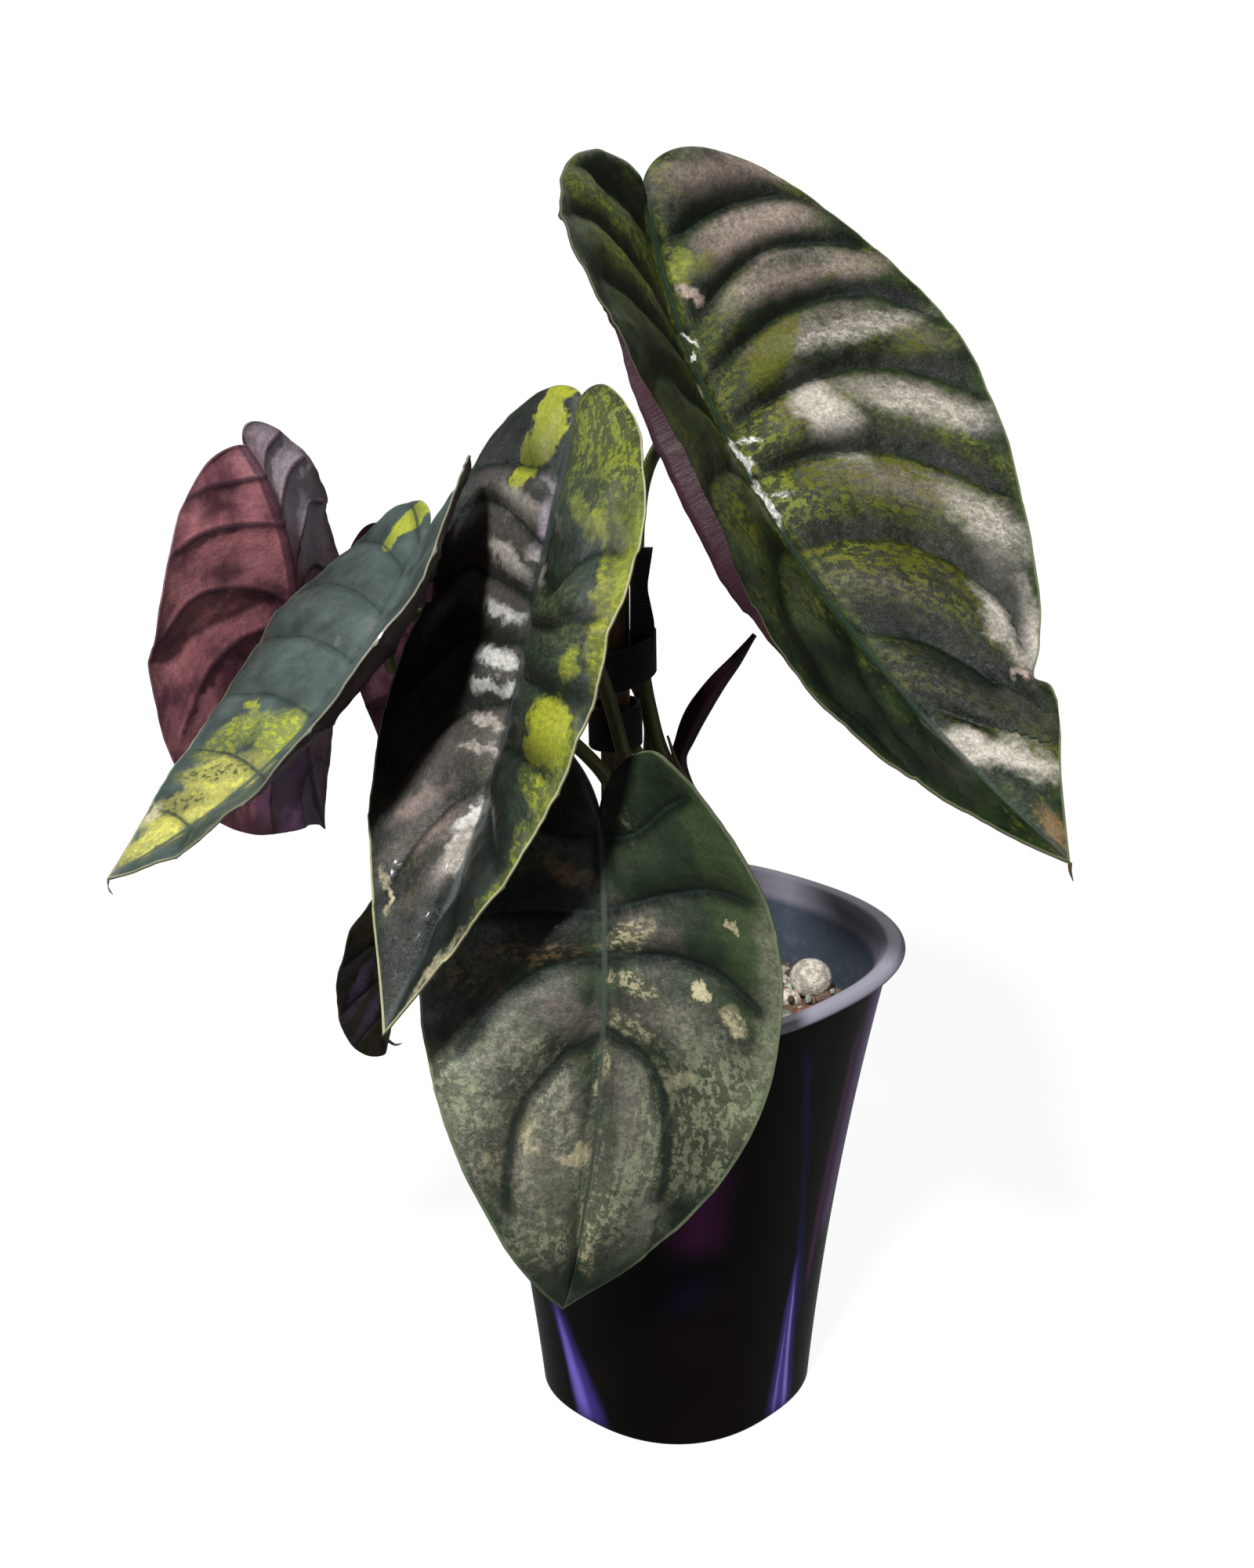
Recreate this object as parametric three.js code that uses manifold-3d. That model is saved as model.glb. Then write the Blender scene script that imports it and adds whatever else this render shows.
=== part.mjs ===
// Potted golden latte alocasia: seven open leaves, a rolled new leaf, stake, ties and a two-piece pot.
// Millimetres, +Z up. The origin is the centre of the pot's foot and -Y is the front.

import * as THREE from 'three';
import { mergeVertices } from 'three/addons/utils/BufferGeometryUtils.js';
import Module from 'manifold-3d';

const wasm = await Module();
wasm.setup();

// Driving dimensions of the pot

const POT = {
  height: 160, // from the floor to the top of the lip
  footRadius: 42.5, // half width over the flats, just above the foot
  flare: 0.085, // straight part of the wall's slope
  flareGrowth: 0.00044, // how the slope grows with the height, per mm
  squareness: 2.4, // exponent of the rounded-square plan: 2 is a circle
  turn: 47, // degrees that the flats are turned from the X axis
  shellWall: 2.2,
  shellFloor: 3,
  footEdge: 1.4, // bevel round the foot
  linerGap: 0.5, // between the shell's inside and the liner
  linerWall: 1.6,
  linerFloor: 12, // height of the liner's underside
  lipReach: 71, // half width over the flats at the outside of the lip
  // The lip's section from its underside to the opening: [in from the outside, down from the top]
  lip: [[0.6, 3], [0, 2], [0.5, 0.7], [2, 0], [5.4, 0.2], [7.2, 1.8]],
  throat: 8, // from the top down to where the liner's inside starts to follow the wall
  segments: 44,
};

const SOIL = {
  level: 133, // top of the bed under the pebbles
  mound: 2.5, // rise of the bed at its middle
  pebbles: 104,
  pebbleRadius: [3.9, 5.6],
  stoneRadius: 7, // the one big rounded stone
  stoneAt: [46, 13, 140],
  seed: 11,
};

const GAP = 0.3; // between pieces that touch

const STAKE = { radius: 4.7, foot: [-18.6, 3, 70], top: [-16, 3, 300], sides: 14 };

const BASE = { at: [5, 1], radius: 9, bottom: 116, top: 153 }; // stem base in the bed

const TIES = {
  upper: { centre: [-13.5, 1.3, 253.8], inner: 8.9, wall: 1.1, width: 13.5, slant: 19 },
  lower: { centre: [-16.7, 1.2, 233.5], inner: 6.8, wall: 1.7, width: 13.5, slant: 2 },
  // The upper tie's free end stands up beside the stake: its outline as [x, z] and the y of its back
  tail: { outline: [[-11.8, 257], [-4.6, 257], [-4, 266], [-6.2, 278], [-4.1, 291], [-10.6, 291]], back: -3 },
};

// Blades. Sizes in mm along the midrib from the stalk's seat: length to the tip, sinus and lobes behind
// it, half widths to each side. Angles in degrees: heading round Z from the front, drop below level,
// roll about the midrib. Three values for a fold are at the stalk, at the tip and in the lobe. A notch with
// a negative depth swells the margin instead. Columns are shares of the half width.

const BLADE = {
  thickness: 0.8,
  ribDepth: 1.3, // how far the midrib stands out below, at the stalk
  ribStrip: 0.07, // width of the midrib's strip over the half width
  rowsPerBay: 3, // rows from one side vein to the next
  rowSweep: 1.6, // how the rows bunch up towards the stalk
  rowBow: 0.16, // bow of a side vein over its length
  quiltPower: 0.6, // below 1 the quilting is flat-topped with narrow valleys
  quiltFoot: 0.16, // share of the half width over which the quilting rises beside the midrib
  quiltFade: 0.78, // how much of the quilting is gone at the margin
};

const LEAVES = {
  right: {
    seat: [10, -17.5, 342], heading: 36, drop: 51, roll: 9.5,
    length: 176.5, sinus: 63, lobes: [70, 77], half: [80.5, 84.5], lobeHalf: 18.5, widest: 12,
    tip: [0.21, 0.37], arch: [-17.5, -6], lobeArch: -42, sweep: [22, -13], twist: 7.5,
    foldLeft: [25.5, 13.5, 12.5], foldRight: [17, 22, 15.5], curl: [11, 14.5],
    bays: 9, bulge: 2.4, columns: [0.28, 0.52, 0.78, 1],
    notches: [{ side: 1, at: 0.787, depth: 2, width: 0.02 }, { side: 1, at: 0.812, depth: 5.5, width: 0.014 },
      { side: 1, at: 0.868, depth: -2.2, width: 0.03 }],
  },
  centre: {
    seat: [-38.5, -62, 286.5], heading: -36, drop: 70.5, roll: -15.5,
    length: 126, sinus: 61.5, lobes: [66, 65.5], half: [57, 57], lobeHalf: 11.5, widest: -6.5,
    tip: [0.18, 0.31], arch: [-13.5, -14.5], lobeArch: 12.5, sweep: [2, -6], twist: -17.5,
    foldLeft: [-6, 25, 3.5], foldRight: [35.5, 45.5, 11.5], curl: [5, -38],
    bays: 9, bulge: 1.9, columns: [0.28, 0.52, 0.78, 1],
    notches: [],
  },
  front: {
    seat: [-20.5, -81, 201], heading: -2.5, drop: 77.5, roll: 0,
    length: 133.5, sinus: 30, lobes: [56, 49.5], half: [55.5, 53.5], lobeHalf: 24, widest: 13.5,
    tip: [0.18, 0.33], arch: [28, 2.5], lobeArch: 2, sweep: [-13, -2.5], twist: -28.5,
    foldLeft: [13, 18, -23], foldRight: [14.5, 12.5, 34.5], curl: [-46.5, 13],
    bays: 8, bulge: 1.3, columns: [0.28, 0.52, 0.78, 1],
    notches: [],
  },
  back_left: {
    seat: [-117.5, 19, 273], heading: 189.5, drop: 69.5, roll: 54,
    length: 110, sinus: 50.5, lobes: [56, 53], half: [50, 60], lobeHalf: 9, widest: 30.5,
    tip: [0.31, 0.11], arch: [0, -0.5], lobeArch: -78, sweep: [-7.5, -9.5], twist: -7,
    foldLeft: [22, 0, 18.5], foldRight: [22.5, -16.5, 16], curl: [-9.5, -10.5],
    bays: 8, bulge: 1.1, columns: [0.35, 0.68, 1],
    notches: [],
  },
  front_left: {
    seat: [-83.5, -40.5, 279.5], heading: -40, drop: 46.5, roll: -3.5,
    length: 109.5, sinus: 31, lobes: [49.5, 43], half: [57.5, 61.5], lobeHalf: 23.5, widest: 12.5,
    tip: [0.18, 0.28], arch: [-28, 9], lobeArch: 19, sweep: [-32, 1], twist: -1.5,
    foldLeft: [4.5, -3, -7], foldRight: [17.5, 28, 28.5], curl: [-28, 39],
    bays: 8, bulge: 1.0, columns: [0.35, 0.68, 1],
    notches: [],
  },
  low_left: {
    seat: [-84, 15.5, 164.5], heading: 246.5, drop: 65.5, roll: 0.5,
    length: 62, sinus: 17.5, lobes: [25, 25], half: [28, 29.5], lobeHalf: 12, widest: 7.5,
    tip: [0.03, 0.33], arch: [13, 0.5], lobeArch: -3, sweep: [-10, -10], twist: -1.5,
    foldLeft: [15, 15, 15], foldRight: [20, 13.5, 15], curl: [-10, -6.5],
    bays: 6, bulge: 0.7, columns: [0.5, 1],
    notches: [],
  },
  behind: {
    seat: [-76.5, 49, 259.5], heading: 177, drop: 78, roll: -8,
    length: 80.5, sinus: 18, lobes: [26, 26], half: [37.5, 37.5], lobeHalf: 16, widest: 8.5,
    tip: [0.14, 0.28], arch: [19.5, 0.5], lobeArch: 0, sweep: [-1, -3.5], twist: -5.5,
    foldLeft: [15, 15, 15], foldRight: [27, 9.5, 15], curl: [-10, 5],
    bays: 6, bulge: 0.8, columns: [0.5, 1],
    notches: [],
  },
};

const TEAR = { leaf: 'centre', at: [-71.5, -57, 284], half: [1.6, 5.2] }; // a slit torn in the centre leaf

// Stalks: points from the stem base to the blade's seat, radius at the foot and at the seat

const STALKS = {
  right: { foot: 3.4, neck: 1.9, via: [[11.2, -2.6, 145], [12, -5, 178], [6.5, -5, 207], [-2.4, -4.2, 225.5],
    [-6, -3.4, 239.6], [-8, -0.6, 251], [-9.3, 0.2, 259], [-9.3, 0.2, 272], [-9, 0.2, 290.4],
    [-8.4, -3, 300], [-6.6, -9.5, 313], [-2.4, -14, 324]] },
  centre: { foot: 2.6, neck: 2.2, via: [[6.9, -6, 145], [2, -10.5, 180], [-6, -10, 205], [-14, -10.6, 227],
    [-16.7, -11.4, 238.2], [-20, -16, 252.4], [-23.8, -24, 264], [-31.6, -42, 280]] },
  front: { foot: 2.6, neck: 2.1, via: [[1.4, -5.2, 145], [-6, -13.5, 180], [-14, -14, 208], [-20, -13, 220.8],
    [-27.2, -18, 231.5], [-32, -32, 240], [-33, -52, 242], [-28.3, -67, 226]] },
  back_left: { foot: 2.5, neck: 2.4, via: [[3.7, 8.1, 145], [-1, 12, 185], [-5.5, 10, 215], [-6, 9.4, 233],
    [-15, 16, 249], [-36, 17, 258], [-57, 14, 262], [-79, 16, 265.5], [-98.5, 18, 270]] },
  front_left: { foot: 2.4, neck: 1.8, via: [[-2, -0.9, 145], [-14, -6.5, 185], [-29, -8, 214], [-41, -7, 229],
    [-61, -10, 246], [-76, -18, 256], [-83, -25, 261]] },
  low_left: { foot: 2.3, neck: 1.6, via: [[-1.2, 4.6, 145], [-12, 12, 172], [-28, 14, 186], [-49, 14, 185],
    [-69, 15, 174]] },
  behind: { foot: 2.5, neck: 1.7, via: [[9.6, 6.5, 145], [6, 17, 182], [-3, 22, 205], [-20, 27, 230],
    [-40, 34, 250], [-61, 40, 259]] },
};

const NEW_LEAF = {
  via: [[12.4, 2.9, 146], [15.5, 2.5, 178], [12.5, 2.5, 198], [5.5, 2.3, 212], [3.1, 2, 221], [4.9, 1, 228],
    [8.5, 0, 236.7], [14.6, -1, 246.4], [20.8, -0.8, 254], [26.8, 0.5, 261.8]],
  // Half width of the stalk, then of the flattened roll, along its length
  radii: [[0, 2.3], [0.55, 2.2], [0.63, 2.5], [0.7, 3.5], [0.76, 3.8], [0.84, 3.1], [0.92, 2.1], [1, 0.7]],
  rolledFrom: 0.6, // where the round stalk ends and the flattened roll begins
  flatness: 0.7, // depth of the roll over its width
};

const SHEATH = {
  via: [[14.8, -6.2, 148], [15.6, -7.9, 178], [9.8, -8, 207], [2.6, -7.3, 222], [-0.6, -5.8, 231.5]],
  radii: [[0, 1.4], [0.6, 1.3], [0.85, 0.9], [1, 0.4]],
};

const COLOURS = {
  leafDark: 0x2c3b2e, leafGold: 0x6f7a34, leafMaroon: 0x4c2130, stalk: 0x5f6a2e, newLeaf: 0x2a0c18,
  shell: 0x14081e, liner: 0x8d8c9a, bed: 0x8f857b, stake: 0x9a7449, tie: 0x0b0b0d, sheath: 0x7a6a4a,
};

const radians = THREE.MathUtils.degToRad;
const lerp = THREE.MathUtils.lerp;

// Solids

/** Returns a closed geometry's solid. */
function solid(geometry) {
  const bare = geometry.clone();
  bare.deleteAttribute('normal');
  bare.deleteAttribute('uv');
  const merged = mergeVertices(bare, 1e-4);
  const mesh = new wasm.Mesh({
    numProp: 3,
    vertProperties: new Float32Array(merged.attributes.position.array),
    triVerts: new Uint32Array(merged.index.array),
  });
  return new wasm.Manifold(mesh);
}

/** Returns a solid's geometry. */
function geometryOf(shape) {
  const mesh = shape.getMesh();
  const geometry = new THREE.BufferGeometry();
  geometry.setAttribute('position', new THREE.BufferAttribute(new Float32Array(mesh.vertProperties), 3));
  geometry.setIndex(new THREE.BufferAttribute(new Uint32Array(mesh.triVerts), 1));
  geometry.computeVertexNormals();
  return geometry;
}

/** Returns the largest of a solid's separate bodies. */
function largest(shape) {
  const bodies = shape.decompose();
  return bodies.reduce((best, body) => (body.volume() > best.volume() ? body : best));
}

/** Returns a geometry from points and triangles. */
function fromPoints(points, triangles) {
  const geometry = new THREE.BufferGeometry();
  const values = points.flatMap((p) => [p.x, p.y, p.z]);
  geometry.setAttribute('position', new THREE.Float32BufferAttribute(values, 3));
  geometry.setIndex(triangles);
  geometry.computeVertexNormals();
  return geometry;
}

/** Returns the value at t of a list of [t, value] pairs. */
function ramp(pairs, t) {
  const last = pairs.findIndex(([at]) => at >= t);
  if (last <= 0) return pairs[last < 0 ? pairs.length - 1 : 0][1];
  const [t0, v0] = pairs[last - 1];
  const [t1, v1] = pairs[last];
  return lerp(v0, v1, (t - t0) / (t1 - t0));
}

const vector = ([x, y, z]) => new THREE.Vector3(x, y, z);

/** Returns a solid rod round a curve. sectionAt(t) gives the half width and half depth there. */
function rod(points, steps, sides, sectionAt) {
  const curve = new THREE.CatmullRomCurve3(points, false, 'catmullrom', 0.5);
  const frames = curve.computeFrenetFrames(steps, false);
  const vertices = [];
  for (let i = 0; i <= steps; i += 1) {
    const centre = curve.getPointAt(i / steps);
    const [wide, deep] = sectionAt(i / steps);
    for (let j = 0; j < sides; j += 1) {
      const angle = (2 * Math.PI * j) / sides;
      vertices.push(centre.clone()
        .addScaledVector(frames.normals[i], wide * Math.cos(angle))
        .addScaledVector(frames.binormals[i], deep * Math.sin(angle)));
    }
  }
  const triangles = [];
  for (let i = 0; i < steps; i += 1) {
    for (let j = 0; j < sides; j += 1) {
      const a = i * sides + j;
      const b = i * sides + ((j + 1) % sides);
      triangles.push(a, b, b + sides, a, b + sides, a + sides);
    }
  }
  const first = vertices.length;
  vertices.push(curve.getPointAt(0), curve.getPointAt(1));
  for (let j = 0; j < sides; j += 1) {
    const next = (j + 1) % sides;
    triangles.push(first, next, j, first + 1, steps * sides + j, steps * sides + next);
  }
  return fromPoints(vertices, triangles);
}

// Pot

/** Returns how far the rounded-square plan reaches at an angle, for a half width of 1 over the flats. */
function planReach(angle) {
  const turned = angle - radians(POT.turn);
  const power = POT.squareness;
  return (Math.abs(Math.cos(turned)) ** power + Math.abs(Math.sin(turned)) ** power) ** (-1 / power);
}

/** Returns the shell's outer half width over the flats at a height. */
function wallRadius(z) {
  return POT.footRadius + POT.flare * z + POT.flareGrowth * z * z;
}

/** Returns a body with the pot's rounded-square plan from a profile of [half width, height] points. */
function potBody(profile) {
  const outline = profile.map(([r, z]) => new THREE.Vector2(r, z));
  const geometry = new THREE.LatheGeometry(outline, POT.segments);
  geometry.rotateX(Math.PI / 2);
  const position = geometry.attributes.position;
  for (let i = 0; i < position.count; i += 1) {
    const reach = planReach(Math.atan2(position.getY(i), position.getX(i)));
    position.setX(i, position.getX(i) * reach);
    position.setY(i, position.getY(i) * reach);
  }
  return solid(geometry);
}

/** Returns profile points that follow the wall, moved in by an inset, between two heights. */
function wallProfile(from, to, steps, inset) {
  return Array.from({ length: steps + 1 }, (_, i) => {
    const z = lerp(from, to, i / steps);
    return [wallRadius(z) - inset, z];
  });
}

function potShell() {
  const top = POT.height - POT.lip[0][1] - GAP;
  return potBody([
    [0, 0],
    [wallRadius(0) - POT.footEdge, 0],
    ...wallProfile(POT.footEdge, top, 5, 0),
    ...wallProfile(top, POT.shellFloor, 5, POT.shellWall),
    [0, POT.shellFloor],
  ]);
}

function potLiner() {
  const inset = POT.shellWall + POT.linerGap;
  const under = POT.height - POT.lip[0][1];
  const floor = POT.linerFloor + POT.linerWall;
  return potBody([
    [0, POT.linerFloor],
    ...wallProfile(POT.linerFloor, under, 4, inset),
    ...POT.lip.map(([inward, down]) => [POT.lipReach - inward, POT.height - down]),
    ...wallProfile(POT.height - POT.throat, floor, 4, inset + POT.linerWall),
    [0, floor],
  ]);
}

// Bed

/** Returns a repeatable random source. */
function randomSource(seed) {
  let state = seed;
  return () => {
    state = (state * 1664525 + 1013904223) % 4294967296;
    return state / 4294967296;
  };
}

/** Returns where the pebbles lie: centre, radii and turn of each. */
function pebblePlaces() {
  const random = randomSource(SOIL.seed);
  const inside = wallRadius(SOIL.level) - POT.shellWall - POT.linerGap - POT.linerWall - GAP;
  const golden = Math.PI * (3 - Math.sqrt(5));
  return Array.from({ length: SOIL.pebbles }, (_, i) => {
    const radius = lerp(...SOIL.pebbleRadius, random());
    const angle = i * golden + 0.25 * random();
    const reach = (inside - radius - 1.6) * planReach(angle) * Math.sqrt((i + 0.5) / SOIL.pebbles);
    const stretch = [1, 0.78 + 0.3 * random(), 0.66 + 0.25 * random()];
    return {
      centre: [reach * Math.cos(angle), reach * Math.sin(angle), SOIL.level + 0.4 + 1.6 * random()],
      radii: stretch.map((s) => s * radius),
      turn: 2 * Math.PI * random(),
    };
  });
}

/** Returns a rounded stone's solid. */
function stone({ centre, radii, turn }, shape) {
  const geometry = shape.clone();
  geometry.scale(...radii);
  geometry.rotateZ(turn);
  geometry.translate(...centre);
  return solid(geometry);
}

/** Returns the bed with its pebbles, cut clear of what stands in it. */
function substrate(standing) {
  const inset = POT.shellWall + POT.linerGap + POT.linerWall + GAP;
  const bottom = POT.linerFloor + POT.linerWall + GAP;
  const pebbleShape = new THREE.OctahedronGeometry(1, 0).rotateX(0.7).rotateY(0.5);
  let bed = potBody([
    [0, bottom],
    ...wallProfile(bottom, SOIL.level, 4, inset),
    [wallRadius(SOIL.level) * 0.5, SOIL.level + 0.8 * SOIL.mound],
    [0, SOIL.level + SOIL.mound],
  ]);
  pebblePlaces().forEach((place) => {
    bed = bed.add(stone(place, pebbleShape));
  });
  const big = SOIL.stoneRadius;
  const stoneShape = new THREE.IcosahedronGeometry(1, 1);
  bed = bed.add(stone({ centre: SOIL.stoneAt, radii: [big, big, 0.95 * big], turn: 0.4 }, stoneShape));
  standing.forEach((shape) => {
    bed = bed.subtract(shape);
  });
  return largest(bed);
}

// Stake, stem base and ties

/** Returns the stake, or its hole in the bed when it is given some extra. */
function stakeRod(extra) {
  const section = () => [STAKE.radius + extra, STAKE.radius + extra];
  const foot = vector(STAKE.foot).setZ(STAKE.foot[2] - extra);
  return rod([foot, vector(STAKE.top)], 1, STAKE.sides, section);
}

/** Returns the stem base: a blunt stump that narrows to its top. */
function stemBase(extra) {
  const r = BASE.radius + extra;
  const profile = [
    [0, BASE.bottom - extra], [0.7 * r, BASE.bottom - extra], [r, BASE.bottom + 8],
    [r, BASE.top - 12], [0.8 * r, BASE.top - 4], [0.45 * r, BASE.top + extra], [0, BASE.top + extra],
  ];
  const geometry = new THREE.LatheGeometry(profile.map(([x, z]) => new THREE.Vector2(x, z)), 14);
  geometry.rotateX(Math.PI / 2);
  geometry.translate(BASE.at[0], BASE.at[1], 0);
  return solid(geometry);
}

/** Returns one tie's band. */
function band({ centre, inner, wall, width, slant }) {
  const outline = new THREE.Shape();
  outline.absarc(0, 0, inner + wall, 0, 2 * Math.PI, false);
  const hole = new THREE.Path();
  hole.absarc(0, 0, inner, 0, 2 * Math.PI, true);
  outline.holes.push(hole);
  const extrusion = { depth: width, bevelEnabled: false, curveSegments: 12 };
  const geometry = new THREE.ExtrudeGeometry(outline, extrusion);
  geometry.translate(0, 0, -width / 2);
  geometry.applyMatrix4(new THREE.Matrix4().makeShear(0, Math.tan(radians(slant)), 0, 0, 0, 0));
  geometry.translate(...centre);
  return solid(geometry);
}

/** Returns the upper tie with its free end. */
function upperTie() {
  const { outline, back } = TIES.tail;
  const shape = new THREE.Shape(outline.map(([x, z]) => new THREE.Vector2(x, z)));
  const tail = new THREE.ExtrudeGeometry(shape, { depth: TIES.upper.wall, bevelEnabled: false });
  tail.rotateX(Math.PI / 2);
  tail.translate(0, back, 0);
  return band(TIES.upper).add(solid(tail));
}

// Blades

const side2 = (side, [left, right]) => (side > 0 ? right : left);

/** Returns the half outline from the sinus round the lobe to the tip: x to the tip, y outwards. */
function halfOutline(leaf, side) {
  const { length, sinus, lobeHalf, widest, tip } = leaf;
  const half = side2(side, leaf.half);
  const lobe = side2(side, leaf.lobes);
  const path = new THREE.CurvePath();
  const at = (x, y) => new THREE.Vector2(x, y);
  path.add(new THREE.CubicBezierCurve(
    at(-sinus, 0), at(-sinus - 0.5 * (lobe - sinus), 0.05 * lobeHalf),
    at(-lobe, 0.45 * lobeHalf), at(-lobe, lobeHalf),
  ));
  path.add(new THREE.CubicBezierCurve(
    at(-lobe, lobeHalf), at(-lobe, 0.5 * (lobeHalf + half)),
    at(0.5 * (widest - lobe), half), at(widest, half),
  ));
  path.add(new THREE.CubicBezierCurve(
    at(widest, half), at(widest + 0.42 * (length - widest), half),
    at(length - tip[0] * (length - widest), tip[1] * half), at(length, 0),
  ));
  return path;
}

/** Returns how high the surface bulges between the side veins, at row u and column v of a half. */
function quilting(leaf, u, v) {
  const along = Math.abs(Math.sin(Math.PI * leaf.bays * u)) ** BLADE.quiltPower;
  const across = (1 - Math.exp(-((v / BLADE.quiltFoot) ** 2))) * (1 - BLADE.quiltFade * v ** 4);
  const ends = Math.min(1, 8 * (1 - u), 12 * u);
  return leaf.bulge * along * across * ends;
}

/** Returns the midrib as points with their across and normal directions, from the lobes to the tip. */
function midribTable(leaf) {
  const steps = 60;
  const walk = (reach, sign) => {
    const out = [];
    const point = new THREE.Vector3();
    let last = null;
    for (let i = 0; i <= steps; i += 1) {
      const x = (sign * reach * i) / steps;
      const t = x / leaf.length;
      const down = radians(sign > 0 ? leaf.arch[0] * t + leaf.arch[1] * t * t : leaf.lobeArch * t);
      const aside = radians(leaf.sweep[0] * t + leaf.sweep[1] * t * t * sign);
      const along = new THREE.Vector3(
        Math.cos(down) * Math.cos(aside), Math.cos(down) * Math.sin(aside), -Math.sin(down),
      );
      const normal = new THREE.Vector3(
        Math.sin(down) * Math.cos(aside), Math.sin(down) * Math.sin(aside), Math.cos(down),
      );
      if (last) point.addScaledVector(along.clone().add(last), (sign * reach) / steps / 2);
      last = along;
      out.push({ x, point: point.clone(), across: normal.clone().cross(along), normal });
    }
    return out;
  };
  const back = walk(1.02 * Math.max(...leaf.lobes), -1).reverse();
  return [...back, ...walk(leaf.length, 1).slice(1)];
}

/** Returns the midrib's point, across and normal directions at x. */
function midribAt(table, x) {
  const next = Math.max(1, table.findIndex((row) => row.x >= x));
  const a = table[next - 1];
  const b = table[next];
  const t = THREE.MathUtils.clamp((x - a.x) / (b.x - a.x), 0, 1);
  return {
    point: a.point.clone().lerp(b.point, t),
    across: a.across.clone().lerp(b.across, t).normalize(),
    normal: a.normal.clone().lerp(b.normal, t).normalize(),
  };
}

/** Returns the directions of a blade at its seat: to the tip, across and up. */
function seatFrame({ heading, drop, roll }) {
  const [h, d, r] = [heading, drop, roll].map(radians);
  const tip = new THREE.Vector3(Math.cos(d) * Math.sin(h), -Math.cos(d) * Math.cos(h), -Math.sin(d));
  const level = new THREE.Vector3(Math.sin(d) * Math.sin(h), -Math.sin(d) * Math.cos(h), Math.cos(d));
  const across = level.clone().cross(tip);
  const up = level.clone().multiplyScalar(Math.cos(r)).addScaledVector(across, Math.sin(r));
  return new THREE.Matrix4().makeBasis(tip, up.clone().cross(tip), up);
}

/** Returns a fold that changes from the stalk to the tip and to the lobe. */
function foldAt([seat, tip, lobe], x, leaf) {
  const towardsTip = THREE.MathUtils.clamp(x / leaf.length, 0, 1);
  const towardsLobe = THREE.MathUtils.clamp((-2 * x) / (leaf.lobes[0] + leaf.lobes[1]), 0, 1);
  return radians(seat + (tip - seat) * towardsTip + (lobe - seat) * towardsLobe);
}

/** Returns the bent blade's point for a flat point x, y of a half, raised by a height. */
function bent(leaf, table, side, x, y, height) {
  const { point, across, normal } = midribAt(table, x);
  const turn = radians(leaf.twist) * THREE.MathUtils.clamp(x / leaf.length, -1, 1);
  const b = across.clone().multiplyScalar(Math.cos(turn)).addScaledVector(normal, Math.sin(turn));
  const n = across.clone().multiplyScalar(-Math.sin(turn)).addScaledVector(normal, Math.cos(turn));
  const fold = foldAt(side > 0 ? leaf.foldRight : leaf.foldLeft, x, leaf);
  const curl = radians(side2(side, leaf.curl)) / Math.max(...leaf.half);
  const end = fold + curl * y;
  const out = (Math.sin(end) - Math.sin(fold)) / curl;
  const rise = (Math.cos(fold) - Math.cos(end)) / curl;
  return point.clone()
    .addScaledVector(b, side * (out - Math.sin(end) * height))
    .addScaledVector(n, rise + Math.cos(end) * height);
}

/** Returns the rows of a blade: side veins and the lines between them. */
function rowPlaces(leaf) {
  const count = leaf.bays * BLADE.rowsPerBay;
  return Array.from({ length: count + 1 }, (_, i) => i / count);
}

/** Returns a blade's middle surface: points, triangles and the midrib's share of each point. */
function bladeSurface(leaf) {
  const rows = rowPlaces(leaf);
  const table = midribTable(leaf);
  const columns = [0, BLADE.ribStrip, ...leaf.columns];
  const points = [];
  const rib = [];
  const index = new Map();
  const lastRow = rows.length - 1;
  const key = (side, i, j) => (j === 0 || i === 0 || i === lastRow ? `${i}` : `${side},${i},${j}`);
  [1, -1].forEach((side) => {
    const outline = halfOutline(leaf, side);
    rows.forEach((u, i) => {
      const rim = outline.getPoint(u);
      leaf.notches.filter((notch) => notch.side === side).forEach((notch) => {
        rim.y -= notch.depth * Math.exp(-(((u - notch.at) / notch.width) ** 2));
      });
      const start = -leaf.sinus + (leaf.length + leaf.sinus) * u ** BLADE.rowSweep;
      const bow = BLADE.rowBow * Math.hypot(rim.x - start, rim.y);
      const row = new THREE.QuadraticBezierCurve(
        new THREE.Vector2(start, 0), new THREE.Vector2((start + rim.x) / 2 - bow, rim.y / 2), rim,
      );
      columns.forEach((v, j) => {
        const name = key(side, i, j);
        if (index.has(name)) return;
        const flat = row.getPoint(v);
        index.set(name, points.length);
        points.push(bent(leaf, table, side, flat.x, flat.y, quilting(leaf, u, v)));
        rib.push(j === 0 ? Math.sqrt(Math.max(0, 1 - u)) : 0);
      });
    });
  });
  const triangles = [];
  const add = (side, a, b, c) => {
    if (a === b || b === c || a === c) return;
    triangles.push(side > 0 ? [a, b, c] : [a, c, b]);
  };
  [1, -1].forEach((side) => {
    for (let i = 0; i < lastRow; i += 1) {
      for (let j = 0; j < columns.length - 1; j += 1) {
        const [a, b, c, d] = [[i, j], [i + 1, j], [i + 1, j + 1], [i, j + 1]]
          .map(([row, column]) => index.get(key(side, row, column)));
        add(side, a, b, c);
        add(side, a, c, d);
      }
    }
  });
  const seat = seatFrame(leaf).setPosition(...leaf.seat);
  points.forEach((point) => point.applyMatrix4(seat));
  return { points, triangles, rib };
}

/** Returns each point's mean normal. */
function surfaceNormals(points, triangles) {
  const normals = points.map(() => new THREE.Vector3());
  triangles.forEach(([a, b, c]) => {
    const face = points[b].clone().sub(points[a]).cross(points[c].clone().sub(points[a]));
    [a, b, c].forEach((i) => normals[i].add(face));
  });
  return normals.map((normal) => normal.normalize());
}

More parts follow.
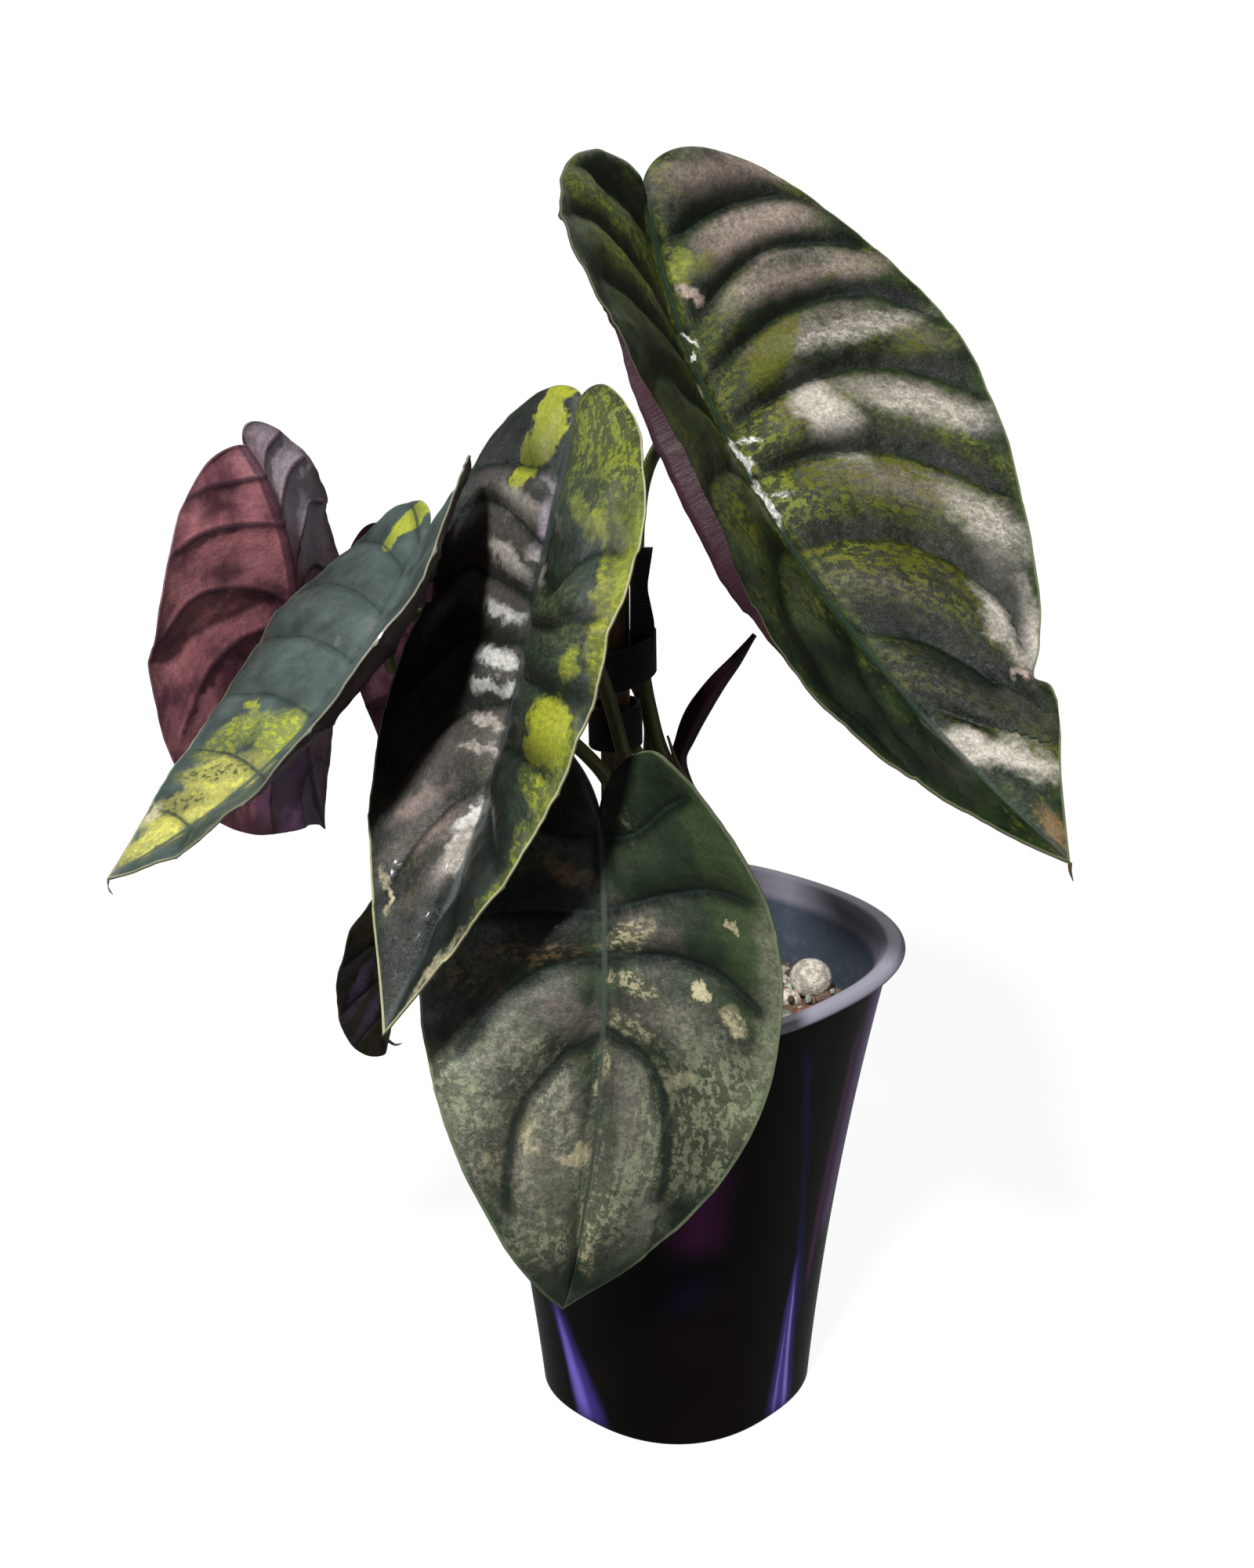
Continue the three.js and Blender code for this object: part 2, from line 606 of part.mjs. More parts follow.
/** Returns a blade: its middle surface thickened both ways, with the midrib standing out below. */
function blade(leaf, extra) {
  const { points, triangles, rib } = bladeSurface(leaf);
  const normals = surfaceNormals(points, triangles);
  const half = BLADE.thickness / 2 + extra;
  const upper = points.map((p, i) => p.clone().addScaledVector(normals[i], half));
  const lower = points.map((p, i) => p.clone().addScaledVector(normals[i], -half - BLADE.ribDepth * rib[i]));
  const count = points.length;
  const faces = [];
  const edges = new Map();
  triangles.forEach(([a, b, c]) => {
    faces.push(a, b, c, count + a, count + c, count + b);
    [[a, b], [b, c], [c, a]].forEach(([from, to]) => edges.set(`${from},${to}`, [from, to]));
  });
  edges.forEach(([a, b]) => {
    if (edges.has(`${b},${a}`)) return;
    faces.push(b, a, count + a, b, count + a, count + b);
  });
  return fromPoints([...upper, ...lower], faces);
}

/** Returns the slit torn through the centre leaf, as the solid to cut away. */
function tearCutter() {
  const geometry = new THREE.CylinderGeometry(1, 1, 24, 12);
  geometry.scale(TEAR.half[0], 1, TEAR.half[1]);
  geometry.translate(...TEAR.at);
  return solid(geometry);
}

// Stalks, new leaf and sheath

/** Returns a stalk from the stem base to its blade's seat. */
function stalk(name, extra) {
  const { foot, neck, via } = STALKS[name];
  const points = [...via, LEAVES[name].seat].map(vector);
  const section = (t) => {
    const radius = lerp(foot, neck, Math.sqrt(t)) + extra;
    return [radius, radius];
  };
  return rod(points, 16, 8, section);
}

/** Returns the rolled new leaf: a flattened spindle on its stalk. */
function newLeaf() {
  const section = (t) => {
    const wide = ramp(NEW_LEAF.radii, t);
    return [wide * (t < NEW_LEAF.rolledFrom ? 1 : NEW_LEAF.flatness), wide];
  };
  return rod(NEW_LEAF.via.map(vector), 22, 8, section);
}

/** Returns the dry rolled sheath beside the tallest stalk. */
function sheath() {
  const section = (t) => {
    const radius = ramp(SHEATH.radii, t);
    return [radius, radius];
  };
  return rod(SHEATH.via.map(vector), 12, 6, section);
}

// Assembly

const plant = new THREE.Group();

function place(name, geometry, colour, roughness, metalness) {
  const material = new THREE.MeshStandardMaterial({ color: colour, roughness, metalness });
  const mesh = new THREE.Mesh(geometry, material);
  mesh.name = name;
  plant.add(mesh);
}

place('pot_shell', geometryOf(potShell()), COLOURS.shell, 0.15, 0.6);
place('pot_liner', geometryOf(potLiner()), COLOURS.liner, 0.45, 0);
const holes = [solid(stakeRod(GAP)), stemBase(GAP)];
place('substrate', geometryOf(substrate(holes)), COLOURS.bed, 0.9, 0);
place('stem_base', geometryOf(stemBase(0)), COLOURS.stalk, 0.8, 0);
place('stake', stakeRod(0), COLOURS.stake, 0.8, 0);
place('tie_upper', geometryOf(upperTie()), COLOURS.tie, 0.9, 0);
place('tie_lower', geometryOf(band(TIES.lower)), COLOURS.tie, 0.9, 0);

const baseHole = stemBase(GAP);
Object.entries(LEAVES).forEach(([name, leaf]) => {
  const whole = blade(leaf, 0);
  const shape = name === TEAR.leaf ? geometryOf(largest(solid(whole).subtract(tearCutter()))) : whole;
  place(`leaf_${name}`, shape, COLOURS.leafDark, 0.35, 0);
  const clearance = solid(blade(leaf, GAP));
  const stem = largest(solid(stalk(name, 0)).subtract(clearance).subtract(baseHole));
  place(`stalk_${name}`, geometryOf(stem), COLOURS.stalk, 0.5, 0);
});

place('new_leaf', geometryOf(largest(solid(newLeaf()).subtract(baseHole))), COLOURS.newLeaf, 0.35, 0);
place('sheath', geometryOf(largest(solid(sheath()).subtract(baseHole))), COLOURS.sheath, 0.8, 0);

export default plant;
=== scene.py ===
"""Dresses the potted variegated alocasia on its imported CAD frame.

Blender works in metres. The sizes in the classes below are millimetres, in the CAD's own frame: +Z up, the
origin in the middle of the pot's foot, and -Y towards the viewer.
"""

import logging
from dataclasses import dataclass, field
from enum import Enum

import bpy
import numpy as np
from mathutils import Matrix, Vector


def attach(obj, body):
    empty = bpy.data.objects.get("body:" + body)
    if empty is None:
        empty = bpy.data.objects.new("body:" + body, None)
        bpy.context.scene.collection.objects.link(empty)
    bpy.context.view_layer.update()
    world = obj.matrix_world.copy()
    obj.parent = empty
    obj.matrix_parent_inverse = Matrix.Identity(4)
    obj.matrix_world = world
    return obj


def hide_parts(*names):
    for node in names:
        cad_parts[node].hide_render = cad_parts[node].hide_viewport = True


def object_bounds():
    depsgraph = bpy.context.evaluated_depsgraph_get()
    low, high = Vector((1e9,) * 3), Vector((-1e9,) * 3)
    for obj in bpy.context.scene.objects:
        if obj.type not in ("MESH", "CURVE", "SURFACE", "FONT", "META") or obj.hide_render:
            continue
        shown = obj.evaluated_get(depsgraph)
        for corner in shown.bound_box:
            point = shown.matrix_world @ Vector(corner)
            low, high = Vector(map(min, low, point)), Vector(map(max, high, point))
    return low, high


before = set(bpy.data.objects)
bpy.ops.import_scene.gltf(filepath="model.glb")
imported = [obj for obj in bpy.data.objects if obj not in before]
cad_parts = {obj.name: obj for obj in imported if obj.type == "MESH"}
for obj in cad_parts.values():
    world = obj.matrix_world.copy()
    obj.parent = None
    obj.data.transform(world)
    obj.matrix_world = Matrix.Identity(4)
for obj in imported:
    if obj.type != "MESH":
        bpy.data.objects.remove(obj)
CAD_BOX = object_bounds()
LOG = logging.getLogger("plant")
MM = 0.001
TURN = 2 * np.pi

Array = np.ndarray
Colour = tuple[float, float, float]
Point = tuple[float, float, float]
Line = tuple[tuple[float, float], ...]
Material = bpy.types.Material
Socket = bpy.types.NodeSocket

CURVE_STEPS = 40  # points on each stretch of a smooth path before they are spread evenly
SKIN_RADIUS = 3.0  # a rod's skin reads its noise at this radius in mm, however thick the rod is
POT_CREASE = 60.0  # degrees; pots and stones keep edges sharper than this
BLADE_CREASE = 62.0


# Meshes


def unit(vectors: Array) -> Array:
    """Returns vectors at length one."""
    return vectors / np.maximum(np.linalg.norm(vectors, axis=-1, keepdims=True), 1e-9)


def smoothstep(low: float, high: float, value: Array) -> Array:
    """Returns 0 below low, 1 above high and t squared times (3 - 2t) between, t being the share of the way."""
    t = np.clip((value - low) / (high - low), 0, 1)
    return t * t * (3 - 2 * t)


def round_turn(count: int) -> Array:
    """Returns evenly spaced angles once round a circle."""
    return np.linspace(0, TURN, count, endpoint=False)


def run_along(path: Array) -> Array:
    """Returns each point's distance along a path: the sum of the steps up to it."""
    return np.concatenate([[0], np.cumsum(np.linalg.norm(np.diff(path, axis=0), axis=1))])


def averaged(values: Array, reach: int) -> Array:
    """Returns each value's mean with its neighbours, as many as the reach on either side."""
    return np.convolve(np.pad(values, reach, "edge"), np.ones(2 * reach + 1) / (2 * reach + 1), "valid")


def quads_of(index: Array, flip: bool = False) -> Array:
    """Joins a grid of corner numbers into quads.

    Args:
        index: the grid.
        flip: whether the quads face the other way.

    Returns:
        Four corner numbers for each quad, which start at the same corner either way.
    """
    a, b, c, d = index[:-1, :-1], index[:-1, 1:], index[1:, 1:], index[1:, :-1]
    return np.stack([a, d, c, b] if flip else [a, b, c, d], -1).reshape(-1, 4)


@dataclass
class Shape:
    """A mesh in the making.

    Args:
        points: corner points in mm.
        faces: arrays of corner numbers, three or four to a face.
        marks: values or vectors for each point, which the materials read as attributes.
    """

    points: Array
    faces: list[Array]
    marks: dict[str, Array] = field(default_factory=dict)

    @staticmethod
    def joined(shapes: list["Shape"]) -> "Shape":
        """Puts several shapes into one.

        Args:
            shapes: shapes with the same marks.

        Returns:
            One shape, in which each one's corner numbers start where the last one's stop.
        """
        starts = np.cumsum([0] + [len(s.points) for s in shapes])
        faces = [f + start for s, start in zip(shapes, starts) for f in s.faces]
        marks = {k: np.concatenate([s.marks[k] for s in shapes]) for k in shapes[0].marks}
        return Shape(np.concatenate([s.points for s in shapes]), faces, marks)

    def drawn_in(self, path: Array, share: Array) -> "Shape":
        """Moves the ring points of a rod towards its middle line.

        Args:
            path: the middle line.
            share: how much of its distance from the line each ring point keeps.

        Returns:
            The same shape.
        """
        grid = self.points[:-2].reshape(*share.shape, 3)
        self.points[:-2] = (path[:, None] + (grid - path[:, None]) * share[..., None]).reshape(-1, 3)
        return self

    def piece(self, name: str, material: Material, slot: str, stands_for: tuple[str, ...],
              crease: float = 40.0) -> bpy.types.Object:
        """Makes the Blender object and ties it to the frame.

        Args:
            name: the piece's name.
            material: its finish.
            slot: the material slot in the record; it is not used.
            stands_for: CAD nodes that it replaces.
            crease: faces that meet at more than this angle, in degrees, keep a sharp edge.

        Returns:
            The object, which rides on the root body.
        """
        mesh = bpy.data.meshes.new(name)
        sizes = np.concatenate([np.full(len(f), f.shape[1]) for f in self.faces])
        corners = np.concatenate([f.ravel() for f in self.faces]).astype(np.int32)
        mesh.vertices.add(len(self.points))
        mesh.vertices.foreach_set("co", (self.points * MM).astype(np.float32).ravel())
        mesh.loops.add(len(corners))
        mesh.loops.foreach_set("vertex_index", corners)
        mesh.polygons.add(len(sizes))
        mesh.polygons.foreach_set("loop_start", np.concatenate([[0], np.cumsum(sizes)[:-1]]).astype(np.int32))
        mesh.update(calc_edges=True)
        for mark, values in self.marks.items():
            flat = values.ndim == 1
            attribute = mesh.attributes.new(mark, "FLOAT" if flat else "FLOAT_VECTOR", "POINT")
            attribute.data.foreach_set("value" if flat else "vector", values.astype(np.float32).ravel())
        mesh.shade_smooth()
        mesh.set_sharp_from_angle(angle=np.radians(crease))
        mesh.materials.append(material)
        thing = bpy.data.objects.new(name, mesh)
        bpy.context.scene.collection.objects.link(thing)
        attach(thing, "root")
        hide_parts(*stands_for)
        LOG.info("%s: %d faces", name, len(sizes))
        return thing


def tube(rings: Array, start: Array, end: Array, marks: dict[str, Array] | None = None) -> Shape:
    """Closes rings of points into a solid with a point at each end.

    Args:
        rings: rows along the tube, columns anticlockwise round it.
        start: the middle of the first end.
        end: the middle of the last end.
        marks: grids of values, one for each ring point; the ends take the mean of their ring.

    Returns:
        The shape: a grid of quads between the rings and a fan of triangles at each end.
    """
    rows, columns = rings.shape[:2]
    index = np.arange(rows * columns).reshape(rows, columns)
    wrapped = np.hstack([index, index[:, :1]])
    last = rows * columns
    first_fan = np.stack([np.full(columns, last), wrapped[0, 1:], wrapped[0, :-1]], -1)
    last_fan = np.stack([np.full(columns, last + 1), wrapped[-1, :-1], wrapped[-1, 1:]], -1)
    out = {}
    for name, grid in (marks or {}).items():
        ends = np.stack([grid[0].mean(0), grid[-1].mean(0)])
        out[name] = np.concatenate([grid.reshape(last, *grid.shape[2:]), ends])
    points = np.concatenate([rings.reshape(-1, 3), [start, end]])
    return Shape(points, [quads_of(wrapped), np.concatenate([first_fan, last_fan])], out)


def smooth_path(points: Array, count: int) -> Array:
    """Draws a smooth curve through points.

    Each stretch is a cubic whose slope at a point is half the step from its neighbour before to its
    neighbour after, as in the CAD.

    Args:
        points: what the curve passes through.
        count: how many points the result has.

    Returns:
        Points spaced evenly along the curve.
    """
    p = np.asarray(points, float)
    p = np.vstack([2 * p[0] - p[1], p, 2 * p[-1] - p[-2]])
    a, b, c, d = p[:-3, None], p[1:-2, None], p[2:-1, None], p[3:, None]
    t = np.linspace(0, 1, CURVE_STEPS, endpoint=False)[None, :, None]
    curve = b + 0.5 * t * (c - a + t * (2 * a - 5 * b + 4 * c - d + t * (3 * (b - c) + d - a)))
    curve = np.vstack([curve.reshape(-1, 3), p[-2]])
    run = run_along(curve)
    at = np.linspace(0, run[-1], count)
    return np.stack([np.interp(at, run, curve[:, i]) for i in range(3)], 1)


def rod(path: Array, wide: Array, deep: Array, sides: int, lean: Array | None = None) -> Shape:
    """Carries an ellipse along a path.

    Args:
        path: points along the middle.
        wide: half width at each, across the lean.
        deep: half width at each, square to that.
        sides: points round the rod.
        lean: the axis that the first half width follows; left out, the one the path keeps clearest of.

    Returns:
        The closed rod. Its mark "run" is a vector: the place round the rod and the distance along it.
    """
    tangent = unit(np.gradient(path, axis=0))
    if lean is None:
        axes = np.eye(3)
        clear = [np.linalg.norm(np.cross(tangent, a), axis=1).min() for a in axes]
        lean = axes[int(np.argmax(clear))]
    normal = unit(lean - tangent * (tangent @ lean)[:, None])
    binormal = np.cross(tangent, normal)
    angle = round_turn(sides)
    across = np.cos(angle)[None, :, None] * wide[:, None, None] * normal[:, None]
    along = np.sin(angle)[None, :, None] * deep[:, None, None] * binormal[:, None]
    rounds = np.broadcast_to(np.stack([np.cos(angle), np.sin(angle)], 1), (len(path), sides, 2))
    run = np.repeat(run_along(path)[:, None, None], sides, 1)
    marks = {"run": np.concatenate([rounds * SKIN_RADIUS, run], -1)}
    return tube(path[:, None] + across + along, path[0], path[-1], marks)


# Shader wiring


@dataclass
class Wiring:
    """The nodes of one material in the making, with short ways to add the kinds that are used here.

    A value that goes into a node may be a number, a colour or another node's socket.
    """

    material: Material

    @classmethod
    def fresh(cls, name: str) -> "Wiring":
        """Starts a new material.

        Args:
            name: its name.

        Returns:
            Its wiring.
        """
        material = bpy.data.materials.new(name)
        material.use_nodes = True
        return cls(material)

    def add(self, kind: str, **inputs: object) -> bpy.types.Node:
        """Adds a node.

        Args:
            kind: the node's type after ShaderNode.
            inputs: values or sockets for its inputs by name, with _ for a space, or settings in lower case.

        Returns:
            The node.
        """
        node = self.material.node_tree.nodes.new("ShaderNode" + kind)
        for key, value in inputs.items():
            if key[0].islower():
                setattr(node, key, value)
        for key, value in inputs.items():
            if not key[0].islower():
                self.feed(node.inputs[key.replace("_", " ")], value)
        return node

    def feed(self, target: Socket, value: object) -> None:
        """Links a socket to an input, or sets the input's value.

        Args:
            target: the input.
            value: the socket, number, colour or vector.
        """
        if isinstance(value, bpy.types.NodeSocket):
            self.material.node_tree.links.new(value, target)
        elif target.type == "RGBA":
            target.default_value = (*value, 1.0)
        else:
            target.default_value = value

    def feed_all(self, node: bpy.types.Node, values: tuple[object, ...]) -> bpy.types.Node:
        """Feeds a node's inputs in their order.

        Args:
            node: the node.
            values: a value or socket for each of its first inputs.

        Returns:
            The node.
        """
        for socket, value in zip(node.inputs, values):
            self.feed(socket, value)
        return node

    def math(self, operation: str, *values: object) -> Socket:
        """Returns the result of a Math node."""
        return self.feed_all(self.add("Math", operation=operation), values).outputs[0]

    def vector(self, operation: str, *values: object) -> Socket:
        """Returns the result of a Vector Math node: the number for a length, else the vector."""
        node = self.feed_all(self.add("VectorMath", operation=operation), values)
        return node.outputs["Value" if operation == "LENGTH" else "Vector"]

    def times(self, first: object, *factors: object) -> Socket:
        """Multiplies numbers.

        Args:
            first: the first number.
            factors: the others.

        Returns:
            The product of them all.
        """
        for factor in factors:
            first = self.math("MULTIPLY", first, factor)
        return first

    def scaled(self, vector: object, factors: Point) -> Socket:
        """Returns a vector with each part multiplied."""
        return self.vector("MULTIPLY", vector, factors)

    def part(self, vector: object, axis: str) -> Socket:
        """Returns a vector's X, Y or Z."""
        return self.add("SeparateXYZ", Vector=vector).outputs[axis]

    def rise(self, value: object, low: float, high: float) -> Socket:
        """Makes a soft step.

        Args:
            value: what it follows.
            low: where the result is 0.
            high: where it is 1; this may be the smaller of the two, and the step then falls.

        Returns:
            t squared times (3 - 2t), t being the share of the way between the two, kept to 0 to 1.
        """
        node = self.add("MapRange", interpolation_type="SMOOTHSTEP", Value=value)
        falls = low > high
        self.feed(node.inputs["From Min"], min(low, high))
        self.feed(node.inputs["From Max"], max(low, high))
        self.feed(node.inputs["To Min"], 1.0 if falls else 0.0)
        self.feed(node.inputs["To Max"], 0.0 if falls else 1.0)
        return node.outputs["Result"]

    def between(self, value: object, low: float, high: float) -> Socket:
        """Spreads a share evenly between two values.

        Args:
            value: the share, 0 to 1.
            low: the result where it is 0.
            high: the result where it is 1.

        Returns:
            The low value plus the share of the way to the high one.
        """
        node = self.add("MapRange", Value=value)
        self.feed(node.inputs["To Min"], low)
        self.feed(node.inputs["To Max"], high)
        return node.outputs["Result"]

    def share(self, value: object, low: float, high: float) -> Socket:
        """Measures how far a value is on its way between two others.

        Args:
            value: what it follows.
            low: where the share is 0.
            high: where it is 1.

        Returns:
            The value less the low one over the high one less the low one, kept to 0 to 1.
        """
        node = self.add("MapRange", Value=value)
        self.feed(node.inputs["From Min"], low)
        self.feed(node.inputs["From Max"], high)
        return node.outputs["Result"]

    def lay(self, colour: object, top: object, mask: object, strength: float = 1.0,
            blend: str = "MIX") -> Socket:
        """Lays a colour over another.

        Args:
            colour: what lies beneath.
            top: what is laid over it.
            mask: where, from 0 to 1.
            strength: how much of it shows where the mask is 1.
            blend: how the two are blended.

        Returns:
            The colour beneath, moved towards the top one by the mask times the strength.
        """
        node = self.add("Mix", data_type="RGBA", blend_type=blend)
        self.feed(node.inputs["Factor"], mask if strength == 1.0 else self.times(mask, strength))
        colours = [s for s in node.inputs if s.type == "RGBA"]
        self.feed(colours[0], colour)
        self.feed(colours[1], top)
        return next(s for s in node.outputs if s.type == "RGBA")

    def noise(self, vector: object, scale: float, detail: float = 3.0, roughness: float = 0.5,
              distortion: float = 0.0, output: str = "Fac") -> Socket:
        """Adds soft noise.

        Args:
            vector: where it is read.
            scale: how many swells there are to a unit.
            detail: how many finer layers it has.
            roughness: how strong they are.
            distortion: how far it is warped.
            output: Fac for a number, Color for three.

        Returns:
            The noise, mostly from 0.3 to 0.7.
        """
        node = self.add("TexNoise", Vector=vector, Scale=scale, Detail=detail, Roughness=roughness,
                        Distortion=distortion)
        return node.outputs[output]

    def cells(self, vector: object, scale: float) -> Socket:
        """Returns the distance to the nearest of scattered points."""
        return self.add("TexVoronoi", Vector=vector, Scale=scale).outputs["Distance"]

    def mark(self, name: str) -> Socket:
        """Returns a mesh mark that is a number."""
        return self.add("Attribute", attribute_name=name).outputs["Fac"]

    def mark_vector(self, name: str) -> Socket:
        """Returns a mesh mark that is a vector."""
        return self.add("Attribute", attribute_name=name).outputs["Vector"]

    def place(self) -> Socket:
        """Returns the Object coordinates, in millimetres."""
        return self.scaled(self.add("TexCoord").outputs["Object"], (1 / MM, 1 / MM, 1 / MM))

    def steps(self, value: object, colours: tuple[Colour, ...]) -> Socket:
        """Picks one of several colours.

        Args:
            value: 0 to 1.
            colours: each one's stretch of the value is as long.

        Returns:
            The colour of the stretch that the value is in, with sharp changes between.
        """
        node = self.add("ValToRGB", Fac=value)
        ramp = node.color_ramp
        ramp.interpolation = "CONSTANT"
        places = [i / len(colours) for i in range(len(colours))]
        for position in places[2:]:
            ramp.elements.new(position)
        for element, position, colour in zip(ramp.elements, places, colours):
            element.position = position
            element.color = (*colour, 1.0)
        return node.outputs["Color"]

    def bump(self, height: object, distance: float, strength: float = 1.0, below: object = None) -> Socket:
        """Tilts the surface by a height.

        Args:
            height: 0 to 1.
            distance: how much 1 stands for, in mm.
            strength: how much of the tilt is used.
            below: the normal of a bump beneath this one.

        Returns:
            The normal.
        """
        node = self.add("Bump", Height=height, Distance=distance * MM, Strength=strength)
        if below is not None:
            self.feed(node.inputs["Normal"], below)
        return node.outputs["Normal"]

    def finish(self, **inputs: object) -> Material:
        """Feeds the surface shader.

        Args:
            inputs: its inputs by name, with _ for a space.

        Returns:
            The material.
        """
        shader = next(n for n in self.material.node_tree.nodes if n.type == "BSDF_PRINCIPLED")
        for key, value in inputs.items():
            self.feed(shader.inputs[key.replace("_", " ")], value)
        return self.material


def darker(colour: Colour, share: float) -> Colour:
    """Returns a colour with each part multiplied by the share."""
    return tuple(share * part for part in colour)


# Finishes


@dataclass(frozen=True)
class PaintedReflection:
    """A painted reflection on the outer pot: a coloured streak painted where the glossy plastic would mirror a lamp,
    as high and wide as it is at its top and its bottom.

    Args:
        top: angle round the pot in degrees, height in mm and half width in degrees at the upper end.
        bottom: the same at the lower end.
        colour: its colour.
        strength: how much of the pot's own colour it hides.
    """

    top: tuple[float, float, float]
    bottom: tuple[float, float, float]
    colour: Colour
    strength: float = 1.0


@dataclass(frozen=True)
class Glaze:
    """The outer pot's mirror-black plastic, with violet and magenta painted reflections: streaks painted into its
    colour where it would mirror lamps.

    Args:
        black, brown: the ground colours.
        painted_reflections: laid in this order.
        wander: how far a painted reflection's sides waver, in degrees.
        sides: the shares of the half width at which a painted reflection is gone and full.
        above, below: how far above and below its end a painted reflection fades, in mm.
    """

    black: Colour = (0.0012, 0.0008, 0.0006)
    brown: Colour = (0.0030, 0.0016, 0.0010)
    # Painted reflections: violet, magenta and blue streaks laid into the colour where lamps would be mirrored.
    painted_reflections: tuple[PaintedReflection, ...] = (
        PaintedReflection((-37, 64, 0.7), (-38, 2, 10.0), (0.085, 0.060, 0.36), 0.95),
        PaintedReflection((-37, 52, 0.4), (-35, 4, 2.0), (0.36, 0.28, 0.80), 1.0),
        PaintedReflection((-39, 34, 0.3), (-42, 4, 1.6), (0.26, 0.19, 0.68), 0.9),
        PaintedReflection((-148, 44, 4.5), (-131, 2, 9.0), (0.045, 0.030, 0.20), 0.95),
        PaintedReflection((-147, 40, 2.0), (-137, 4, 5.0), (0.17, 0.12, 0.54), 0.9),
        PaintedReflection((-51, 143, 2.2), (-31, 36, 3.2), (0.012, 0.012, 0.085), 0.8),
        PaintedReflection((-25, 141, 2.2), (-27, 50, 2.5), (0.12, 0.030, 0.11), 0.85),
        PaintedReflection((-14, 156, 8.5), (-18, 66, 6.5), (0.26, 0.11, 0.40), 0.95),
        PaintedReflection((-10, 156, 7.0), (-13, 120, 3.5), (0.40, 0.30, 0.80), 0.95),
        PaintedReflection((-84, 112, 12.0), (-84, 78, 12.0), (0.10, 0.016, 0.085), 0.9),
        PaintedReflection((-88, 74, 13.0), (-88, 56, 13.0), (0.003, 0.0025, 0.018), 0.5),
        PaintedReflection((42, 110, 1.0), (52, 2, 8.0), (0.12, 0.08, 0.55), 0.9),
        PaintedReflection((78, 140, 2.0), (92, 60, 4.0), (0.07, 0.016, 0.09), 0.8),
        PaintedReflection((128, 60, 1.0), (139, 2, 8.0), (0.13, 0.085, 0.60), 0.9),
        PaintedReflection((172, 150, 5.0), (176, 60, 4.0), (0.10, 0.05, 0.30), 0.7),
    )
    wander: float = 7.0
    sides: tuple[float, float] = (1.3, 0.1)
    above: float = 6.0
    below: float = 8.0

    def painted_reflection(self, w: Wiring, painted_reflection: PaintedReflection, angle: Socket, height: Socket, colour: Socket) -> Socket:
        """Lays one painted reflection over a colour.

        Args:
            w: the material's wiring.
            painted_reflection: the painted reflection.
            angle: the angle round the pot in degrees.
            height: the height in mm.
            colour: what lies beneath.

        Returns:
            The colour. The painted reflection's middle and half width run evenly from its bottom's to its top's, and
            it fades with the distance from the middle over the half width, and at its ends.
        """
        (high_angle, top, high_width), (low_angle, bottom, low_width) = painted_reflection.top, painted_reflection.bottom
        up = w.share(height, bottom, top)
        off = w.math("ABSOLUTE", w.math("SUBTRACT", angle, w.between(up, low_angle, high_angle)))
        across = w.rise(w.math("DIVIDE", off, w.between(up, low_width, high_width)), *self.sides)
        ends = w.times(w.rise(height, top + self.above, top - self.below),
                       w.rise(height, bottom - self.below, bottom + self.above))
        return w.lay(colour, painted_reflection.colour, w.times(across, ends), painted_reflection.strength)

    def material(self) -> Material:
        """Makes the finish: a black mirror with painted reflections, placed by the angle round the pot and the
        height.

        Returns:
            The material. The angle is the arc tangent of Y over X, in degrees.
        """
        w = Wiring.fresh("glaze")
        place = w.place()
        height = w.part(place, "Z")
        angle = w.times(w.math("ARCTAN2", w.part(place, "Y"), w.part(place, "X")), 180 / np.pi)
        drift = w.noise(w.scaled(place, (1, 1, 0.25)), 0.06)
        turned = w.math("ADD", angle, w.times(w.math("SUBTRACT", drift, 0.5), self.wander))
        colour = w.lay(self.black, self.brown, w.rise(w.noise(place, 0.02, 2.0), 0.4, 0.6))
        # Painted reflections: each one lays a lamp-like streak into the base colour.
        for painted_reflection in self.painted_reflections:
            colour = self.painted_reflection(w, painted_reflection, turned, height, colour)
        ripple = w.noise(w.scaled(place, (1, 1, 0.3)), 0.05, 1.0)
        normal = w.bump(ripple, 0.35, 0.5, w.bump(w.noise(place, 0.9), 0.006))
        rough = w.between(w.noise(place, 0.08, 4.0), 0.07, 0.15)
        return w.finish(Normal=normal, Base_Color=colour, Roughness=rough, Specular_IOR_Level=0.22)


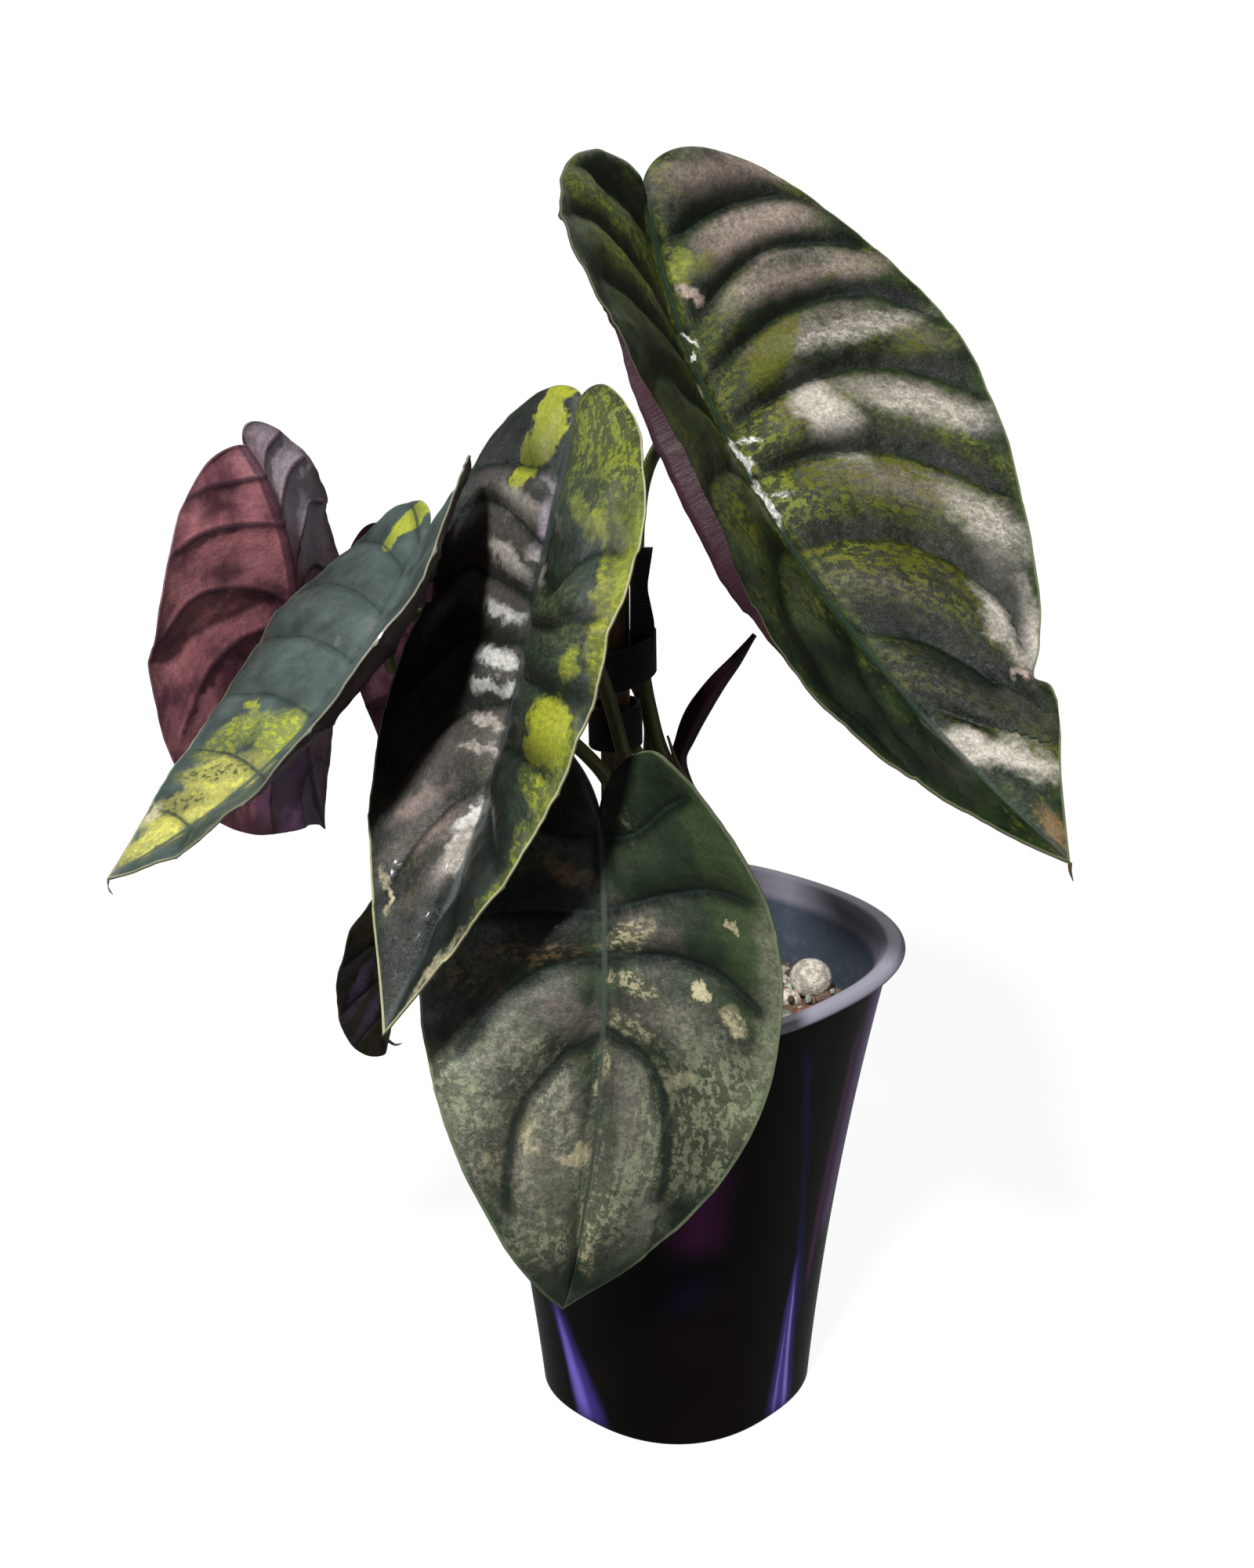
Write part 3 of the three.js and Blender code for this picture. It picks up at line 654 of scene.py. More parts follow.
@dataclass(frozen=True)
class LinerPlastic:
    """The inner pot's satin plastic: a lavender-grey lip over slate-blue walls, darkened partly by painted shade,
    most lower down.

    Args:
        lip, wall, dust: the colours.
        lip_height: where the lip's colour starts, in mm.
        lip_fade: how far above and below that height the two blend.
        wander: how far the boundary wavers, in mm.
        low: the heights from which and down to which painted shade darkens the wall.
    """

    lip: Colour = (0.27, 0.26, 0.335)
    wall: Colour = (0.060, 0.080, 0.112)
    dust: Colour = (0.30, 0.29, 0.27)
    lip_height: float = 154.0
    lip_fade: float = 2.0
    wander: float = 1.2
    low: tuple[float, float] = (150.0, 132.0)

    def material(self) -> Material:
        """Makes the finish.

        Returns:
            The material. Its colours follow the height, with painted shade lower down, and dust and scuffs from
            noise.
        """
        w = Wiring.fresh("liner_plastic")
        place = w.place()
        height = w.part(place, "Z")
        wobble = w.math("ADD", height, w.times(w.noise(place, 0.1), self.wander))
        lip = w.rise(wobble, self.lip_height - self.lip_fade, self.lip_height + self.lip_fade)
        # The wall's colour is partly painted shade: darker than the lip, which catches the light.
        colour = w.lay(self.wall, self.lip, lip)
        # Painted shade: the wall darkens further down inside the pot.
        colour = w.lay(colour, darker(self.wall, 0.45), w.rise(height, *self.low), 0.6)
        colour = w.lay(colour, self.dust, w.rise(w.noise(place, 0.35, 5.0, 0.65), 0.5, 0.7), 0.12)
        scuff = w.noise(w.scaled(place, (1, 1, 0.12)), 1.4, 4.0, 0.6)
        normal = w.bump(scuff, 0.03, 0.8, w.bump(w.noise(place, 2.2), 0.03))
        rough = w.between(w.noise(place, 0.15, 4.0), 0.34, 0.5)
        return w.finish(Normal=normal, Base_Color=colour, Roughness=rough)


@dataclass(frozen=True)
class Mineral:
    """The potting mix: brown pumice and rounded pebbles of several stones.

    Args:
        tones: the stones' colours.
        pale: the speckles' colour.
        dark: the colour of darker patches that noise lays over it.
    """

    tones: tuple[Colour, ...] = ((0.10, 0.055, 0.032), (0.30, 0.105, 0.055), (0.34, 0.42, 0.36),
                                 (0.36, 0.25, 0.22), (0.62, 0.58, 0.52), (0.15, 0.10, 0.07))
    pale: Colour = (0.5, 0.44, 0.36)
    dark: Colour = (0.03, 0.02, 0.015)

    def material(self) -> Material:
        """Makes the finish.

        Returns:
            The material. The mark "tone" picks a pebble's stone, and noise speckles and pits it.
        """
        w = Wiring.fresh("mineral")
        place = w.place()
        speckle = w.rise(w.noise(place, 1.1, 6.0, 0.7), 0.42, 0.62)
        colour = w.lay(w.steps(w.mark("tone"), self.tones), self.pale, speckle, 0.55, "SOFT_LIGHT")
        colour = w.lay(colour, self.dark, w.rise(w.noise(place, 0.45, 4.0), 0.6, 0.42), 0.5)
        pits = w.rise(w.cells(place, 0.9), 0.05, 0.5)
        normal = w.bump(pits, 0.25, 0.8, w.bump(w.noise(place, 2.5, 5.0), 0.12))
        return w.finish(Normal=normal, Base_Color=colour, Roughness=w.between(speckle, 0.75, 0.95))


@dataclass(frozen=True)
class Grain:
    """The stake's weathered wood, with long fibres.

    Args:
        light, dark: the fibres' colours.
        grey: the weathered colour.
    """

    light: Colour = (0.36, 0.23, 0.12)
    dark: Colour = (0.11, 0.055, 0.026)
    grey: Colour = (0.27, 0.23, 0.19)

    def material(self) -> Material:
        """Makes the finish.

        Returns:
            The material. Noise drawn out along the stake gives the fibres, and slow noise the weathering.
        """
        w = Wiring.fresh("stake_wood")
        place = w.place()
        fibre = w.noise(w.scaled(place, (1, 1, 0.04)), 1.3, 5.0, 0.65)
        colour = w.lay(self.dark, self.light, w.rise(fibre, 0.36, 0.64))
        colour = w.lay(colour, self.grey, w.rise(w.noise(place, 0.05), 0.4, 0.65), 0.5)
        return w.finish(Normal=w.bump(fibre, 0.35, 0.9), Base_Color=colour, Roughness=0.78)


@dataclass(frozen=True)
class TapeWeave:
    """The ties' black ribbed tape.

    Args:
        black: its colour.
        worn: the colour of the ribs' worn tops.
    """

    black: Colour = (0.009, 0.008, 0.010)
    worn: Colour = (0.05, 0.045, 0.05)

    def material(self) -> Material:
        """Makes the finish.

        Returns:
            The material. Each rib is |sin| of pi times the mark "weft", which counts them.
        """
        w = Wiring.fresh("tape")
        rib = w.math("ABSOLUTE", w.math("SINE", w.times(w.mark("weft"), np.pi)))
        fuzz = w.noise(w.place(), 3.0, 4.0)
        colour = w.lay(self.black, self.worn, w.times(w.rise(rib, 0.55, 1.0), w.rise(fuzz, 0.3, 0.7)))
        return w.finish(Normal=w.bump(rib, 0.3, 0.9, w.bump(fuzz, 0.08)), Base_Color=colour, Roughness=0.72,
                        Sheen_Weight=0.2, Sheen_Roughness=0.5)


@dataclass(frozen=True)
class StalkSkin:
    """A stalk's smooth skin, streaked along its length.

    Args:
        name: the material's name.
        young, old: the streaks' colours.
        blush: the colour of broad stretches.
        rough: the roughness.
    """

    name: str
    young: Colour
    old: Colour
    blush: Colour
    rough: float = 0.38

    def material(self) -> Material:
        """Makes the finish.

        Returns:
            The material. Noise read along the rod's mark "run" gives streaks, stretches and flecks.
        """
        w = Wiring.fresh(self.name)
        run = w.mark_vector("run")
        streak = w.noise(w.scaled(run, (1, 1, 0.05)), 0.55, 4.0, 0.6)
        stretch = w.noise(w.scaled(run, (0.5, 0.5, 1)), 0.07)
        flecks = w.rise(w.noise(w.scaled(run, (1, 1, 0.35)), 1.6, 2.0), 0.63, 0.7)
        colour = w.lay(self.old, self.young, w.rise(streak, 0.36, 0.64))
        colour = w.lay(colour, self.blush, w.rise(stretch, 0.5, 0.72))
        colour = w.lay(colour, darker(self.old, 0.45), flecks, 0.5)
        return w.finish(Normal=w.bump(streak, 0.18, 0.7), Base_Color=colour, Roughness=self.rough,
                        Subsurface_Weight=0.08, Subsurface_Radius=(0.004, 0.004, 0.001))


class Tone(Enum):
    """Colours that a patch on a blade can have; some also stand for painted highlight or painted shadow."""

    GOLD = (0.115, 0.122, 0.008)
    GOLDY = (0.22, 0.26, 0.022)
    LIME = (0.40, 0.44, 0.035)
    # Dark ground colour, also used for a painted shadow.
    DARK = (0.005, 0.009, 0.006)
    GREEN = (0.075, 0.11, 0.045)
    FERN = (0.026, 0.044, 0.022)
    OLIVE = (0.026, 0.026, 0.006)
    MAUVE = (0.20, 0.165, 0.155)
    # Silver bloom, also used as painted highlight.
    SILVER_AND_HIGHLIGHT = (0.70, 0.64, 0.58)
    # Painted highlight: white glints and streaks.
    WHITE = (0.85, 0.85, 0.82)
    CREAM = (0.62, 0.57, 0.36)
    MINT = (0.38, 0.42, 0.27)
    ROSE = (0.52, 0.40, 0.36)
    TAN = (0.27, 0.17, 0.08)
    VIOLET = (0.25, 0.13, 0.30)
    LILAC = (0.60, 0.42, 0.80)
    SLATE = (0.56, 0.48, 0.58)
    ASH = (0.40, 0.385, 0.30)
    YELLOW = (0.66, 0.63, 0.12)
    MOSS = (0.085, 0.125, 0.075)
    PINK = (0.52, 0.19, 0.21)

    @property
    def metallic(self) -> bool:
        """Returns whether the leaf's fine wrinkles break the tone up."""
        return self in (Tone.SILVER_AND_HIGHLIGHT, Tone.ROSE, Tone.MAUVE, Tone.ASH)


class Layer(Enum):
    """Where a patch lies."""

    UPPER = "upper skin"
    LOWER = "lower skin"
    # Painted glints: white highlights, with a few small marks, laid over the upper skin's veins and midrib.
    GLINT = "over the upper skin's veins"


@dataclass(frozen=True)
class Patch:
    """A patch on a blade: its middle, half sizes and turn in the flat blade, and its colour.

    Args:
        x, y: the middle in mm, y to the right of the midrib.
        long, wide: half sizes in mm.
        turn: the long side's turn from the midrib in degrees.
        tone: the colour.
        strength: how much it hides at its middle.
        soft: how soft its rim is.
        speckle: how much of it is broken into flecks.
        layer: where it lies.
    """

    x: float
    y: float
    long: float
    wide: float
    turn: float
    tone: Tone
    strength: float = 1.0
    soft: float = 0.4
    speckle: float = 0.0
    layer: Layer = Layer.UPPER


class Canvas:
    """What a blade is painted from: its marks, and the noises that break its colours up.

    The marks are: "flat", the place in the flat blade in mm; "vein", the bay among the side veins, three times
    the share of the way to the margin, and a number that keeps the two halves' noise apart; "gap", "rib" and
    "edge", the distances to the nearest side vein, the midrib and the margin in mm; "lift", how high the
    quilting stands; "under", 1 on the lower skin.
    """

    WAVER: float = 13.0  # how far the patches' rims waver, in mm

    def __init__(self, w: Wiring, foil: float) -> None:
        """Reads the marks and makes the noises.

        Args:
            w: the material's wiring.
            foil: how much of a metallic tone is left between the wrinkles.
        """
        self.w = w
        self.flat, self.vein = w.mark_vector("flat"), w.mark_vector("vein")
        self.gap, self.rib, self.edge, self.lift, self.under = (
            w.mark(name) for name in ("gap", "rib", "edge", "lift", "under"))
        self.way = w.math("FRACT", w.part(self.vein, "X"))
        waver = w.noise(self.flat, 0.16, 6.0, 0.6, output="Color")
        self.ragged = w.vector("ADD", self.flat, w.scaled(waver, (self.WAVER, self.WAVER, 0)))
        self.blots = w.noise(self.flat, 0.42, 7.0, 0.7, 0.3)
        self.fine = w.noise(self.flat, 0.75, 6.0, 0.7)
        self.broad = w.noise(self.flat, 0.035)
        self.wrinkles = w.noise(self.flat, 0.5, 6.0, 0.7, 1.6)
        self.sheen = w.between(w.rise(self.wrinkles, 0.40, 0.56), foil, 1.0)
        streaks = w.noise(w.scaled(self.vein, (6.0, 1.5, 1.0)), 2.2, 5.0, 0.62, 0.4)
        self.mottle = w.math("ADD", w.times(streaks, 0.45), w.times(self.blots, 0.55))
        self.flecks = w.rise(self.mottle, 0.495, 0.525)


@dataclass(frozen=True)
class LeafSkin:
    """A blade's two skins: the quilted, variegated upper one and the maroon lower one.

    Args:
        dark, green: the ground colours.
        bloom_and_highlight: the metallic bloom on the swellings, with painted highlight on each swelling's upper
            side.
        gold: the scattered mottling.
        rib, rib_half: the midrib's colour and half width in mm.
        vein: the side veins' colour.
        margin, margin_width: the rim line's colour and width in mm.
        under, under_light, under_vein: the lower skin's ground, its lighter drifts and its veins.
        bloom_and_highlight_left, bloom_and_highlight_right: how strong the bloom and its painted highlight are on
        each half.
        bloom_and_highlight_from, bloom_and_highlight_rise: how far from the midrib it starts and over what width it
        grows, in mm.
        foil: how much of the bloom and its painted highlight is left between its wrinkles.
        gold_share: how much is mottled.
        shade: how dark painted shade makes each swelling towards the next vein, on its lower side away from the
            light.
        valley, valley_shade_reach: how dark the blade is beside a vein, and how far out in mm.
        metal, rough, coat, gloss: the shine.
        patches: single patches.
    """

    dark: Colour = (0.010, 0.019, 0.010)
    green: Colour = (0.034, 0.052, 0.024)
    bloom_and_highlight: Colour = (0.17, 0.14, 0.13)
    gold: Colour = (0.10, 0.11, 0.012)
    rib: Colour = (0.018, 0.034, 0.022)
    rib_half: float = 1.8
    vein: Colour = (0.007, 0.015, 0.009)
    margin: Colour = (0.13, 0.15, 0.08)
    margin_width: float = 0.5
    under: Colour = (0.055, 0.018, 0.026)
    under_light: Colour = (0.14, 0.048, 0.060)
    under_vein: Colour = (0.020, 0.006, 0.012)
    bloom_and_highlight_left: float = 0.5
    bloom_and_highlight_right: float = 0.5
    bloom_and_highlight_from: float = -10.0
    bloom_and_highlight_rise: float = 16.0
    foil: float = 0.5
    gold_share: float = 0.2
    shade: float = 0.6
    valley_shade: float = 0.7
    valley_shade_reach: float = 3.2
    metal: float = 0.3
    rough: float = 0.34
    coat: float = 0.15
    gloss: float = 0.35
    patches: tuple[Patch, ...] = ()

    def patched(self, on: Canvas, colour: Socket, layer: Layer) -> Socket:
        """Lays the patches of one side over a colour.

        Args:
            on: the blade's marks and noises.
            colour: what lies beneath.
            layer: which patches to lay.

        Returns:
            The colour. A patch is an ellipse: it fades where the distance from its middle, measured in its
            half sizes, passes 1.
        """
        w, middle, thick = on.w, on.WAVER / 2, 1000.0
        for patch in (p for p in self.patches if p.layer == layer):
            local = w.add("Mapping", vector_type="TEXTURE", Vector=on.ragged,
                          Location=(patch.x + middle, patch.y + middle, 0.0),
                          Rotation=(0.0, 0.0, np.radians(patch.turn)), Scale=(patch.long, patch.wide, thick))
            mask = w.rise(w.vector("LENGTH", local.outputs[0]), 1 + patch.soft, 1 - patch.soft)
            if patch.tone.metallic:
                mask = w.times(mask, on.sheen)
            if patch.speckle:
                mask = w.times(mask, w.between(on.flecks, 1 - patch.speckle, 1.0))
            colour = w.lay(colour, patch.tone.value, mask, patch.strength)
        return colour

    def bloom_and_highlight_mask(self, on: Canvas) -> Socket:
        """Places the bloom and its painted highlight.

        Args:
            on: the blade's marks and noises.

        Returns:
            A product of masks: the half's own strength, a painted highlight just past the vein on each swelling's
                upper side,
            high on the quilting, away from the midrib, and broken by blots, broad drifts and wrinkles.
        """
        w = on.w
        # Painted highlight: brightest just past the vein on each swelling's upper side, where light from above falls,
        # fading towards the next vein.
        painted_highlight_crest = w.times(w.rise(on.way, 0.0, 0.14), w.rise(on.way, 0.78, 0.12))
        half = w.between(w.rise(w.part(on.flat, "Y"), -0.5, 0.5), self.bloom_and_highlight_left, self.bloom_and_highlight_right)
        blots = w.between(w.rise(on.blots, 0.4, 0.56), 0.45, 1.0)
        away = w.rise(on.rib, self.bloom_and_highlight_from, self.bloom_and_highlight_from + self.bloom_and_highlight_rise)
        creases = w.between(w.rise(on.wrinkles, 0.44, 0.6), self.foil, 1.0)
        return w.times(painted_highlight_crest, blots, half, w.rise(on.broad, 0.2, 0.58), away, w.rise(on.lift, 0.1, 0.8), creases)

    def upper(self, on: Canvas, bloom_and_highlight: Socket) -> Socket:
        """Paints the upper skin: ground, bloom with painted highlight, mottling, patches, painted shade, veins, rim
        and painted glints, in that order.

        Args:
            on: the blade's marks and noises.
            bloom_and_highlight: where the bloom and its painted highlight lie.

        Returns:
            The colour. The mottling covers a share of the ground that falls with the noise by 0.2 for each
            whole of gold_share.
        """
        w = on.w
        colour = w.lay(self.dark, self.green, w.rise(w.noise(on.flat, 0.09, 5.0, 0.6), 0.36, 0.66))
        colour = w.lay(colour, self.bloom_and_highlight, bloom_and_highlight)
        drifts = w.math("ADD", w.times(on.mottle, 0.75), w.times(on.broad, 0.45))
        start = 0.72 - 0.2 * self.gold_share
        colour = w.lay(colour, self.gold, w.rise(drifts, start, start + 0.04), 0.8)
        colour = self.patched(on, colour, Layer.UPPER)
        colour = w.lay(colour, self.dark, w.math("SUBTRACT", 1.0, w.rise(on.fine, 0.34, 0.66)), 0.35)
        # Painted shade: each swelling darkens towards the next vein, and the blade darkens in the valleys beside the
        # veins.
        shade = w.times(w.rise(on.way, 0.46, 0.9), w.rise(on.rib, 2.0, 7.0), self.shade)
        valley_shade = w.times(w.rise(on.gap, self.valley_shade_reach, 0.4), self.valley_shade)
        dark = w.times(w.math("MAXIMUM", shade, valley_shade), w.rise(on.edge, 0.0, 8.0))
        colour = w.lay(colour, darker(self.dark, 0.4), dark)
        colour = w.lay(colour, self.vein, w.times(w.rise(on.gap, 1.0, 0.3), w.rise(on.edge, 2.0, 8.0)), 0.8)
        colour = w.lay(colour, self.rib, w.rise(on.rib, self.rib_half + 0.5, self.rib_half - 0.4), 0.85)
        rim = w.rise(on.edge, self.margin_width + 0.3, self.margin_width - 0.2)
        colour = w.lay(colour, self.margin, rim, 0.85)
        # Painted glints: highlights laid last, over the veins and midrib.
        return self.patched(on, colour, Layer.GLINT)

    def lower(self, on: Canvas) -> Socket:
        """Paints the lower skin: ground, patches, and then its veins and rim, wide and faint before narrow.

        Args:
            on: the blade's marks and noises.

        Returns:
            The colour.
        """
        w = on.w
        ground = w.rise(w.noise(on.flat, 0.06, 6.0, 0.62), 0.36, 0.66)
        colour = self.patched(on, w.lay(self.under, self.under_light, ground), Layer.LOWER)
        colour = w.lay(colour, self.under, w.rise(on.fine, 0.6, 0.4), 0.3)
        for distance, out, full, strength in ((on.edge, 9.0, 1.0, 0.45), (on.gap, 5.0, 0.2, 0.35),
                                              (on.gap, 1.3, 0.4, 0.85), (on.rib, 2.4, 1.4, 0.8)):
            colour = w.lay(colour, self.under_vein, w.rise(distance, out, full), strength)
        return colour

    def material(self, name: str) -> Material:
        """Makes the finish of both skins.

        Args:
            name: the material's name.

        Returns:
            The material. Its normal carries four heights of noise, from slow wrinkles to a fine grain.
        """
        w = Wiring.fresh(name)
        on = Canvas(w, self.foil)
        bloom_and_highlight = self.bloom_and_highlight_mask(on)
        colour = w.lay(self.upper(on, bloom_and_highlight), self.lower(on), on.under)
        normal = w.bump(w.noise(on.flat, 2.0, 4.0), 0.05, 0.7)
        folds = w.noise(w.scaled(on.vein, (9.0, 3.0, 1.0)), 1.6, 5.0, 0.6)
        for height, distance, strength in ((folds, 0.22, 0.55), (on.fine, 0.12, 0.5), (on.wrinkles, 0.45, 0.6)):
            normal = w.bump(height, distance, strength, normal)
        return w.finish(
            Normal=normal, Base_Color=colour, Metallic=w.times(bloom_and_highlight, self.metal),
            Roughness=w.between(on.fine, self.rough - 0.08, self.rough + 0.12), Coat_Weight=self.coat,
            Coat_Roughness=0.12, Specular_IOR_Level=self.gloss, Subsurface_Weight=0.03,
            Subsurface_Radius=(0.003, 0.004, 0.001))


# Planter


@dataclass
class Planter:
    """The two pots: the glossy rounded-square outer one and the liner whose lip hangs on it.

    Args:
        height: the top of the lip.
        foot, flare, flare_growth: the outer wall's half width over the flats at the foot, and how it grows.
        squareness, turn: the plan's power and its turn from the X axis in degrees.
        shell_wall, shell_floor, foot_edge: the shell's thicknesses and the radius round its foot.
        foot_rings, floor_rings: half widths of rings across the foot and the floor.
        floor_edge: how far the floor ends inside the wall.
        liner_gap, liner_wall, liner_floor: the liner's clearance, its wall and the height of its underside.
        lip_reach, lip: half width over the lip, and its section as (in from there, down from the top).
        throat: from the top down to where the liner's inside starts to follow the wall.
        gap: between pieces that touch.
        around: points round the plan.
    """

    height: float = 160.0
    foot: float = 42.5
    flare: float = 0.085
    flare_growth: float = 0.00044
    squareness: float = 2.4
    turn: float = 47.0
    shell_wall: float = 2.2
    shell_floor: float = 3.0
    foot_edge: float = 1.4
    foot_rings: tuple[float, ...] = (0.0, 1.0, 20.0, 36.0)
    floor_rings: tuple[float, ...] = (20.0, 1.0, 0.0)
    floor_edge: float = 1.0
    liner_gap: float = 0.5
    liner_wall: float = 1.6
    liner_floor: float = 12.0
    lip_reach: float = 71.0
    lip: tuple[tuple[float, float], ...] = ((0.6, 3), (0, 2), (0.5, 0.7), (2, 0), (5.4, 0.2), (7.2, 1.8))
    throat: float = 8.0
    gap: float = 0.3
    around: int = 240

    def reach(self, angle: Array) -> Array:
        """Works out the rounded-square plan.

        Args:
            angle: angles from the X axis.

        Returns:
            How far the plan reaches there, over its half width: (|cos|^k + |sin|^k)^(-1/k) of the turned
            angle, k being the squareness.
        """
        turned = angle - np.radians(self.turn)
        k = self.squareness
        return (np.abs(np.cos(turned)) ** k + np.abs(np.sin(turned)) ** k) ** (-1 / k)

    def wall(self, z: Array) -> Array:
        """Returns the outer wall's half width at heights z: foot + flare z + growth z squared."""
        return self.foot + self.flare * z + self.flare_growth * z * z

    def along_wall(self, start: float, stop: float, inset: float, steps: int = 40) -> Array:
        """Follows the wall between two heights.

        Args:
            start: the first height.
            stop: the last height.
            inset: how far inside the wall.
            steps: how many points.

        Returns:
            Profile points: half width and height.
        """
        z = np.linspace(start, stop, steps)
        return np.stack([self.wall(z) - inset, z], 1)

    def body(self, profile: Array) -> Shape:
        """Turns a profile into the rounded-square body.

        Args:
            profile: half widths and heights, with the middle of each end first and last.

        Returns:
            The body, shut at both ends. A point's distance from the middle is its half width times the reach.
        """
        angle = round_turn(self.around)
        reach = self.reach(angle)
        inner = profile[1:-1]
        x = inner[:, :1] * (reach * np.cos(angle))
        y = inner[:, :1] * (reach * np.sin(angle))
        rings = np.stack([x, y, np.broadcast_to(inner[:, 1:], x.shape)], -1)
        return tube(rings, (0, 0, profile[0, 1]), (0, 0, profile[-1, 1]))

    def shell(self) -> Shape:
        """Makes the outer pot.

        Returns:
            The pot. Its profile is the foot, a quarter circle round the foot's edge, the flared wall, half a
            circle over the rim, and the inside down to the floor.
        """
        top = self.height - self.lip[0][1] - self.gap
        bend = np.linspace(0, np.pi / 2, 7)[:, None]
        e = self.foot_edge
        foot = np.hstack([self.wall(e) - e + e * np.sin(bend), e - e * np.cos(bend)])
        half = self.shell_wall / 2
        over = np.linspace(0, np.pi, 9)[:, None]
        middle = self.wall(top - half) - half
        rim = np.hstack([middle + half * np.cos(over), top - half + half * np.sin(over)])
        floor_reach = self.wall(self.shell_floor) - self.shell_wall - self.floor_edge
        floor = np.array([[r, self.shell_floor] for r in (floor_reach, *self.floor_rings)])
        base = np.array([[r, 0] for r in self.foot_rings])
        return self.body(np.vstack([
            base, foot, self.along_wall(e + 1, top - half, 0)[:-1], rim,
            self.along_wall(top - half, self.shell_floor + 1, self.shell_wall)[1:], floor,
        ]))

    def liner(self) -> Shape:
        """Makes the inner pot.

        Returns:
            The pot. Its profile is the wall inside the shell, a smooth curve through the lip's points, a blend
            from the lip into the throat, and the inside.
        """
        inset = self.shell_wall + self.liner_gap
        under = self.height - self.lip[0][1]
        floor = self.liner_floor + self.liner_wall
        lip = np.array([[self.lip_reach - i, self.height - d, 0] for i, d in self.lip])
        lip = smooth_path(lip, 40)[:, :2]
        throat = self.along_wall(self.height - self.throat, floor, inset + self.liner_wall, 50)
        blend = smooth_path(np.array([[*lip[-2], 0], [*lip[-1], 0], [*throat[0], 0], [*throat[1], 0]]), 14)
        low = np.array([[0, self.liner_floor], [1.0, self.liner_floor]])
        high = np.array([[1.0, floor], [0, floor]])
        return self.body(np.vstack([
            low, self.along_wall(self.liner_floor, under, inset), lip, blend[3:-3, :2], throat[1:], high,
        ]))

    def build(self) -> None:
        """Makes both pots."""
        self.shell().piece("outer_pot", Glaze().material(), "shell", ("pot_shell",), POT_CREASE)
        self.liner().piece("inner_pot", LinerPlastic().material(), "liner", ("pot_liner",), POT_CREASE)


# Bed


@dataclass(frozen=True)
class Pebbles:
    """A batch of stones.

    Args:
        middle: their middles.
        sizes: their half sizes.
        turn: their turns about the vertical.
        tone: the mark that picks each one's stone.
    """

    middle: Array
    sizes: Array
    turn: Array
    tone: Array

    def shape(self, rings: int, sides: int, rough: float, seed: int) -> Shape:
        """Makes the stones.

        Each is a sphere whose radius swells and dents by the mean of three slow sine waves, stretched to its
        sizes and turned about the vertical.

        Args:
            rings: rings of points to each.
            sides: points to a ring.
            rough: how much the radius swells and dents.
            seed: the waves' seed.

        Returns:
            All the stones as one shape.
        """
        rng = np.random.default_rng(seed)
        lat = np.linspace(0, np.pi, rings + 2)[1:-1, None]
        lon = round_turn(sides)[None]
        ball = np.stack([np.sin(lat) * np.cos(lon), np.sin(lat) * np.sin(lon), -np.cos(lat) + 0 * lon], -1)
        wave = rng.normal(0, 1.6, (len(self.middle), 3, 3))
        shift = rng.uniform(0, 6.3, (len(self.middle), 3))
        phase = np.einsum("ijk,nmk->nijm", ball, wave) + shift[:, None, None]
        swell = 1 + rough * np.sin(phase).sum(-1) / 3
        local = ball[None] * swell[..., None] * self.sizes[:, None, None]
        c, s = np.cos(self.turn)[:, None, None], np.sin(self.turn)[:, None, None]
        x, y, z = np.moveaxis(local, -1, 0)
        spun = np.stack([x * c - y * s, x * s + y * c, z], -1) + self.middle[:, None, None]
        shapes = []
        for rows, centre, height, value in zip(spun, self.middle, self.sizes[:, 2], self.tone):
            low, high = centre - (0, 0, height), centre + (0, 0, height)
            shapes.append(tube(rows, low, high, {"tone": np.full(rows.shape[:2], value)}))
        return Shape.joined(shapes)


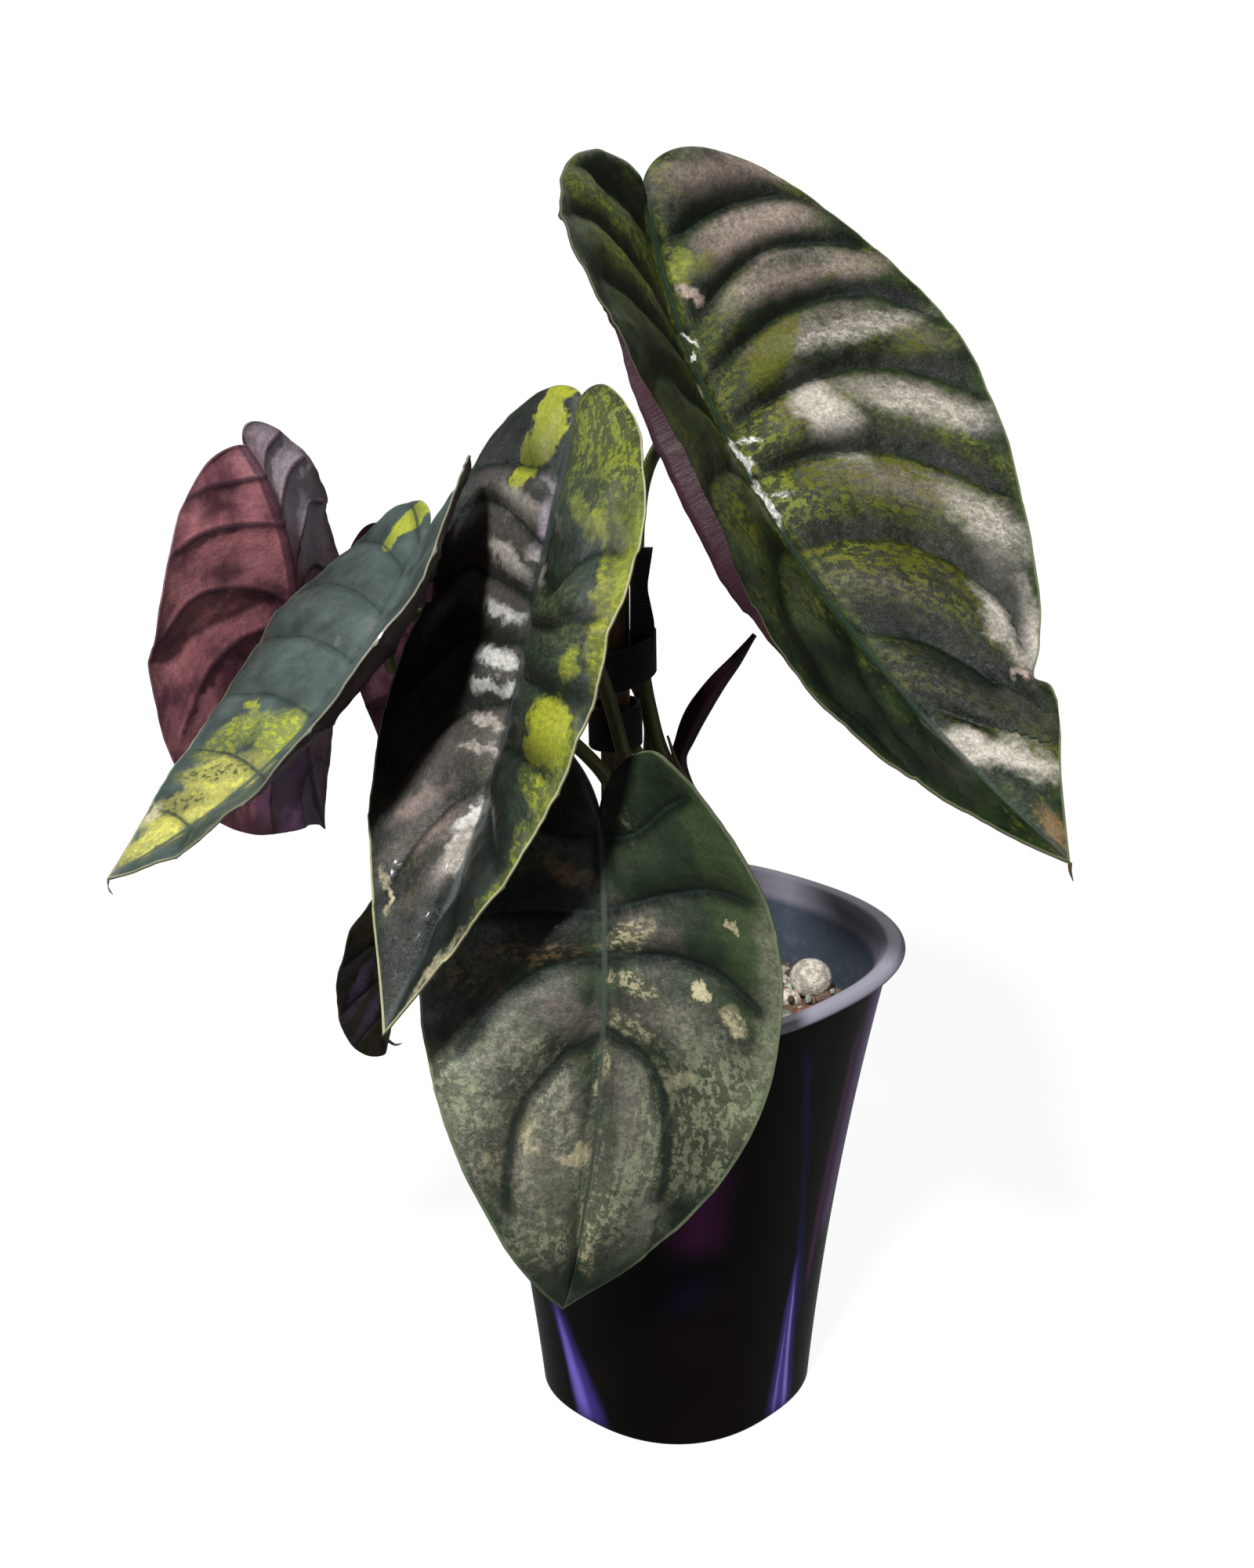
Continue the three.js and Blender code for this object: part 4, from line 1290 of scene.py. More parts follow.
@dataclass
class Bed:
    """The chunky potting mix with its rounded pebbles.

    Args:
        planter: the pots around it.
        level, mound, bottom: the top at the wall, how far it rises to the middle, and the underside.
        inset: how far inside the outer pot's wall it ends.
        pebbles, pebble_radius: how many pebbles, and their smallest and largest radius.
        pebble_clear: how far the pebbles keep from the edge of the mix.
        stone, stone_sizes: the one big rounded stone's middle and half sizes.
        grit, grit_size, grit_inset, grit_height: how many grains, their half sizes, how far inside the wall
            they end, and the heights between which they lie.
        swell: how far the top's roughness rises and falls.
        seed: the random numbers' seed.
    """

    planter: Planter
    level: float = 133.0
    mound: float = 2.5
    bottom: float = 13.9
    inset: float = 4.6
    pebbles: int = 104
    pebble_radius: tuple[float, float] = (3.9, 5.6)
    pebble_clear: float = 1.6
    stone: Point = (46.0, 13.0, 140.0)
    stone_sizes: Point = (7.0, 7.0, 6.6)
    grit: int = 620
    grit_size: tuple[float, float] = (0.8, 2.2)
    grit_inset: float = 7.0
    grit_height: tuple[float, float] = (134.0, 137.0)
    swell: float = 0.8
    seed: int = 11

    def draws(self, count: int) -> Array:
        """Draws repeatable numbers, as the CAD does.

        Args:
            count: how many.

        Returns:
            Numbers from 0 to 1: each state is 1664525 times the last plus 1013904223, kept below 2 to the 32nd,
            and is divided by that.
        """
        out, state, limit = [], self.seed, 2**32
        for _ in range(count):
            state = (state * 1664525 + 1013904223) % limit
            out.append(state / limit)
        return np.array(out)

    def pebble_batch(self, tone: Array) -> Pebbles:
        """Places the pebbles on a sunflower spiral, as in the CAD.

        Each turns on by the golden angle, pi (3 - root 5), and lies out by the root of its share of the count.

        Args:
            tone: the pebbles' tones.

        Returns:
            The pebbles.
        """
        draw = self.draws(6 * self.pebbles).reshape(-1, 6)
        low, high = self.pebble_radius
        radius = low + (high - low) * draw[:, 0]
        i = np.arange(self.pebbles)
        angle = i * np.pi * (3 - np.sqrt(5)) + 0.25 * draw[:, 1]
        inside = self.planter.wall(self.level) - self.inset
        out = np.sqrt((i + 0.5) / self.pebbles)
        reach = (inside - radius - self.pebble_clear) * self.planter.reach(angle) * out
        middle = np.stack([reach * np.cos(angle), reach * np.sin(angle), self.level + 0.4 + 1.6 * draw[:, 4]], 1)
        shares = [np.ones(len(i)), 0.78 + 0.3 * draw[:, 2], 0.66 + 0.25 * draw[:, 3]]
        return Pebbles(middle, radius[:, None] * np.stack(shares, 1), TURN * draw[:, 5], tone)

    def grit_batch(self, rng: np.random.Generator) -> Pebbles:
        """Scatters the grit evenly over the plan.

        Args:
            rng: where the numbers are drawn from.

        Returns:
            The grains. Each lies out by the root of an even draw, so that the plan is covered evenly.
        """
        angle = rng.uniform(0, TURN, self.grit)
        reach = (self.planter.wall(self.level) - self.grit_inset) * self.planter.reach(angle)
        reach = reach * np.sqrt(rng.uniform(0, 1, self.grit))
        size = rng.uniform(*self.grit_size, (self.grit, 3))
        place = np.stack([reach * np.cos(angle), reach * np.sin(angle), rng.uniform(*self.grit_height, self.grit)], 1)
        turn = rng.uniform(0, 6.3, self.grit)
        return Pebbles(place, size, turn, rng.choice([0.05, 0.2, 0.9, 0.7, 0.38], self.grit))

    def ground(self) -> Shape:
        """Makes the mix below the pebbles.

        Returns:
            The mix. It has the pot's plan and a mounded top, which rises by 1 minus the squared share of the way
            out, and a product of two bent sine waves roughens it.
        """
        walls = self.planter.along_wall(self.bottom, self.level, self.inset, 12)
        edge = walls[-1, 0]
        share = np.linspace(1, 0, 26)[1:]
        top = np.stack([edge * share, self.level + self.mound * (1 - share**2)], 1)
        shape = self.planter.body(np.vstack([[0, self.bottom], [1, self.bottom], walls, top]))
        x, y, z = shape.points.T
        rough = np.sin(0.9 * x + 1.3 * np.sin(0.7 * y)) * np.sin(1.1 * y + 0.9 * np.sin(0.6 * x))
        shape.points[:, 2] += self.swell * rough * (z > self.level + 0.05)
        shape.marks["tone"] = np.full(len(shape.points), 0.9)
        return shape

    def build(self) -> None:
        """Makes the bed with its pebbles, grit and the one big stone."""
        rng = np.random.default_rng(self.seed)
        tone = rng.choice([0.05, 0.05, 0.2, 0.38, 0.55, 0.7, 0.9], self.pebbles)
        stones = self.pebble_batch(tone).shape(9, 14, 0.10, 5)
        one = Pebbles(np.array([self.stone]), np.array([self.stone_sizes]), np.array([0.4]), np.array([0.7]))
        big = one.shape(20, 32, 0.03, 9)
        grit = self.grit_batch(rng).shape(3, 7, 0.12, 7)
        bed = Shape.joined([self.ground(), stones, big, grit])
        bed.piece("potting_mix", Mineral().material(), "bed", ("substrate",), POT_CREASE)


# Stake and ties


@dataclass(frozen=True)
class Tape:
    """A ring of ribbed tape.

    Args:
        centre: the ring's middle.
        inner, wall: its inner radius and thickness.
        slant: its slope in the X-Z plane in degrees.
        width: the tape's width.
        rib, rib_depth: from one rib to the next, and how deep the grooves between them are.
        around: points round the ring.
    """

    centre: Point
    inner: float
    wall: float
    slant: float
    width: float = 13.5
    rib: float = 1.04
    rib_depth: float = 0.22
    around: int = 96

    def shape(self) -> Shape:
        """Makes the ring.

        Returns:
            The ring. Its section runs up the outside, over the edge, down the inside and back. Outside, the
            radius falls between ribs by the depth times 1 minus |sin| of pi times the ribs counted across the
            width.
        """
        up = np.linspace(0, 1, 109)
        ribs = np.abs(np.sin(np.pi * up * self.width / self.rib))
        outer = np.stack([self.inner + self.wall - self.rib_depth * (1 - ribs), (up - 0.5) * self.width], 1)
        inside = np.stack([np.full(13, self.inner), np.linspace(0.5, -0.5, 13) * self.width], 1)
        section = np.vstack([outer, inside])
        weft = np.concatenate([up * self.width / self.rib, np.full(len(inside), 0.5)])
        angle = round_turn(self.around)
        x = section[:, :1] * np.cos(angle)
        y = section[:, :1] * np.sin(angle)
        z = section[:, 1:] + np.tan(np.radians(self.slant)) * x
        rings = np.stack([x, y, z], -1) + np.array(self.centre)
        index = np.arange(x.size).reshape(x.shape)
        index = np.vstack([index, index[:1]])
        index = np.hstack([index, index[:, :1]])
        marks = {"weft": np.repeat(weft, self.around)}
        return Shape(rings.reshape(-1, 3), [quads_of(index)], marks)


@dataclass
class Support:
    """The wooden stake and the two tape ties.

    Args:
        radius, foot, top: the stake's radius and ends.
        end_shares, end_eases: the shares of the length at which its ends are eased, and how much is left there.
        uneven: how much its sides waver.
        upper, lower: the ties' rings.
        tail_left, tail_right: the edges of the upper tie's free end, as (height, x).
        tail_middle, tail_half: the y of its middle, and half its thickness.
    """

    radius: float = 4.7
    foot: Point = (-18.6, 3.0, 70.0)
    top: Point = (-16.0, 3.0, 300.0)
    end_shares: tuple[float, float, float] = (0, 0.002, 0.004)
    end_eases: tuple[float, float, float] = (0.8, 0.93, 0.98)
    uneven: float = 0.03
    upper: Tape = Tape((-13.5, 1.3, 253.8), 8.9, 1.1, 19)
    lower: Tape = Tape((-16.7, 1.2, 233.5), 6.8, 1.7, 2)
    tail_left: Line = ((257, -11.8), (291, -10.6))
    tail_right: Line = ((257, -4.6), (266, -4.0), (278, -6.2), (291, -4.1))
    tail_middle: float = -3.55
    tail_half: float = 0.5

    def stake(self) -> Shape:
        """Makes the stake.

        Returns:
            A round rod whose radius eases off at the ends and wavers with a sine between them.
        """
        first, last = np.array(self.end_shares), 1 - np.array(self.end_shares[::-1])
        body = np.linspace(0.006, 0.994, 70)
        share = np.concatenate([first, body, last])
        path = np.array(self.foot) + share[:, None] * (np.array(self.top) - np.array(self.foot))
        middle = 1 - self.uneven * (1 + np.sin(body * 21)) / 2
        ease = np.concatenate([self.end_eases, middle, self.end_eases[::-1]])
        return rod(path, self.radius * ease, self.radius * ease, 40)

    def tail(self) -> Shape:
        """Makes the upper tie's free end: a flat strip that stands beside the stake.

        Returns:
            The strip. Its left and right edges are read off at each height, and the section between them is a
            flat rectangle with rounded corners: powers of the sine and cosine of the angle round it.
        """
        rows, sides = 90, 32
        low, top = self.tail_left[0][0], self.tail_left[-1][0]
        height = np.linspace(low, top, rows)
        left = np.interp(height, *zip(*self.tail_left))
        right = averaged(np.interp(height, *zip(*self.tail_right)), 6)
        corner = round_turn(sides)
        across = np.sign(np.cos(corner)) * np.abs(np.cos(corner)) ** 0.35
        depth = np.sign(np.sin(corner)) * np.abs(np.sin(corner)) ** 0.7
        x = (left + right)[:, None] / 2 + (right - left)[:, None] / 2 * across
        sway = 0.25 * np.sin((height - low) / 5.5)[:, None]
        y = self.tail_middle + self.tail_half * depth + np.broadcast_to(sway * 0.3, x.shape)
        z = np.repeat(height[:, None], sides, 1) + 0.12 * (x - left[:, None])
        rings = np.stack([x, y, np.minimum(z, top)], -1)
        weft = np.repeat((height[:, None] - low) / self.upper.rib, sides, 1)
        return tube(rings, rings[0].mean(0), rings[-1].mean(0), {"weft": weft})

    def build(self) -> None:
        """Makes the stake and both ties."""
        weave = TapeWeave().material()
        self.stake().piece("wooden_stake", Grain().material(), "stake", ("stake",))
        Shape.joined([self.upper.shape(), self.tail()]).piece("upper_tie", weave, "tie", ("tie_upper",))
        self.lower.shape().piece("lower_tie", weave, "tie", ("tie_lower",))


# Stems


@dataclass(frozen=True)
class Stalk:
    """One leaf stalk.

    Args:
        leaf: the name of the blade that it carries.
        foot, neck: its radius at the foot and at the blade.
        via: the points that it passes.
    """

    leaf: str
    foot: float
    neck: float
    via: tuple[Point, ...]

    def shape(self, seat: Array) -> Shape:
        """Makes the stalk.

        Args:
            seat: where it ends.

        Returns:
            A rod whose radius changes with the square root of the way up, with a domed end: there the radius
            is the root of 1 minus the square of the share of the dome.
        """
        count, dome_from, dome = 150, 0.985, 0.016
        path = smooth_path(np.array([*self.via, seat]), count)
        share = np.linspace(0, 1, count)
        radius = self.foot + (self.neck - self.foot) * np.sqrt(share)
        radius = radius * np.sqrt(np.clip(1 - (np.clip(share - dome_from, 0, 1) / dome) ** 2, 0.05, 1))
        radius = radius * (1 + 0.015 * np.sin(17 * share + self.foot))
        return rod(path, radius, radius, 24)


STALKS = (
    Stalk("right", 3.4, 1.9, ((11.2, -2.6, 145), (12, -5, 178), (6.5, -5, 207), (-2.4, -4.2, 225.5),
                              (-6, -3.4, 239.6), (-8, -0.6, 251), (-9.3, 0.2, 259), (-9.3, 0.2, 272),
                              (-9, 0.2, 290.4), (-8.4, -3, 300), (-6.6, -9.5, 313), (-2.4, -14, 324))),
    Stalk("centre", 2.6, 2.2, ((6.9, -6, 145), (2, -10.5, 180), (-6, -10, 205), (-14, -10.6, 227),
                               (-16.7, -11.4, 238.2), (-20, -16, 252.4), (-23.8, -24, 264), (-31.6, -42, 280))),
    Stalk("front", 2.6, 2.1, ((1.4, -5.2, 145), (-6, -13.5, 180), (-14, -14, 208), (-20, -13, 220.8),
                              (-27.2, -18, 231.5), (-32, -32, 240), (-33, -52, 242), (-28.3, -67, 226))),
    Stalk("back_left", 2.5, 2.4, ((3.7, 8.1, 145), (-1, 12, 185), (-5.5, 10, 215), (-6, 9.4, 233),
                                  (-15, 16, 249), (-36, 17, 258), (-57, 14, 262), (-79, 16, 265.5),
                                  (-98.5, 18, 270))),
    Stalk("front_left", 2.4, 1.8, ((-2, -0.9, 145), (-14, -6.5, 185), (-29, -8, 214), (-41, -7, 229),
                                   (-61, -10, 246), (-76, -18, 256), (-83, -25, 261))),
    Stalk("low_left", 2.3, 1.6, ((-1.2, 4.6, 145), (-12, 12, 172), (-28, 14, 186), (-49, 14, 185),
                                 (-69, 15, 174))),
    Stalk("behind", 2.5, 1.7, ((9.6, 6.5, 145), (6, 17, 182), (-3, 22, 205), (-20, 27, 230),
                               (-40, 34, 250), (-61, 40, 259))),
)


@dataclass
class Stems:
    """What rises from the mix: the stem base, the stalks, the rolled new leaf and a dry sheath.

    Args:
        base_at, base_radius, base_bottom, base_top: the stem base.
        base_form: its outline, as (share of the height, share of the radius).
        seat_gap: between a stalk's end and its blade.
        new_via, new_radii: the new leaf's points, and its half widths along its length.
        new_flatness: how much narrower the roll is one way than the other.
        new_lap: how far the lapped edge draws the skin in, as a share of the half width.
        sheath_via, sheath_radii: the same for the sheath.
        sheath_fold: how deep its folds are, as a share of the radius.
    """

    base_at: tuple[float, float] = (5.0, 1.0)
    base_radius: float = 9.0
    base_bottom: float = 116.0
    base_top: float = 153.0
    base_form: Line = ((0, 0.7), (0.21, 1), (0.67, 1), (0.89, 0.8), (1, 0.45))
    seat_gap: float = 0.2
    new_via: tuple[Point, ...] = (
        (12.4, 2.9, 146), (15.5, 2.5, 178), (12.5, 2.5, 198), (5.5, 2.3, 212), (3.1, 2, 221), (4.9, 1, 228),
        (8.5, 0, 236.7), (14.6, -1, 246.4), (20.8, -0.8, 254), (26.8, 0.5, 261.8))
    new_radii: Line = (
        (0, 2.3), (0.55, 2.2), (0.63, 2.5), (0.7, 3.5), (0.76, 3.8), (0.84, 3.1), (0.92, 2.1), (1, 0.7))
    new_flatness: float = 0.3
    new_lap: float = 0.13
    sheath_via: tuple[Point, ...] = (
        (14.8, -6.2, 148), (15.6, -7.9, 178), (9.8, -8, 207), (2.6, -7.3, 222), (-0.6, -5.8, 231.5))
    sheath_radii: Line = ((0, 1.4), (0.6, 1.3), (0.85, 0.9), (1, 0.4))
    sheath_fold: float = 0.12

    def base(self) -> Shape:
        """Makes the stem base.

        Returns:
            A blunt stump ringed by old leaf scars, which are |sin| waves up its side.
        """
        count = 60
        z = np.linspace(self.base_bottom, self.base_top, count)
        share = (z - self.base_bottom) / (self.base_top - self.base_bottom)
        radius = self.base_radius * np.interp(share, *zip(*self.base_form))
        radius = radius - 0.25 * np.abs(np.sin(share * 19))
        path = np.stack([np.full(count, self.base_at[0]), np.full(count, self.base_at[1]), z], 1)
        return rod(path, radius, radius, 48)

    def rolled_leaf(self) -> Shape:
        """Makes the new leaf: a round stalk that swells into a flattened roll with its edge lapped over.

        Returns:
            A rod whose half width follows the roll. Past a line that winds down its side, the skin is drawn in
            by the lap times the share of the way round, to the power 1.5, and springs back at the line.
        """
        count, sides = 190, 48
        path = smooth_path(np.array(self.new_via), count)
        share = np.linspace(0, 1, count)
        wide = averaged(np.interp(share, *zip(*self.new_radii)), 5)
        flat = 1 - self.new_flatness * smoothstep(0.57, 0.66, share)
        shape = rod(path, wide * flat, wide, sides, np.array([0.0, 1.0, 0.0]))
        lap = smoothstep(0.6, 0.68, share)[:, None] * smoothstep(1.0, 0.9, share)[:, None]
        line = 4.2 + 1.4 * (share[:, None] - 0.7)
        around = ((round_turn(sides)[None] - line) % TURN) / TURN
        return shape.drawn_in(path, 1 - self.new_lap * lap * (around**1.5) * (around < 0.97))

    def sheath(self) -> Shape:
        """Makes the dry sheath.

        Returns:
            A thin rod with five papery folds, which are sine waves that wind up it.
        """
        count, sides = 120, 30
        path = smooth_path(np.array(self.sheath_via), count)
        share = np.linspace(0, 1, count)
        radius = np.interp(share, *zip(*self.sheath_radii))
        fold = (1 + np.sin(5 * round_turn(sides)[None] + 6 * share[:, None])) / 2
        return rod(path, radius, radius, sides).drawn_in(path, 1 - self.sheath_fold * fold)

    def build(self) -> None:
        """Makes the stem base, the stalks, the new leaf and the sheath."""
        leaves = {leaf.name: leaf for leaf in LEAVES}
        green = StalkSkin("stalk_green", (0.20, 0.21, 0.05), (0.085, 0.10, 0.03), (0.11, 0.09, 0.045)).material()
        bark = StalkSkin("crown_skin", (0.16, 0.12, 0.06), (0.07, 0.045, 0.025), (0.05, 0.03, 0.02), 0.7)
        self.base().piece("crown", bark.material(), "stem_base", ("stem_base",))
        for spec in STALKS:
            leaf = leaves[spec.leaf]
            seat = np.array(leaf.seat) - (spec.neck + self.seat_gap) * leaf.seat_frame()[:, 2]
            spec.shape(seat).piece(f"petiole_{spec.leaf}", green, "stalk", (f"stalk_{spec.leaf}",))
        maroon = StalkSkin("new_leaf_skin", (0.045, 0.006, 0.022), (0.014, 0.003, 0.008), (0.06, 0.014, 0.055), 0.3)
        self.rolled_leaf().piece("rolled_leaf", maroon.material(), "new_leaf", ("new_leaf",))
        paper = StalkSkin("sheath_skin", (0.30, 0.24, 0.15), (0.14, 0.10, 0.06), (0.36, 0.31, 0.24), 0.7)
        self.sheath().piece("dry_sheath", paper.material(), "sheath", ("sheath",))


# Blades


@dataclass(frozen=True)
class Notch:
    """A dent in a blade's margin, or a swelling where the depth is negative.

    Args:
        side: -1 for the left half and 1 for the right one.
        at, width: where it is and how wide, as shares of the margin.
        depth: how deep, in mm.
    """

    side: int
    at: float
    depth: float
    width: float


def cubic(a: Array, b: Array, c: Array, d: Array, t: Array) -> Array:
    """Returns a cubic Bezier curve's points: (1-t)^3 a + 3 (1-t)^2 t b + 3 (1-t) t^2 c + t^3 d."""
    t = t[:, None]
    return (1 - t) ** 3 * a + 3 * (1 - t) ** 2 * t * b + 3 * (1 - t) * t**2 * c + t**3 * d


@dataclass(frozen=True)
class LeafShape:
    """One blade's sizes: millimetres along and across the midrib from the stalk's seat, and degrees.

    Pairs are for the left and right half. In the flat blade x runs along the midrib to the tip and y outwards.

    Args:
        name: the blade's name.
        seat: where it sits on its stalk.
        heading, drop, roll: its turn round the vertical from the front, its fall below level, and its roll.
        length, sinus, lobes: from the seat to the tip, and back to the notch between the lobes and their ends.
        half, lobe_half, widest: half widths of the blade and of a lobe's end, and where the blade is widest.
        tip: how far the margin's last curve point lies from the tip, as shares of the length and half width.
        arch, lobe_arch: how the midrib bends down to the tip, evenly and with the square, and to the lobes.
        sweep: how it bends aside, evenly and with the square.
        twist: the turn about the midrib at the tip.
        fold_left, fold_right: how a half is folded up, at the seat, at the tip and in the lobe.
        curl: how much more a half turns up over its width.
        bays, bulge: how many swellings a half has and how high they are.
        rows, columns: the half's grid.
        notches: dents in the margin.
        hem: where the left margin is turned back: the shares of the margin where that starts and stops, and
            its width.
        tail: the curled drip tip's points, measured from the tip.
        row_sweep: how the rows bunch up towards the sinus.
        row_bow: how far back a row bows, over its length.
    """

    name: str
    seat: Point
    heading: float
    drop: float
    roll: float
    length: float
    sinus: float
    lobes: tuple[float, float]
    half: tuple[float, float]
    lobe_half: float
    widest: float
    tip: tuple[float, float]
    arch: tuple[float, float]
    lobe_arch: float
    sweep: tuple[float, float]
    twist: float
    fold_left: Point
    fold_right: Point
    curl: tuple[float, float]
    bays: int
    bulge: float
    rows: int
    columns: int
    notches: tuple[Notch, ...] = ()
    hem: Point | None = None
    tail: tuple[Point, ...] = ()
    row_sweep: float = 1.6
    row_bow: float = 0.16

    def outline(self, side: int, u: Array) -> Array:
        """Follows a half's margin from the sinus round the lobe to the tip.

        Three cubic curves meet there: out to the lobe's end, along to the widest place and in to the tip. A
        notch moves the margin in by its depth times e to the minus squared distance over its width.

        Args:
            side: -1 for the left half and 1 for the right one.
            u: shares of the margin's length.

        Returns:
            Points of the flat blade.
        """
        half, lobe = self.half[side > 0], self.lobes[side > 0]
        t = np.linspace(0, 1, 241)
        to_tip = self.length - self.widest
        knots = [
            [(-self.sinus, 0), (-self.sinus - 0.5 * (lobe - self.sinus), 0.05 * self.lobe_half),
             (-lobe, 0.45 * self.lobe_half), (-lobe, self.lobe_half)],
            [(-lobe, self.lobe_half), (-lobe, 0.5 * (self.lobe_half + half)),
             (0.5 * (self.widest - lobe), half), (self.widest, half)],
            [(self.widest, half), (self.widest + 0.42 * to_tip, half),
             (self.length - self.tip[0] * to_tip, self.tip[1] * half), (self.length, 0)],
        ]
        path = np.vstack([cubic(*np.array(k, float), t)[i > 0:] for i, k in enumerate(knots)])
        run = run_along(path)
        rim = np.stack([np.interp(u * run[-1], run, path[:, i]) for i in (0, 1)], 1)
        for notch in self.notches:
            if notch.side == side:
                rim[:, 1] -= notch.depth * np.exp(-(((u - notch.at) / notch.width) ** 2))
        return rim

    def midrib(self, x: Array) -> tuple[Array, Array, Array]:
        """Follows the bent midrib, in the directions of the blade's seat.

        Its slopes down and aside grow with the distance and its square, and small steps along them add up to
        its points.

        Args:
            x: distances from the seat, positive to the tip and negative into the lobes.

        Returns:
            The points, and the directions across the midrib and out of the blade there.
        """
        count = 61
        parts = []
        for reach, sign in ((1.02 * max(self.lobes), -1), (self.length, 1)):
            d = sign * reach * np.linspace(0, 1, count)
            t = d / self.length
            down = np.radians(self.arch[0] * t + self.arch[1] * t * t if sign > 0 else self.lobe_arch * t)
            aside = np.radians(self.sweep[0] * t + self.sweep[1] * t * t * sign)
            along = np.stack([np.cos(down) * np.cos(aside), np.cos(down) * np.sin(aside), -np.sin(down)], 1)
            normal = np.stack([np.sin(down) * np.cos(aside), np.sin(down) * np.sin(aside), np.cos(down)], 1)
            steps = (along[1:] + along[:-1]) * sign * reach / (count - 1) / 2
            point = np.vstack([np.zeros(3), np.cumsum(steps, 0)])
            rows = (d, point, np.cross(normal, along), normal)
            parts.append([r[::-1] for r in rows] if sign < 0 else [r[1:] for r in rows])
        d, *fields = [np.concatenate([a, b]) for a, b in zip(*parts)]
        point, across, normal = [np.stack([np.interp(x, d, f[:, i]) for i in range(3)], -1) for f in fields]
        return point, unit(across), unit(normal)

    def seat_frame(self) -> Array:
        """Works out the blade's directions at its seat.

        Returns:
            Columns: to the tip, across and up. The tip direction has the heading round the vertical and falls
            by the drop. Up is square to it, turned about it by the roll.
        """
        h, d, r = np.radians([self.heading, self.drop, self.roll])
        tip = np.array([np.cos(d) * np.sin(h), -np.cos(d) * np.cos(h), -np.sin(d)])
        level = np.array([np.sin(d) * np.sin(h), -np.sin(d) * np.cos(h), np.cos(d)])
        across = np.cross(level, tip)
        up = level * np.cos(r) + across * np.sin(r)
        return np.stack([tip, np.cross(up, tip), up], 1)

    def flat_rows(self, side: int, u: Array, v: Array) -> Array:
        """Lays a half's grid in the flat blade.

        A row leaves the midrib at the share u^1.6 of its length and runs to the margin at the share u. It is
        a square curve whose middle point lies back by 0.16 of the row's length.

        Args:
            side: -1 for the left half and 1 for the right one.
            u: the rows' shares.
            v: shares of the way from the midrib to the margin.

        Returns:
            The flat x and y of each grid point.
        """
        rim = self.outline(side, u)
        start = -self.sinus + (self.length + self.sinus) * u**self.row_sweep
        bow = self.row_bow * np.hypot(rim[:, 0] - start, rim[:, 1])
        middle = np.stack([(start + rim[:, 0]) / 2 - bow, rim[:, 1] / 2], 1)
        begin = np.stack([start, 0 * start], 1)
        w = v[None, :, None]
        return (1 - w) ** 2 * begin[:, None] + 2 * (1 - w) * w * middle[:, None] + w**2 * rim[:, None]

    def bent(self, side: int, flat: Array, height: Array) -> Array:
        """Bends a half from the flat into its place.

        Across the midrib a half is an arc: it leaves at the fold's angle and turns by the curl for each mm, so
        it lies out by the sines' difference over the curl, and up by the cosines'.

        Args:
            side: -1 for the left half and 1 for the right one.
            flat: points of the flat blade.
            height: how far each is raised off the blade.

        Returns:
            The points in the object's frame, in mm.
        """
        x, y = flat[..., 0], flat[..., 1]
        point, across, normal = self.midrib(x)
        turn = np.radians(self.twist) * np.clip(x / self.length, -1, 1)[..., None]
        b = across * np.cos(turn) + normal * np.sin(turn)
        n = normal * np.cos(turn) - across * np.sin(turn)
        seat, tip, lobe = self.fold_right if side > 0 else self.fold_left
        to_tip = np.clip(x / self.length, 0, 1)
        to_lobe = np.clip(-2 * x / sum(self.lobes), 0, 1)
        fold = np.radians(seat + (tip - seat) * to_tip + (lobe - seat) * to_lobe)
        curl = np.radians(self.curl[side > 0]) / max(self.half)
        end = fold + curl * y
        out = (np.sin(end) - np.sin(fold)) / curl - np.sin(end) * height
        rise = (np.cos(fold) - np.cos(end)) / curl + np.cos(end) * height
        local = point + b * (side * out)[..., None] + n * rise[..., None]
        return local @ self.seat_frame().T + np.array(self.seat, float)


